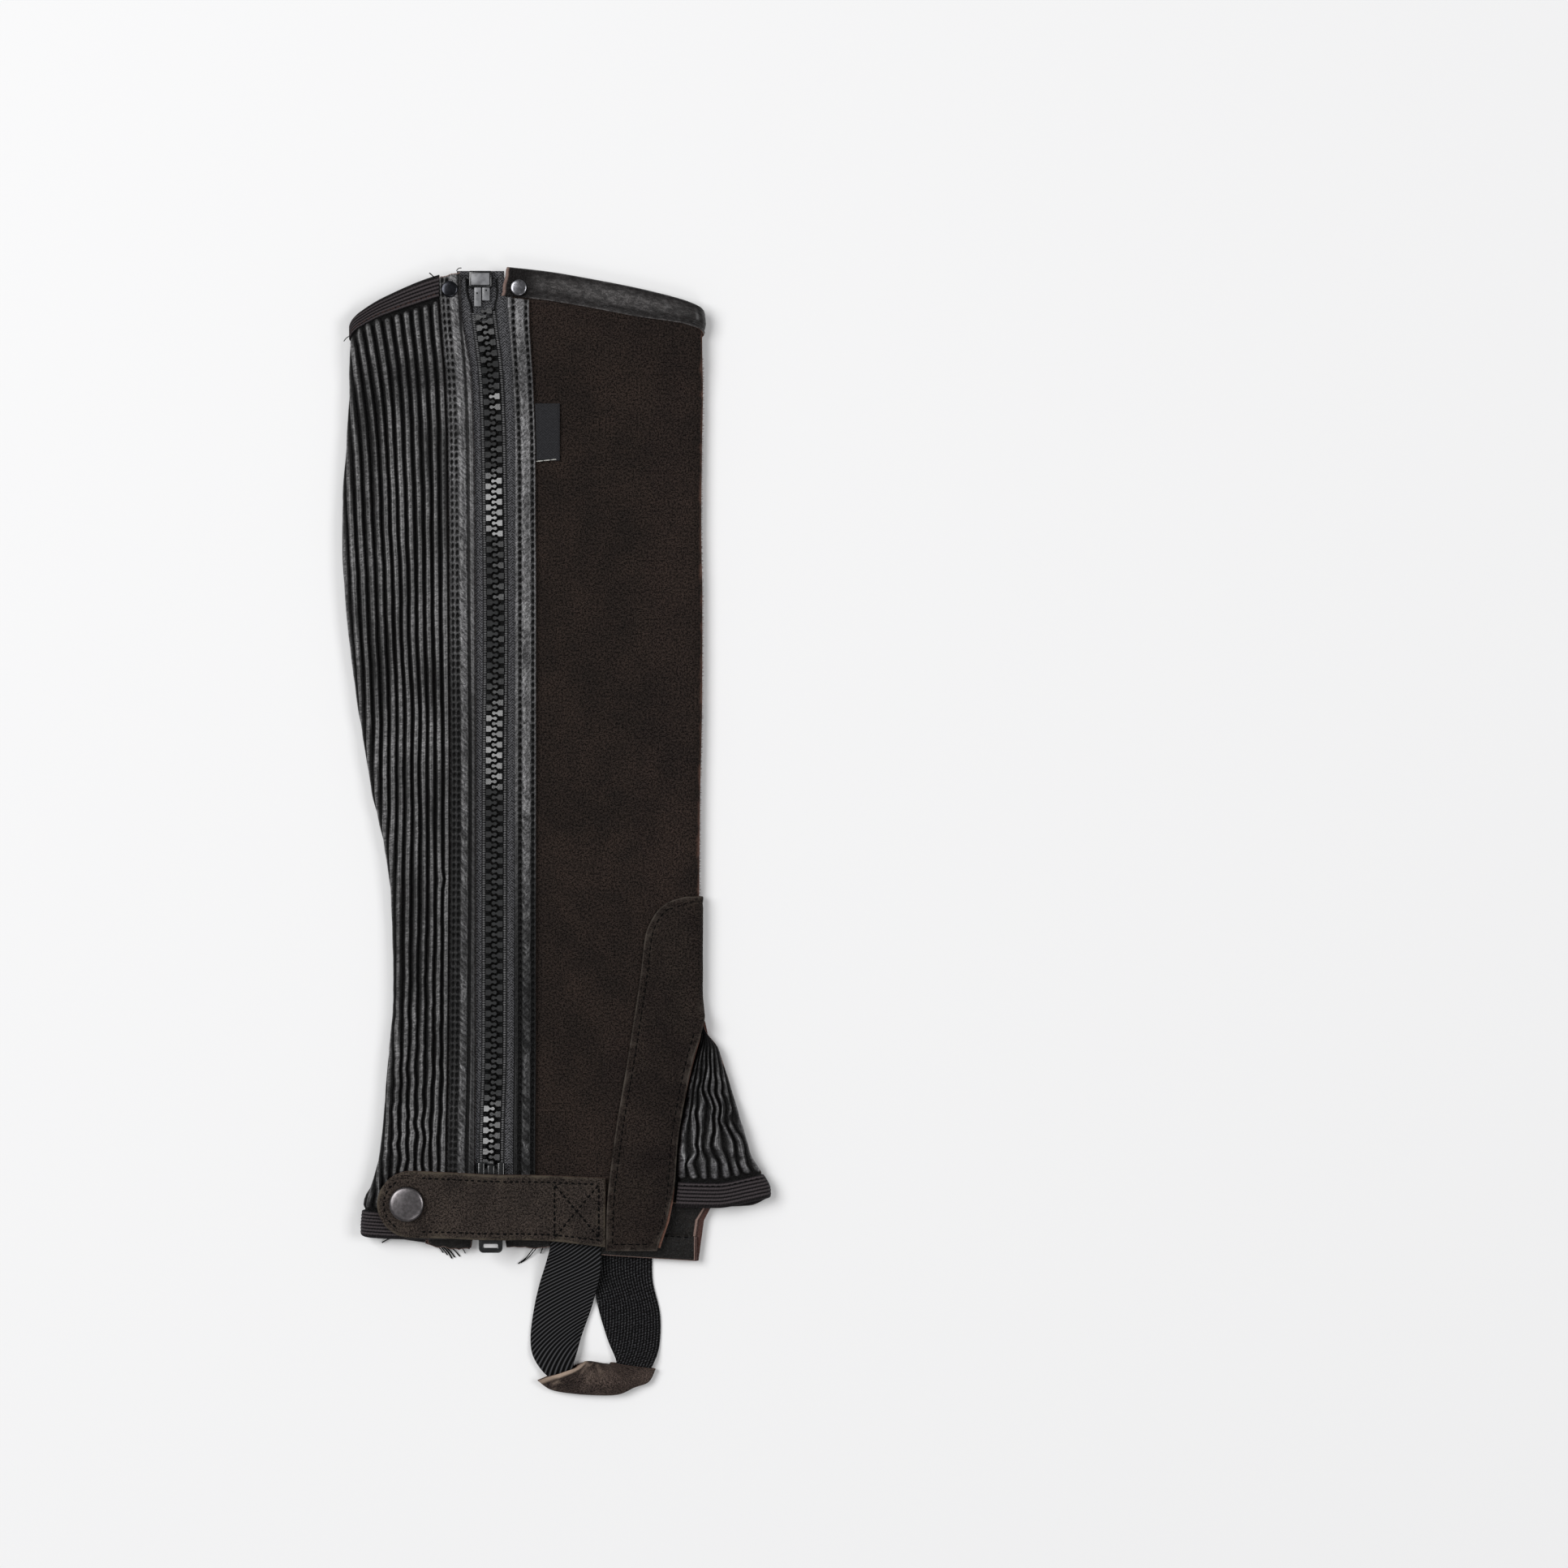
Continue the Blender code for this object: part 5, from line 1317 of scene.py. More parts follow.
def make_gusset():
    per_rib = 12
    columns = [("tuck", 0.0), ("tuck", 0.5)]
    columns += [("rib", k / per_rib) for k in range(per_rib * GUSSET_RIBS + 1)]
    columns += [("turn", t) for t in spread(0.0, 1.0, 18)[1:]]
    rows = [("hem", d) for d in (0.0, 3.0, 6.0, GUSSET_HEM_WIDTH, 10.4, 11.2, 12.1)]
    rows += [("height", h) for h in spread(-143.6, -73.0, 84)]

    def place(column, row, face):
        kind, value = column
        cloth, height, hem = gusset_at(column, row)
        sink = gusset_sink(cloth, height)
        level = ring(height)
        pitch = max(level.nose() - slit_edge(height, 1), 0.0) / GUSSET_RIBS
        bunch = ease((pitch - 1.2) / 2.0)
        if kind == "rib":
            sway = (wander(value * 0.5, height / 7.5, 21.0) * 1.9
                    + wander(value * 0.9, height / 3.4, 22.0) * 0.5)
            held = ease(value) * ease((GUSSET_RIBS - value) / 1.2)
            cloth += sway * bunch * held * ease((height - hem - GUSSET_HEM_WIDTH) / 4.0)
        inset = height - hem
        if face == INNER:
            slim = blend(GUSSET, GUSSET_TUCKED, sink / (SUEDE + TUCK_GAP))
            return Patch(on_ring(cloth, height, -slim - sink), cloth, height, inset)
        rise = 0.0
        if kind == "rib":
            turned = (cloth - level.front_turn) / level.front_arc
            below = 1 - ease((turned - 0.5) / 0.2)
            clear = ease((height - hem - GUSSET_HEM_WIDTH - 0.4) / 2.4)
            lumps = 1 + 0.35 * wander(value * 0.7, height / 6.0, 24.0)
            merged = 1 - 0.45 * bell(wander(round(value) * 1.7, height / 11.0, 25.0) - 0.35, 0.3)
            rise = (min(1.1 * GUSSET_RIB_RISE, 0.6 * pitch) * rib_shape(value % 1.0) * below
                    * clear * lumps * merged)
        # Highlight painted along each rib's crest, brighter lower down, and shade painted in the
        # valleys
        crown = rise / GUSSET_RIB_RISE * rib_highlight(value, 0.6)
        crown *= blend(0.85, 1.1, ease((-120.0 - height) / 25.0))
        if height > hem + GUSSET_HEM_WIDTH + 1.0:
            rubbed = 0.3 * wander(height / 5.0, 1.0, 27.0)
            inset = min(inset, 0.32 + rubbed + abs(cloth - level.nose()) * 0.3)
        return Patch(on_ring(cloth, height, min(rise, GUSSET_RIB_RISE * 1.2) - sink), cloth,
                     height, inset, crown)

    dress(wall("instep_gusset", columns, rows, place, [GUSSET_LEATHER, FLESH, DARK_EDGE],
               sharp=75), "ribbed_leather", "gusset")


# Bindings

# A row along a binding: its place on the outer and on the inner face, each as how far in from the
# wrapped edge and how far out, how far on it is across the strip, and its height on a ridge, which
# also sets how much highlight is painted on it
BindingRow = namedtuple("BindingRow", "outside inside across ridge")
# Ripples along an elastic binding: how tall and how long they are, and the seed of their noise
Ripple = namedtuple("Ripple", "tall long seed")


def binding_rows(width, cloth, inner_width, inner, ridges, ridge_rise):
    """Rows across a binding, from its outer edge over the wrapped edge to its inner one."""
    far = cloth + GAP + inner
    middle = (BINDING_OUT + GAP - far) / 2
    rows = []
    steps = 6 * ridges if ridges else 14
    for k in range(steps):
        t = k / steps
        soft = rounding(t * width, 0.45)
        share = abs(math.sin(math.pi * ridges * t)) if ridges else 0.5
        ridge = ridge_rise * (share - 0.5)
        rows.append(BindingRow((width * (1 - t), BINDING_OUT + GAP - soft + ridge * ease(t * 6)),
                               (width * (1 - t), GAP), t * width, share))
    for angle in range(0, 181, 20):
        turn = math.radians(angle)
        outside = (-EDGE_TURN * math.sin(turn),
                   middle + (BINDING_OUT + GAP - middle) * math.cos(turn))
        inside = (-GAP * math.sin(turn), -cloth / 2 + (GAP + cloth / 2) * math.cos(turn))
        rows.append(BindingRow(outside, inside, width + angle / 45, 0.3))
    for t in (0.35, 0.7, 1.0):
        rows.append(BindingRow((inner_width * t, -far), (inner_width * t, -cloth - GAP),
                               width + 4 + inner_width * t, 0.5))
    return rows


def bind(name, node, columns, rows, spot, ripple):
    """An elastic binding. spot(column, inward) gives the cloth distance, the height, how far in
    from the wrapped edge and how deep it lies."""
    def place(column, row, face):
        inward, out = row[face]
        cloth, height, inward, sink = spot(column, inward)
        if face == OUTER:
            out += ripple.tall * wander(cloth / ripple.long, inward / 3.0, ripple.seed)
        return Patch(on_ring(cloth, height, out - sink), cloth, row.across, INLAND, row.ridge)

    dress(wall(name, columns, rows, place, [ELASTIC_FINISH]), "elastic_webbing", node)


def rib_top_width(cloth):
    """Width of the elastic at the calf's top: narrower towards the back."""
    return blend(5.6, RIB_TOP_WIDTH, ease((cloth + 92.0) / 38.0))


# Distance from the inner edge of the suede's top binding to its stitches
SUEDE_TOP_STITCH = 1.7


def suede_top_width(cloth):
    """Width of the leather at the suede's top: narrower towards the front fold."""
    return blend(SUEDE_TOP_WIDTH - 0.5, 9.0, ease((cloth - 30.0) / 32.0))


def make_rib_top_binding():
    rows = binding_rows(RIB_TOP_WIDTH, RIBBED, RIB_TOP_WIDTH - 1.2, BINDING_IN, 5, 0.26)
    start = read(ZIP_LINES, "left_seam", 236.0) - GAP
    end = ring(216.0).underneath(BACK_SEAM - GAP / 2, -1)

    def spot(cloth, inward):
        inward *= rib_top_width(cloth) / RIB_TOP_WIDTH
        return cloth, read(RIB_TOP, "height", cloth) - inward, inward, 0.0

    def seam(t):
        cloth = blend(start - 1.0, -93.0, t)
        height = read(RIB_TOP, "height", cloth) - rib_top_width(cloth) + 1.5
        return cloth, height, GAP + BINDING_OUT

    bind("calf_top_binding", "rib_top_binding", spread(start, end, 90), rows, spot,
         Ripple(0.1, 2.2, 31.0))
    sew("calf_top_stitching", "elastic_webbing", RUST_THREAD, (1.9, 0.5, 0.4), [seam], 1.9, 2.3)


def make_rib_hem_binding():
    rows = binding_rows(RIB_HEM_WIDTH, RIBBED, RIB_HEM_WIDTH - 2.0, BINDING_IN, 7, 0.26)
    start = read(ZIP_LINES, "left_seam", -170.0) - GAP
    end = ring(-176.0).underneath(BACK_SEAM - GAP / 2, -1)

    def spot(cloth, inward):
        bottom, _ = rib_edges(cloth)
        return cloth, bottom + inward, inward, 0.0

    bind("ankle_hem_binding", "rib_hem_binding", spread(start, end, 80), rows, spot,
         Ripple(0.12, 2.4, 32.0))


def make_gusset_binding():
    rows = binding_rows(GUSSET_HEM_WIDTH, GUSSET, GUSSET_HEM_WIDTH / 2, 0.6, 6, 0.28)
    per_rib = 8
    columns = [("rib", k / per_rib) for k in range(2, per_rib * GUSSET_RIBS + 1)]
    columns += [("open", t) for t in spread(0.0, 1.0, 24)[1:]]

    def spot(column, inward):
        cloth, height, _ = gusset_at(column, ("hem", inward))
        return cloth, height, inward, gusset_sink(cloth, height)

    def seam(t):
        column = ("rib", blend(0.6, GUSSET_RIBS - 0.6, t))
        cloth, height, _, sink = spot(column, GUSSET_HEM_WIDTH - 1.2)
        return cloth, height, GAP + BINDING_OUT - sink

    bind("gusset_hem_binding", "gusset_binding", columns, rows, spot, Ripple(0.14, 2.6, 33.0))
    sew("gusset_hem_stitching", "elastic_webbing", BLACK_THREAD, (1.8, 0.5, 0.4), [seam], 1.8,
        2.4)


def make_suede_top_binding():
    rows = binding_rows(SUEDE_TOP_WIDTH, SUEDE, SUEDE_TOP_WIDTH - 2.0, BINDING_IN, 0, 0.0)
    start = -22.4
    end = ring(219.0).underneath(BACK_SEAM + GAP / 2, 1)
    columns = [start + d for d in (0.0, 0.2, 0.5, 1.0, 2.0)]
    columns += spread(start + 3.0, 52.0, 70) + spread(53.0, 76.0, 22) + spread(80.0, end, 24)

    def place(cloth, row, face):
        inward, out = row[face]
        share = inward / SUEDE_TOP_WIDTH
        inward = share * suede_top_width(cloth)
        inset = min(cloth - start, INLAND)
        slant = 0.9 - 2.3 * share + 0.4 * wander(share * 5.0, 0.0, 35.2)
        cloth += slant * (1 - ease(inset / 9.0))
        height = read(SUEDE_TOP, "height", cloth) - inward
        raw = inset / 3.2
        if face == INNER:
            return Patch(on_ring(cloth, height, out), cloth, row.across, raw)
        lumps = (0.2 * wander(cloth / 5.0, inward / 3.5, 34.0)
                 + 0.12 * wander(cloth / 1.6, inward / 2.0, 35.0))
        valley = 0.42 * bell(inward - suede_top_width(cloth) + SUEDE_TOP_STITCH, 1.3)
        plump = 0.3 * math.sin(math.pi * min(max(share * 1.15, 0.0), 1.0))
        out += (lumps + plump - valley if 0 < inward else 0.0) - rounding(inset, 0.4)
        # The crown is a painted highlight: a broad band along the strip's middle and a thin line
        # along its lower edge, broken by ripples and fading out towards its left end
        ripple = wander(cloth / 2.2, inward / 1.4, 35.5)
        light = 0.56 + 0.4 * bell(cloth - 26.0, 52.0) * bell(share - 0.42, 0.5)
        crown = (light + 0.5 * bell(share - 0.98, 0.07)) * ease((cloth - start - 2.0) / 12.0)
        return Patch(on_ring(cloth, height, out), cloth, row.across + 500, raw,
                     crown + 0.1 * ripple)

    def seam(t):
        cloth = blend(-7.0, 66.0, t)
        height = read(SUEDE_TOP, "height", cloth) - suede_top_width(cloth) + SUEDE_TOP_STITCH
        return cloth, height, GAP + BINDING_OUT - 0.45

    dress(wall("suede_top_edge", columns, rows, place, [BOUND, BOUND, RAW_EDGE]),
          "smooth_leather", "suede_top_binding")
    sew("suede_top_stitching", "smooth_leather", GREY_THREAD, (1.9, 0.5, 0.45), [seam], 1.9, 3.0)


def make_lower_hem_facing():
    left, right = -56.0, 60.5
    columns = spread(left, 58.4, 100) + [58.9, 59.5, 60.0, 60.3, right]
    rows = [0.0, 0.3, 0.9, 2.0, 4.0, 6.5, 8.2, 9.4, 10.1, TURNED_HEM_WIDTH]

    def place(x, inward, face):
        height = lower_hem(x) + inward
        inset = min(inward + 0.35, x - left, (right - x) / 2.2)
        out = -SUEDE - GAP
        if face == OUTER:
            plump = 0.3 * math.sin(math.pi * inward / TURNED_HEM_WIDTH)
            out -= TURNED_HEM + plump - rounding(inset, 0.5) + 0.1 * wander(x / 4, inward, 36.0)
        return Patch(on_ring(ring(height).underneath(x, 1), height, out), x, height, inset)

    def seam(t):
        x = blend(8.0, 58.8, t)
        height = lower_hem(x) + TURNED_HEM_WIDTH - 0.5
        return ring(height).underneath(x, 1), height, -SUEDE - GAP - TURNED_HEM - 0.1

    dress(wall("turned_hem", columns, rows, place, [LINING, LINING, DARK_EDGE]),
          "smooth_leather", "lower_hem_facing")
    sew("turned_hem_stitching", "smooth_leather", BLACK_THREAD, (2.0, 0.7, 0.5), [seam], 2.0, 2.9)


# Facings beside the zip

STITCH_STEP = 3.0
# A facing's section: distance from its outer seam, and how far it stands above its plain face
Bump = namedtuple("Bump", "place rise")
LEFT_PADDING = [
    Bump(0.0, 0.0),
    Bump(0.6, 0.12),
    Bump(1.3, -0.3),
    Bump(2.3, 0.22),
    Bump(3.3, -0.3),
    Bump(4.5, 0.42),
    Bump(5.9, 0.72),
    Bump(7.3, 0.42),
    Bump(8.2, -0.38),
    Bump(9.4, 0.42),
    Bump(10.6, 0.3),
]
RIGHT_PADDING = [
    Bump(0.0, 0.0),
    Bump(0.5, 0.32),
    Bump(1.4, -0.38),
    Bump(2.6, 0.4),
    Bump(4.3, 0.72),
    Bump(6.0, 0.4),
    Bump(6.9, -0.38),
    Bump(8.4, 0.42),
    Bump(9.6, 0.3),
]
# What differs between the facings: their padding, where its crest is and how its creases lean,
# the tops of the facing and of its stitches, how far in from the seam its rows of stitches lie,
# which way the zip lies, and how bright its painted sheen is: at the foot, what it gains above
# that, from which height on and over how long a run
FacingSide = namedtuple(
    "FacingSide", "padding crest lean top stitch_top rows inward shine gain shine_foot shine_run")
FACINGS = {
    "left": FacingSide(LEFT_PADDING, 5.9, -0.75, 241.8, 236.0, (1.3, 3.3), 1, 0.8, 0.3, 20.0,
                       120.0),
    "right": FacingSide(RIGHT_PADDING, 4.3, 0.75, 229.6, 228.0, (1.4, 6.9), -1, 0.62, 0.48,
                        -90.0, 170.0),
}
# Height above which a facing's rows close up to fit the top edge, and the zip's tapes part
FACING_SHOULDER = 225.0


def stitch_wave(height):
    """A wave from -1 to 1 with a crest for each of a facing's stitches."""
    return math.cos(2 * math.pi * height / STITCH_STEP)


def facing_padding(side, from_seam, height):
    """How far a facing stands above its plain face, with its creases and stitch dents."""
    form = FACINGS[side]
    rise = read(form.padding, "rise", from_seam)
    puffy = 1 - ease((abs(from_seam - form.crest) - 0.6) / 1.7)
    slant = height - form.lean * from_seam
    creases = wander(slant / 0.95, from_seam / 5.0, 41.0)
    ripples = wander(slant / 2.1, from_seam / 3.0, 43.0)
    lumps = wander(from_seam / 4.0, height / 8.5, 42.0)
    for row in form.rows:
        rise -= 0.3 * bell(from_seam - row, 1.0) * stitch_wave(height)
    return rise + puffy * (0.36 * creases + 0.4 * ripples + 0.3 * lumps)


def facing_top(side, cloth):
    """Where a facing ends: under the suede's binding, or at the ribbed side in a worn edge."""
    if side == "right":
        return read(SUEDE_TOP, "height", cloth) - SUEDE_TOP_WIDTH - GAP
    return read(RIB_TOP, "height", cloth) + 0.35 * wander(cloth * 1.3, 3.0, 43.0)


def make_facing(side):
    form = FACINGS[side]
    heights = spread(-174.0, 224.0, 560) + spread(224.8, form.top, 18)
    columns = [("place", p) for p in spread(0.0, 1.0, 26)]
    columns += [("fold", d) for d in (1.1, 0.7, 0.4, 0.2, 0.08, 0.0)]

    def place(column, height, face):
        seam = read(ZIP_LINES, side + "_seam", height)
        edge = read(ZIP_LINES, side + "_edge", height)
        width = abs(edge - seam)
        kind, value = column
        from_seam = width - value if kind == "fold" else value * (width - 1.5)
        cloth = blend(seam, edge, from_seam / width)
        top_in = INLAND
        if height > FACING_SHOULDER:
            share = (height - FACING_SHOULDER) / (form.top - FACING_SHOULDER)
            limit = facing_top(side, cloth)
            height = blend(FACING_SHOULDER, limit, share)
            if side == "left":
                top_in = limit - height
        if face == INNER:
            return Patch(on_ring(cloth, height, GAP), cloth, height, top_in)
        padding = facing_padding(side, from_seam, height)
        out = GAP + FACING + padding
        out -= rounding(width - from_seam, 0.9) + rounding(from_seam, 0.3)
        # Painted sheen on the crowns: darker at the foot, brighter higher up and on the padding's
        # puffs, with shade painted in the stitch dents and a faint painted highlight between them
        painted_sheen = 0.3 + 0.7 * ease((height + 178.0) / 6.0)
        painted_sheen *= form.shine + form.gain * ease((height - form.shine_foot) / form.shine_run)
        dash = 0.5 + 0.5 * stitch_wave(height)
        dash *= 0.6 + 0.8 * wander(height / 7.0, from_seam / 3.0, 44.0)
        sewn = max(bell(from_seam - row, 1.1) for row in form.rows)
        crown = (0.62 + 0.5 * padding + sewn * (0.06 - 0.26 * dash)) * painted_sheen
        return Patch(on_ring(cloth, height, max(out, GAP + 0.3)), cloth, height, top_in, crown)

    dress(wall("zip_facing_" + side, columns, heights, place, [PADDED[side], LINING, RAW_EDGE],
               sharp=70), "smooth_leather", "facing_" + side)


def facing_stitches(side):
    form = FACINGS[side]

    def row(inset):
        def path(t):
            height = blend(-147.0, form.stitch_top, t)
            seam = read(ZIP_LINES, side + "_seam", height)
            return seam + form.inward * inset, height, GAP + FACING - 0.3
        return path

    sew("facing_stitching_" + side, "smooth_leather", BLACK_THREAD, (2.1, 0.45, 0.5),
        [row(inset) for inset in form.rows], 2.0, STITCH_STEP, jitter=0.1)


# Zip


def make_zip_tape(side):
    outward = -FACINGS[side].inward
    heights = spread(-174.0, 238.0, 150)
    across = [0.0, 0.2, 0.4, 0.55, 0.68, 0.78, 0.86, 0.92, 0.97, 1.0]

    def place(share, height, face):
        hidden = read(ZIP_LINES, side + "_edge", height) + outward * (FACING_LIP - GAP)
        flare = 1.6 * ease((height - FACING_SHOULDER) / 7.0)
        inner = read(ZIP_LINES, "chain", height) + outward * (CHAIN_WIDTH / 2 + GAP + flare)
        cloth = blend(hidden, inner, share)
        if face == INNER:
            return Patch(on_ring(cloth, height, -GAP - TAPE), cloth, height)
        from_chain = abs(cloth - inner)
        cord = 0.28 * bell(from_chain - 0.9, 0.9)
        lie = 0.12 * wander(cloth / 5.0, height / 14.0, 44.0) * (1 - share)
        out = -GAP - 0.2 + cord + lie - rounding(from_chain, 0.3)
        shaded = 0.8 * ease((from_chain - 0.4) / 1.4)
        return Patch(on_ring(cloth, height, out), from_chain, height, crown=shaded)

    dress(wall("zip_tape_woven_" + side, across, heights, place, [TAPE_FINISH]),
          "zip_tape", "zip_tape_" + side)


# Half of a tooth's outline, from its root on the tape to its knob: across the zip and along it
ToothPoint = namedtuple("ToothPoint", "across half")
TOOTH = [
    ToothPoint(-3.8, 1.2),
    ToothPoint(-3.65, 1.38),
    ToothPoint(-1.8, 1.38),
    ToothPoint(-1.5, 1.1),
    ToothPoint(-1.1, 0.58),
    ToothPoint(-0.6, 0.5),
    ToothPoint(-0.2, 0.74),
    ToothPoint(0.3, 0.9),
    ToothPoint(0.85, 0.72),
    ToothPoint(1.2, 0.26),
]
TOOTH_LOW, TOOTH_HIGH = -1.5, 0.85
# How far the chain's two rows of teeth lean to the left at a height, in degrees
ChainLean = namedtuple("ChainLean", "height left right")
CHAIN_LEANS = [
    ChainLean(-160.0, 2, 0),
    ChainLean(-142.0, 13, 4),
    ChainLean(-126.0, 14, 6),
    ChainLean(-112.0, 1, 0),
    ChainLean(-40.0, -3, 0),
    ChainLean(14.0, -2, 1),
    ChainLean(24.0, 9, 16),
    ChainLean(46.0, 12, 18),
    ChainLean(60.0, 0, 3),
    ChainLean(122.0, -2, 2),
    ChainLean(131.0, 8, 16),
    ChainLean(150.0, 10, 18),
    ChainLean(158.0, 0, 2),
    ChainLean(181.0, -2, 2),
    ChainLean(186.0, 2, 16),
    ChainLean(196.0, 5, 17),
    ChainLean(201.0, 2, 3),
    ChainLean(240.0, 3, 3),
]
TOOTH_PITCH = 4.55
# Height at which the cloth's level under the slider is taken
SLIDER_REST = -151.0
# How far below the chain's top its first tooth stands
FIRST_TOOTH = 1.4


def prism(outline, low, high, bevel, bevel_low=False):
    """An outline in mm raised between two heights, with its upper rim rounded."""
    bm = bmesh.new()
    verts = [bm.verts.new((x * MM, y * MM, low * MM)) for x, y in outline]
    base = bm.faces.new(verts)
    grown = bmesh.ops.extrude_face_region(bm, geom=[base], use_keep_orig=True)
    top = [item for item in grown["geom"] if isinstance(item, bmesh.types.BMVert)]
    bmesh.ops.translate(bm, verts=top, vec=(0, 0, (high - low) * MM))
    bmesh.ops.recalc_face_normals(bm, faces=bm.faces[:])
    if bevel:
        rim = [edge for edge in bm.edges if all(vert in top for vert in edge.verts)]
        if bevel_low:
            rim += [edge for edge in bm.edges if all(vert in verts for vert in edge.verts)]
        bmesh.ops.bevel(bm, geom=rim, offset=bevel * MM, offset_type="OFFSET", segments=1,
                        profile=0.5, affect="EDGES", material=-1)
    return bm


def zip_spot(height):
    """The chain's place at a height: its middle's frame."""
    middle = read(ZIP_LINES, "chain", height)
    here, across, along, normal = ring_axes(middle, height, 0.0)
    ahead = read(ZIP_LINES, "chain", height + 2.0) - read(ZIP_LINES, "chain", height - 2.0)
    along = (along * 4.0 + across * ahead).normalized()
    return here, along.cross(normal), along, normal


def make_zip_teeth():
    outline = [(p.across, p.half) for p in TOOTH] + [(p.across, -p.half) for p in TOOTH[::-1]]
    frames = []
    count = int((CHAIN_TOP - CHAIN_FOOT - 2.6) / (TOOTH_PITCH / 2))
    for k in range(count + 1):
        height = CHAIN_TOP - FIRST_TOOTH - k * TOOTH_PITCH / 2
        here, across, along, normal = zip_spot(height)
        lean = 0.05 * wander(height / 19.0, k % 2, 45.0) + 0.025 * wander(k * 0.7, 0.0, 46.0)
        turned = Matrix.Rotation(lean, 3, across)
        side = 1 if k % 2 else -1
        tilt = read(CHAIN_LEANS, "left" if side > 0 else "right", height)
        tilt = math.radians(tilt + 5 * wander(k * 0.6, 2.0, 47.0))
        rock = Matrix.Rotation(-tilt, 3, along)
        along, normal, across = turned @ along, rock @ (turned @ normal), rock @ across
        frames.append(stand(here, across * side, along * side, normal))
    dress(scatter("zip_teeth", prism(outline[::-1], TOOTH_LOW, TOOTH_HIGH, 0.16), frames,
                  [TEETH_FINISH], sharp=25), "zip_plastic", "zip_chain")


def make_tooth_lugs():
    """The short ridges on the tape's cord beside the teeth, and the bars between the teeth."""
    frames = []
    bars = []
    steps = int((CHAIN_TOP - CHAIN_FOOT - 4.0) / (TOOTH_PITCH / 6))
    for k in range(steps):
        height = CHAIN_TOP - 2.0 - k * TOOTH_PITCH / 6
        here, across, along, normal = zip_spot(height)
        for sign in (-1, 1):
            spot = here + across * sign * (CHAIN_WIDTH / 2 + 0.3) + normal * 0.25
            frames.append(stand(spot, along * -sign, across * sign, normal))
    for k in range(int((CHAIN_TOP - CHAIN_FOOT - 6.0) / (TOOTH_PITCH / 2))):
        height = CHAIN_TOP - FIRST_TOOTH - (k + 1) * TOOTH_PITCH / 2
        sign = -1 if k % 2 else 1
        here, across, along, normal = zip_spot(height)
        for step in (-0.38, 0.38):
            spot = here + across * sign * 3.1 + along * step + normal * -0.35
            bars.append(stand(spot, along * -sign, across * sign, normal))
    dress(scatter("zip_cord_stitches", stitch_template(1.4, 0.42, 0.8), frames, [LUG_FINISH]),
          "zip_plastic")
    dress(scatter("zip_tape_bars", stitch_template(2.0, 0.5, 0.6), bars, [TEETH_FINISH]),
          "zip_plastic")


def join_parts(name, parts, finishes, sharp=30):
    """Several bmeshes in one piece."""
    whole = bmesh.new()
    for part in parts:
        mold = bpy.data.meshes.new(name + "_mold")
        part.to_mesh(mold)
        part.free()
        whole.from_mesh(mold)
        bpy.data.meshes.remove(mold)
    return finish_mesh(name, whole, finishes, sharp)


def moved(bm, x, y, z):
    bmesh.ops.translate(bm, verts=bm.verts[:], vec=(x * MM, y * MM, z * MM))
    return bm


def brick(low, high, bevel, segments=3):
    """A box between two corners in mm with rounded edges."""
    bm = bmesh.new()
    bmesh.ops.create_cube(bm, size=1.0)
    for vert in bm.verts:
        vert.co = Vector([blend(a, b, part + 0.5) * MM for a, b, part in zip(low, high, vert.co)])
    bmesh.ops.bevel(bm, geom=bm.edges[:], offset=bevel * MM, offset_type="OFFSET",
                    segments=segments, profile=0.5, affect="EDGES", material=-1)
    return bm


def level_at(x, height):
    """How far above the floor the cloth's face is."""
    return ring(height).spot(x, 0.0)[1]


def slider_place():
    """The slider's middle line, and the cloth's level under it."""
    middle = read(ZIP_LINES, "chain", SLIDER_FOOT)
    return middle, level_at(middle, SLIDER_REST)


def make_zip_slider():
    middle, level = slider_place()
    half = SLIDER_WIDTH / 2
    # The plates' outline: a notch on each side of the centre post at the top
    right_side = [(1.3, -0.3), (2.3, -2.6), (4.3, -2.9), (5.0, -0.1), (half, -0.9), (half, -9.5),
                  (5.1, -17.4), (0.0, -17.6)]
    outline = [(-x, y) for x, y in reversed(right_side) if x > 0] + right_side
    outline = [(x, SLIDER_TOP + y) for x, y in outline]
    plates = [
        prism(outline[::-1], 1.35, SLIDER_HIGH, 0.35),
        prism(outline[::-1], SLIDER_LOW, -2.35, 0.3, True),
    ]
    walls = [brick((left, SLIDER_FOOT + 0.6, 0.05), (right, SLIDER_TOP - 3.4, 1.8), 0.3)
             for left, right in ((-half, 0.9 - half), (half - 0.9, half))]
    post = brick((-1.2, SLIDER_TOP - 4.2, -2.6), (1.2, SLIDER_TOP - 0.6, 1.8), 0.4)
    crown = brick((-1.4, -154.2, SLIDER_HIGH - 0.6),
                  (1.4, -150.4, SLIDER_HIGH + GAP + TAB_THICK + GAP), 0.5)
    nose = brick((-1.7, -151.0, SLIDER_HIGH - 0.5), (1.7, -143.3, SLIDER_HIGH + 0.6), 0.7, 4)
    shoulders = [brick((left, -156.0, SLIDER_HIGH - 0.6), (right, -142.2, SLIDER_HIGH + 0.3), 0.6)
                 for left, right in ((-5.8, -2.7), (2.7, 5.8))]
    raised = [post, crown, nose] + shoulders
    parts = [moved(part, middle, 0.0, level) for part in plates + walls + raised]
    dress(join_parts("zip_slider_body", parts, [HARDWARE]), "zip_plastic", "zip_slider")


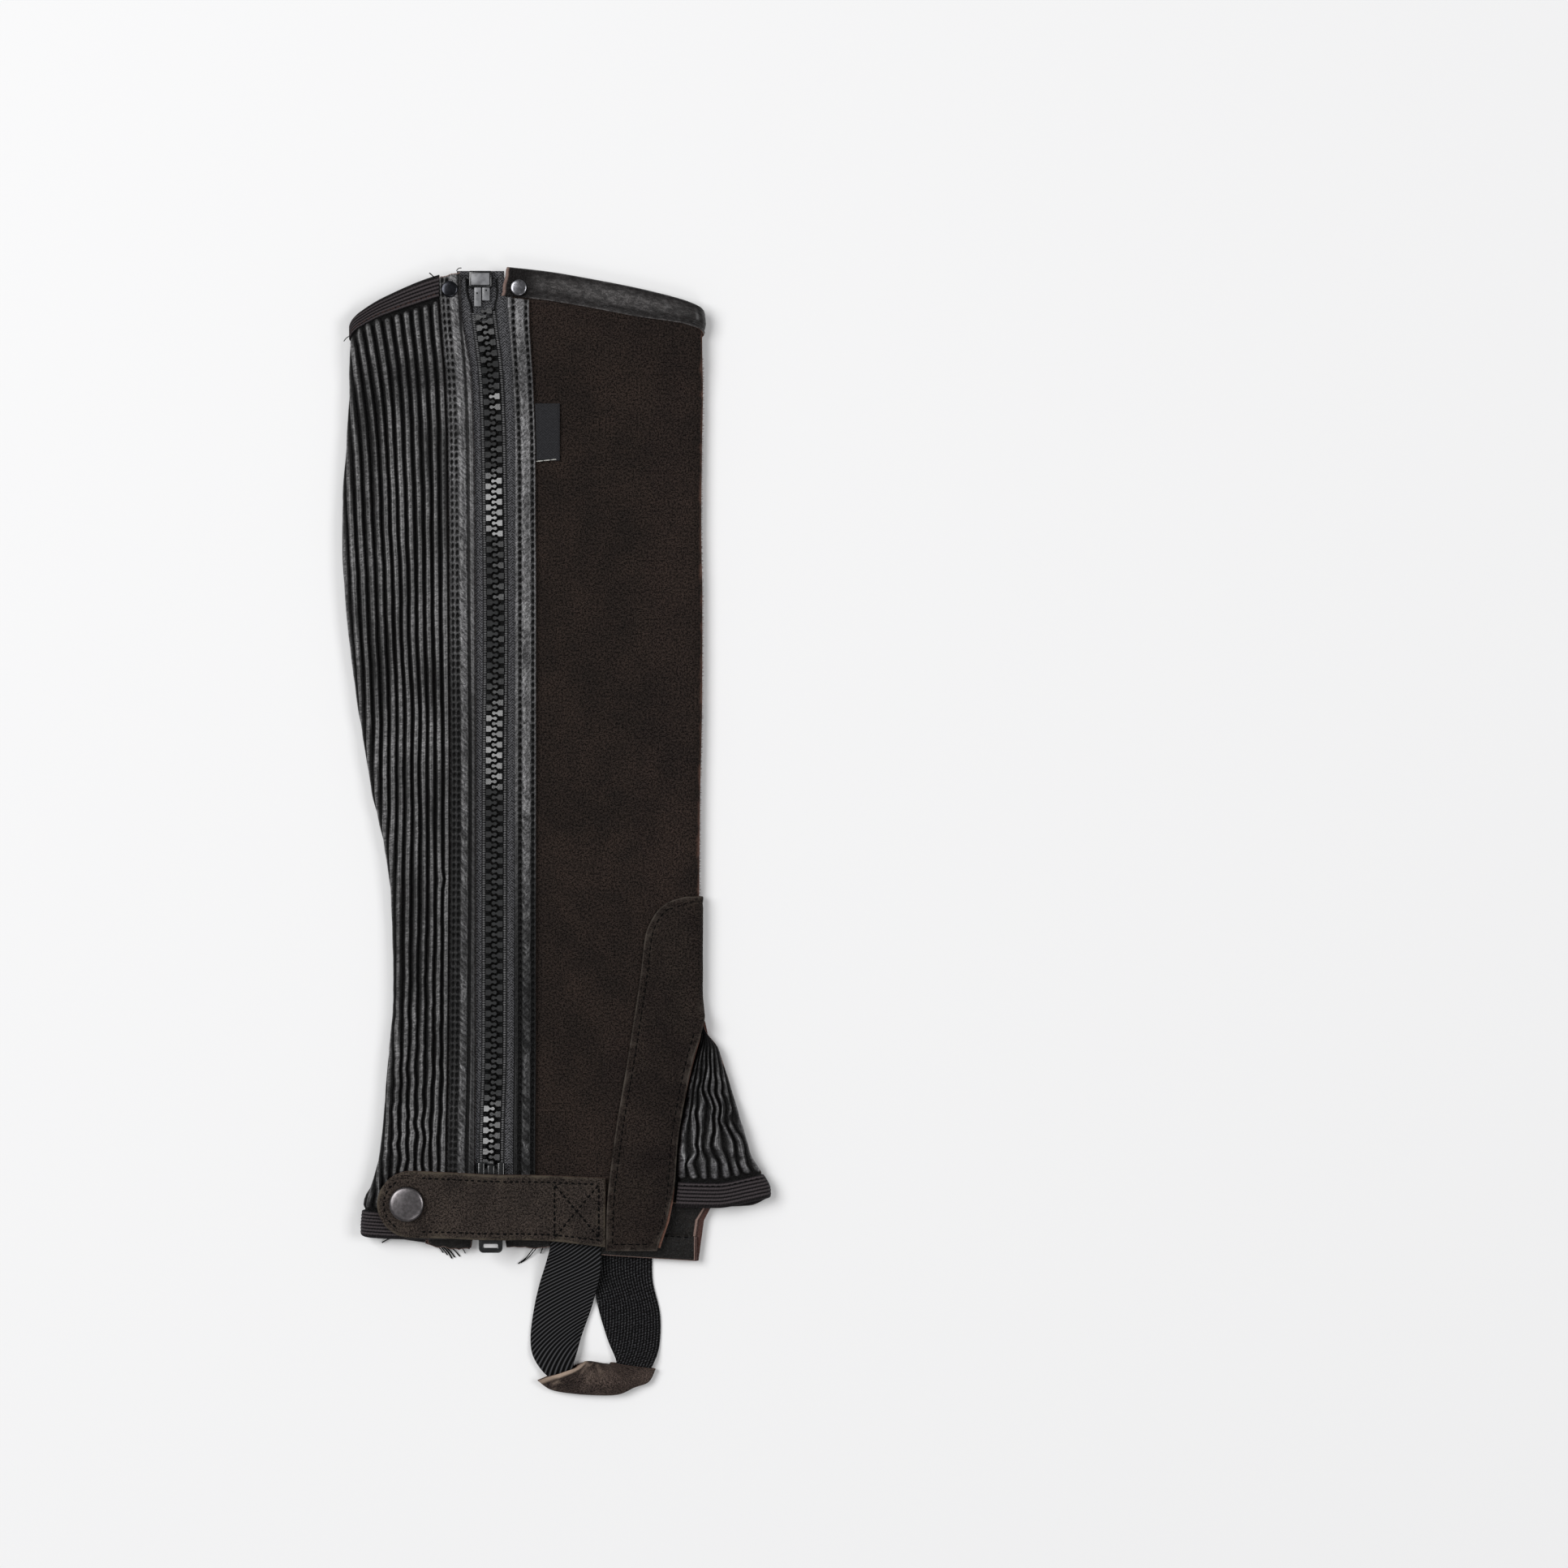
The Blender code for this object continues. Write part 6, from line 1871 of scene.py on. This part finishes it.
def rounded_loop(spline, low, high, radius, turned):
    """A rounded rectangle as a closed spline, in mm."""
    corners = [(high[0] - radius, high[1] - radius, 0), (low[0] + radius, high[1] - radius, 90),
               (low[0] + radius, low[1] + radius, 180), (high[0] - radius, low[1] + radius, 270)]
    points = []
    for x, y, start in corners:
        for step in range(0, 91, 15):
            turn = math.radians(start + step)
            points.append((x + radius * math.cos(turn), y + radius * math.sin(turn)))
    if turned:
        points.reverse()
    spline.points.add(len(points) - 1)
    for point, (x, y) in zip(spline.points, points):
        point.co = (x * MM, y * MM, 0.0, 1.0)
    spline.use_cyclic_u = True


def curve_mesh(name, curve, place, finishes):
    """A curve made a mesh, with its place in the mesh."""
    holder = bpy.data.objects.new(name + "_curve", curve)
    bpy.context.scene.collection.objects.link(holder)
    bpy.context.view_layer.update()
    evaluated = holder.evaluated_get(bpy.context.evaluated_depsgraph_get())
    mesh = bpy.data.meshes.new_from_object(evaluated)
    bpy.data.objects.remove(holder, do_unlink=True)
    bpy.data.curves.remove(curve)
    bm = bmesh.new()
    bm.from_mesh(mesh)
    bpy.data.meshes.remove(mesh)
    bmesh.ops.remove_doubles(bm, verts=bm.verts[:], dist=1e-6)
    bmesh.ops.recalc_face_normals(bm, faces=bm.faces[:])
    moved(bm, *place)
    return finish_mesh(name, bm, finishes, 35)


def make_zip_pull_tab():
    middle, level = slider_place()
    level += SLIDER_HIGH + GAP + TAB_THICK / 2
    outline = bpy.data.curves.new("pull_tab_outline", "CURVE")
    outline.dimensions = "2D"
    outline.fill_mode = "BOTH"
    soft = 0.35
    outline.bevel_depth = soft * MM
    outline.bevel_resolution = 2
    outline.offset = -soft * MM
    outline.extrude = (TAB_THICK / 2 - soft) * MM
    half = TAB_WIDTH / 2
    rounded_loop(outline.splines.new("POLY"), (-half, TAB_FOOT), (half, TAB_TOP), 2.0, False)
    rounded_loop(outline.splines.new("POLY"), (-3.1, -178.9), (3.1, -177.2), 0.5, True)
    rounded_loop(outline.splines.new("POLY"), (-2.6, -155.4), (2.6, -149.4), 0.8, True)
    dress(curve_mesh("zip_pull", outline, (middle, 0.0, level), [HARDWARE]), "zip_plastic",
          "zip_pull_tab")


def make_zip_retainer():
    middle = (RETAINER_LEFT + RETAINER_RIGHT) / 2
    level = level_at(middle, RETAINER_FOOT)
    box = brick((RETAINER_LEFT, RETAINER_FOOT, level - 2.2),
                (RETAINER_RIGHT, RETAINER_TOP, level + 1.8), 0.75, 4)
    # The panel on top and the pins are pale grey, a reflection painted on the dark plastic
    groove = brick((RETAINER_LEFT + 1.1, RETAINER_FOOT + 1.0, level + 1.4),
                   (RETAINER_RIGHT - 1.1, RETAINER_TOP - 1.0, level + 1.95), 0.25)
    pins = [brick((-35.4, 225.9, level - 1.2), (-32.4, RETAINER_FOOT + 2, level + 0.9), 0.35),
            brick((-32.0, 228.4, level - 1.2), (-28.7, RETAINER_FOOT + 2, level + 0.9), 0.35)]
    # The pins' holes are dark plugs that stand for the shade inside them
    hole_shades = [prism([(x + 0.42 * math.cos(math.radians(a)), y + 0.42 * math.sin(math.radians(a)))
                    for a in range(0, 360, 30)], level + 0.7, level + 0.94, 0.05)
             for x, y in ((-34.1, 231.6), (-30.2, 232.8))]
    dress(join_parts("zip_retainer_box", [box] + hole_shades, [HARDWARE]), "zip_plastic",
          "zip_retainer")
    dress(join_parts("zip_retainer_painted_reflection", [groove] + pins, [RETAINER_REFLECTION]), "zip_plastic")


def make_tape_end():
    """The stiffened end of the tape, which runs on behind the retainer and its pins."""
    def place(x, height, face):
        lie = 0.15 * wander(x / 3.0, height / 5.0, 44.5)
        out = -1.75 if face == INNER else -1.42 + lie
        return Patch(on_ring(x, height, out), x, height)

    dress(wall("zip_tape_end", spread(-43.0, -22.6, 22), spread(222.4, 241.4, 20), place,
               [TAPE_FINISH]), "zip_tape")


def make_tag():
    """The woven tag in the facing's seam, left bare, with the pale thread that closes its end."""
    foot, top = 159.8, 184.4

    def place(share, height, face):
        cloth = blend(read(ZIP_LINES, "right_seam", height) + GAP, 1.3, share)
        inset = min((1 - share) * 9.0, height - foot, top - height)
        if face == INNER:
            return Patch(on_ring(cloth, height, GAP), cloth, height, inset)
        lift = 0.25 * ease(share) * (1 + wander(height / 9.0, 1.0, 48.0))
        pucker = 0.1 * wander(cloth / 3.0, height / 2.5, 49.0)
        out = GAP + LABEL + lift + pucker - rounding(inset, 0.3)
        return Patch(on_ring(cloth, height, out), cloth, height, inset)

    def closing(t):
        return blend(-8.9, 1.6, t), blend(159.4, 160.5, t), GAP + LABEL + 0.1

    dress(wall("woven_tag", spread(0.0, 1.0, 16), spread(foot, top, 34), place, [LABEL_FINISH]),
          "label_weave", "label")
    sew("tag_end_stitching", "label_weave", PALE_THREAD, (3.3, 0.5, 0.5), [closing], 3.1, 3.15,
        jitter=0.0)


# Ankle strap and studs

# Distance from the strap's edge to its stitches, and the box sewn across with an X: its left and
# right, and its top and foot
STRAP_STITCH = 2.8
STRAP_BOX = ((-0.6, 18.4), (-151.9, -174.6))
# How tall the strap is, where its sewn end is, the middle of its round tip, and its stud
STRAP_HEIGHT = 28.6
STRAP_END = STRAP_LINES[-1].place
TIP_CENTRE = STRAP_TIP + STRAP_TIP_RADIUS
SNAP = STUDS[0]


def strap_width(x):
    """Middle height and width of the strap at a place."""
    foot = read(STRAP_LINES, "foot", x)
    top = read(STRAP_LINES, "top", x)
    from_tip = min(1.0, (x - STRAP_TIP) / STRAP_TIP_RADIUS)
    return (foot + top) / 2, (top - foot) * max(0.06, math.sqrt(max(1 - (1 - from_tip) ** 2, 0)))


def strap_face(x, height, inset):
    """How far the strap's face stands out: its creases, its sewn channel and the stud's seat."""
    crease = 0.34 * wander(x / 6.5, height / 24.0, 51.0) + 0.16 * wander(x / 2.6, height / 9, 52.0)
    valley = 0.34 * bell(inset - STRAP_STITCH, 1.2)
    dent = 0.3 * bell(math.hypot(x - SNAP.x, height - SNAP.y) - 8.6, 1.8)
    return (read(STRAP_LINES, "ride", x) + STRAP + crease * ease(inset / 5.0)
            * ease((20.0 - x) / 5.0) - valley - dent)


def make_ankle_strap():
    tip = [STRAP_TIP + STRAP_TIP_RADIUS * (1 - math.cos(math.radians(a)))
           for a in (0, 2, 5, 9, 14, 20, 27, 34, 42, 50, 58, 66, 74, 82, 90)]
    columns = tip + spread(tip[-1] + 0.9, 20.4, 92) + [20.7, 20.9, 21.05, STRAP_END]
    share_rows = [d / STRAP_HEIGHT for d in (0.0, 0.25, 0.6, 1.1, 1.7, 2.3, 2.9)]
    share_rows += spread(0.13, 0.87, 22) + [1 - s for s in reversed(share_rows)]

    def place(x, share, face):
        middle, width = strap_width(x)
        height = middle + (share - 0.5) * width
        ride = read(STRAP_LINES, "ride", x)
        inset = min(share, 1 - share) * width
        if x < TIP_CENTRE:
            inset = max(STRAP_TIP_RADIUS - math.hypot(x - TIP_CENTRE, height - middle), 0.0)
        inset = min(inset, STRAP_END - x)
        if face == INNER:
            return Patch(on_ring(x, height, ride), x, height, inset)
        out = strap_face(x, height, inset) - rounding(inset, 0.75)
        return Patch(on_ring(x, height, out), x, height, inset)

    dress(wall("ankle_strap_leather", columns, share_rows, place,
               [SUEDE_STRAP, FLESH, RAW_EDGE]), "overlay_suede", "ankle_strap")


def strap_stitches():
    """Rows along both edges and round the tip, and a box with an X at the sewn end."""
    (left, right), (top, foot) = STRAP_BOX

    def sewn(x, height, inset=10.0):
        return x, height, strap_face(x, height, inset) + 0.05

    def border(sign):
        def path(t):
            x = blend(-58.0, right, t)
            middle, width = strap_width(x)
            return sewn(x, middle + sign * (width / 2 - STRAP_STITCH), STRAP_STITCH)
        return path

    def round_tip(t):
        turn = math.radians(blend(118.0, 242.0, t))
        middle, _ = strap_width(TIP_CENTRE)
        reach = STRAP_TIP_RADIUS - STRAP_STITCH
        return sewn(TIP_CENTRE + reach * math.cos(turn), middle + reach * math.sin(turn),
                    STRAP_STITCH)

    def line(x0, y0, x1, y1):
        return lambda t: sewn(blend(x0, x1, t), blend(y0, y1, t))

    sew("strap_stitching", "overlay_suede", BLACK_THREAD, (2.0, 0.95, 0.6),
        [border(1), border(-1), round_tip, line(left, top, left, foot),
         line(right, foot, right, top), line(left, top, right, foot),
         line(left, foot, right, top)], 1.8, 2.7, jitter=0.1)


# Outline of a stud, as shares of its radius and height, from its middle down to its foot
StudPoint = namedtuple("StudPoint", "radius height")
CAP_PROFILE = [
    StudPoint(0.0, 1.0),
    StudPoint(0.25, 0.99),
    StudPoint(0.5, 0.965),
    StudPoint(0.7, 0.92),
    StudPoint(0.83, 0.865),
    StudPoint(0.91, 0.8),
    StudPoint(0.955, 0.7),
    StudPoint(0.985, 0.52),
    StudPoint(1.0, 0.28),
    StudPoint(1.0, 0.06),
    StudPoint(0.97, 0.0),
]
# How much wider than the solid's cap this one is
CAP_SWELL = 1.03


def make_stud(stud):
    tall = stud.tall + stud.dome
    bm = bmesh.new()
    verts = [bm.verts.new((p.radius * stud.radius * CAP_SWELL * MM, 0.0, p.height * tall * MM))
             for p in CAP_PROFILE]
    edges = [bm.edges.new(pair) for pair in zip(verts, verts[1:])]
    bmesh.ops.spin(bm, geom=verts + edges, cent=(0, 0, 0), axis=(0, 0, 1), dvec=(0, 0, 0),
                   angle=2 * math.pi, steps=64, use_merge=True)
    bmesh.ops.remove_doubles(bm, verts=bm.verts[:], dist=1e-6)
    rim = [edge for edge in bm.edges if edge.is_boundary]
    bmesh.ops.holes_fill(bm, edges=rim, sides=0)
    bmesh.ops.recalc_face_normals(bm, faces=bm.faces[:])
    moved(bm, stud.x, stud.y, level_at(stud.x, stud.y) + stud.seat + GAP)
    dress(finish_mesh(STUD_PIECES[stud.name], bm, [STUD_METALS[stud.name]], 45), "dark_metal",
          stud.name)


# Stirrup


def along_table(table, column, position):
    """A table's column at a fractional row number, on a smooth curve through the rows."""
    last = len(table) - 1
    here = min(int(position), last - 1)
    t = position - here
    a, b, c, d = [getattr(table[min(max(k, 0), last)], column) for k in range(here - 1, here + 3)]
    return 0.5 * (2 * b + (c - a) * t + (2 * a - 5 * b + 4 * c - d) * t**2
                  + (3 * b - a - 3 * c + d) * t**3)


@functools.lru_cache(maxsize=None)
def stirrup_frame(position):
    """The ribbon's two edges at a row number, and its normal there."""
    def edges(where):
        where = min(max(where, 0.0), len(STIRRUP) - 1)
        return [Vector([along_table(STIRRUP, side + axis, where) for axis in ("_x", "_y", "_z")])
                for side in ("left", "right")]
    left, right = edges(position)
    ahead, behind = edges(position + 0.05), edges(position - 0.05)
    run = ahead[0] + ahead[1] - behind[0] - behind[1]
    return left, right, (right - left).cross(run).normalized()


def make_stirrup_elastic():
    per_row = 22
    positions = [k / per_row for k in range(per_row * (len(STIRRUP) - 1) + 1)]
    run = {0.0: 0.0}
    for before, after in zip(positions, positions[1:]):
        middles = [sum(stirrup_frame(p)[:2], Vector()) / 2 for p in (before, after)]
        run[after] = run[before] + (middles[1] - middles[0]).length
    # Row number at which the ribbon turns over
    in_sleeve = 9.0

    def place(share, position, face):
        left, right, normal = stirrup_frame(position)
        width = (right - left).length
        across = share * width
        down = run[position]
        # The ribbon turns over inside the sleeve: its twill faces up before it, and down after
        twill = (face == INNER) == (position < in_sleeve)
        if twill:
            rib = math.cos(2 * math.pi * (down + across * TWILL_SLANT) / TWILL_PITCH)
            ridge = 0.24 * rib + 0.05 * wander(across / 1.2, down / 1.2, 61.0)
        else:
            ridge = 0.08 * math.cos(2 * math.pi * across / 2.6)
        edge = min(share, 1 - share) * width
        out = ELASTIC / 2 + ridge * ease(edge / 0.8) - rounding(edge, 0.5) - 0.12
        point = left.lerp(right, share) + normal * out * (1 if face == OUTER else -1)
        point.z = max(point.z, 0.0)
        return Patch(point, across, down, 12.0 if twill else 0.0)

    dress(wall("stirrup_webbing", spread(0.0, 1.0, 60), positions, place, [STIRRUP_FINISH]),
          "elastic_webbing", "stirrup_elastic")


def make_stirrup_sleeve():
    sides, per_row = 44, 8
    last = len(SLEEVE) - 1
    positions = [k / per_row for k in range(per_row * last + 1)]
    # Length of sleeve between two rows of its table
    row_length = 8.0

    def place(turn, position, face):
        angle = 2 * math.pi * turn / sides
        share = 0.5 + math.cos(angle) / 2
        upper = max(math.sin(angle), 0.0)
        lip = 0.5 * bell(share - 0.25, 0.42) * ease((2.5 - position) / 2.5) * ease(upper * 2)
        position += lip
        inner = Vector([along_table(SLEEVE, "inner" + axis, position) for axis in ("_x", "_y")])
        outer = Vector([along_table(SLEEVE, "outer" + axis, position) for axis in ("_x", "_y")])
        tall = along_table(SLEEVE, "tall", position)
        width = (outer - inner).length
        inset = SLEEVE_WALL if face == INNER else 0.0
        reach = [math.copysign(abs(f) ** 0.8, f) for f in (math.cos(angle), math.sin(angle))]
        share = 0.5 + reach[0] * (width / 2 - inset) / width
        spot = inner.lerp(outer, share)
        z = tall / 2 - SLEEVE_FLAT + reach[1] * (tall / 2 - inset)
        girth = turn / sides * 2 * (width + tall)
        length = position * row_length
        mouth = min(position - lip, last - position + 0.32) * row_length
        if reach[1] > 0:
            crease = 0.5 + 0.05 * wander(length / 9, 0.0, 62.0)
            slope = 1.7 * ease((share - crease) / 0.42) + 0.35 * bell(share - crease, 0.07)
            soft = 0.4 * wander(length / 7.0, share * 3.0, 63.0)
            z += (soft - slope * ease(mouth / 6.0)) * reach[1]
        if mouth < 2.0 and reach[1] > -0.5:
            spot = spot + Vector((wander(girth / 3.0, mouth, 64.0), 0.0)) * 0.5
        near = (position - lip) * blend(2.0, 6.8, share)
        return Patch(Vector((spot.x, spot.y, max(z, 0.0))), girth, length, near)

    dress(wall("stirrup_suede_sleeve", [k % sides for k in range(sides + 1)], positions, place,
               [SUEDE_SLEEVE, FLESH, RAW_EDGE]), "body_suede", "stirrup_sleeve")


# Loose thread ends

THREAD_RADIUS = 0.62
# Each thread: its thickness as a share, and its points, as x, y and height above the floor
Thread = namedtuple("Thread", "thick points")
THREADS = [
    Thread(0.3, ((-89.2, 213.0, 9.5), (-90.4, 212.0, 10.4), (-91.4, 210.8, 10.0))),
    Thread(0.45, ((-75.8, -178.0, 1.2), (-73.0, -176.4, 1.8), (-69.2, -175.2, 3.0),
                  (-64.0, -174.6, 4.6))),
    Thread(0.4, ((-17.0, -187.2, 0.6), (-13.8, -184.8, 1.2), (-11.2, -181.6, 2.6),
                 (-9.4, -179.2, 4.0))),
    Thread(0.36, ((-15.8, -186.8, 0.5), (-13.2, -185.0, 1.0), (-10.6, -182.2, 2.4),
                  (-8.8, -180.0, 3.6))),
    Thread(0.4, ((-7.2, -182.6, 1.2), (-6.4, -180.6, 2.0), (-5.2, -178.8, 3.4))),
    Thread(0.5, ((-44.4, -184.4, 0.6), (-46.4, -181.6, 1.2), (-49.6, -178.4, 2.6),
                 (-52.6, -176.0, 4.2))),
    Thread(0.5, ((-45.6, -184.9, 0.5), (-47.8, -181.4, 1.2), (-50.6, -178.8, 2.6),
                 (-54.0, -176.6, 4.2))),
    Thread(0.4, ((-47.6, -183.4, 0.5), (-49.2, -181.0, 1.4), (-51.4, -178.6, 2.8),
                 (-53.0, -176.8, 4.2))),
    Thread(0.45, ((-42.2, -184.0, 0.6), (-44.6, -181.2, 1.4), (-47.6, -178.8, 2.6),
                  (-50.6, -176.6, 4.2))),
    Thread(0.4, ((-49.4, -182.4, 0.6), (-50.6, -180.6, 1.4), (-52.6, -178.8, 2.8),
                 (-55.2, -176.8, 4.2))),
    Thread(0.35, ((-39.8, -182.6, 1.0), (-40.6, -181.0, 1.8), (-41.8, -179.6, 2.8))),
    Thread(0.4, ((-51.8, 237.4, 9.4), (-53.4, 239.2, 10.0), (-54.6, 240.2, 10.2))),
    Thread(0.3, ((-43.0, 241.2, 9.4), (-42.0, 242.2, 9.8), (-40.8, 242.4, 9.6))),
]


def make_threads():
    curve = bpy.data.curves.new("thread_ends", "CURVE")
    curve.dimensions = "3D"
    curve.bevel_depth = THREAD_RADIUS * MM
    curve.bevel_resolution = 1
    curve.resolution_u = 6
    curve.use_fill_caps = True
    for thread in THREADS:
        spline = curve.splines.new("BEZIER")
        spline.bezier_points.add(len(thread.points) - 1)
        for point, place in zip(spline.bezier_points, thread.points):
            point.co = Vector(place) * MM
            point.radius = thread.thick
            point.handle_left_type = point.handle_right_type = "AUTO"
    dress(curve_mesh("loose_thread_ends", curve, (0.0, 0.0, 0.0), [BLACK_THREAD]),
          "elastic_webbing")


# The cloth record

# The fields of a record for a piece of cloth: the rectangle that it is cut from, its flat area,
# how it is held, and what it lies on or is sewn to
Cloth = namedtuple("Cloth", "piece width length area held rests_on")


# Floor, light and camera

# In metres: where the camera looks, the width that it sees at a level above the floor, how far
# above that it stands, and how far the floor reaches
VIEW_MIDDLE = (0.098, 0.0203)
VIEW_WIDTH = 0.6762
VIEW_LEVEL = 0.006
CAMERA_DISTANCE = 1.8
FLOOR_REACH = 4.0
# The camera's sensor, in mm
SENSOR = 36.0

# Each soft light: where it stands, its size and its power
SoftLight = namedtuple("SoftLight", "name place size power")
SOFT_LIGHTS = [
    SoftLight("key_softbox", (-1.9, 0.9, 2.9), 2.0, 99.0),
    SoftLight("right_softbox", (2.1, 0.2, 2.7), 1.2, 34.0),
    SoftLight("foot_softbox", (0.6, -1.9, 2.9), 1.0, 11.0),
]
SKY = 0.22


def make_stage():
    bm = bmesh.new()
    bmesh.ops.create_grid(bm, x_segments=1, y_segments=1, size=FLOOR_REACH)
    floor = finish_mesh("floor", bm, [backdrop_finish("paper", (0.84, 0.84, 0.845))])
    world = bpy.data.worlds.new("studio")
    bpy.context.scene.world = world
    world.use_nodes = True
    sky = world.node_tree.nodes["Background"]
    sky.inputs["Color"].default_value = (1.0, 1.0, 1.0, 1.0)
    sky.inputs["Strength"].default_value = SKY
    target = Vector((VIEW_MIDDLE[0], VIEW_MIDDLE[1], 0.0))
    for light in SOFT_LIGHTS:
        data = bpy.data.lights.new(light.name, "AREA")
        data.shape = "SQUARE"
        data.size = light.size
        data.energy = light.power
        lamp = bpy.data.objects.new(light.name, data)
        lamp.location = light.place
        lamp.rotation_euler = (target - lamp.location).to_track_quat("-Z", "Y").to_euler()
        bpy.context.scene.collection.objects.link(lamp)
    data = bpy.data.cameras.new("overhead")
    data.sensor_width = SENSOR
    data.lens = SENSOR * CAMERA_DISTANCE / VIEW_WIDTH
    camera = bpy.data.objects.new("overhead", data)
    camera.location = (*VIEW_MIDDLE, VIEW_LEVEL + CAMERA_DISTANCE)
    bpy.context.scene.collection.objects.link(camera)
    bpy.context.scene.camera = camera
    bpy.context.scene.view_settings.view_transform = "Standard"


def make_half_chap():
    make_suede_panel()
    make_fold_fringe()
    make_rib_panel()
    make_front_overlay()
    overlay_stitches()
    make_gusset()
    make_gusset_binding()
    make_rib_top_binding()
    make_rib_hem_binding()
    make_suede_top_binding()
    make_lower_hem_facing()
    for side in ("left", "right"):
        make_facing(side)
        facing_stitches(side)
        make_zip_tape(side)
    make_zip_teeth()
    make_tooth_lugs()
    make_zip_slider()
    make_zip_pull_tab()
    make_zip_retainer()
    make_tape_end()
    make_tag()
    make_ankle_strap()
    strap_stitches()
    for stud in STUDS:
        make_stud(stud)
    make_stirrup_elastic()
    make_stirrup_sleeve()
    make_threads()


make_stage()
make_half_chap()
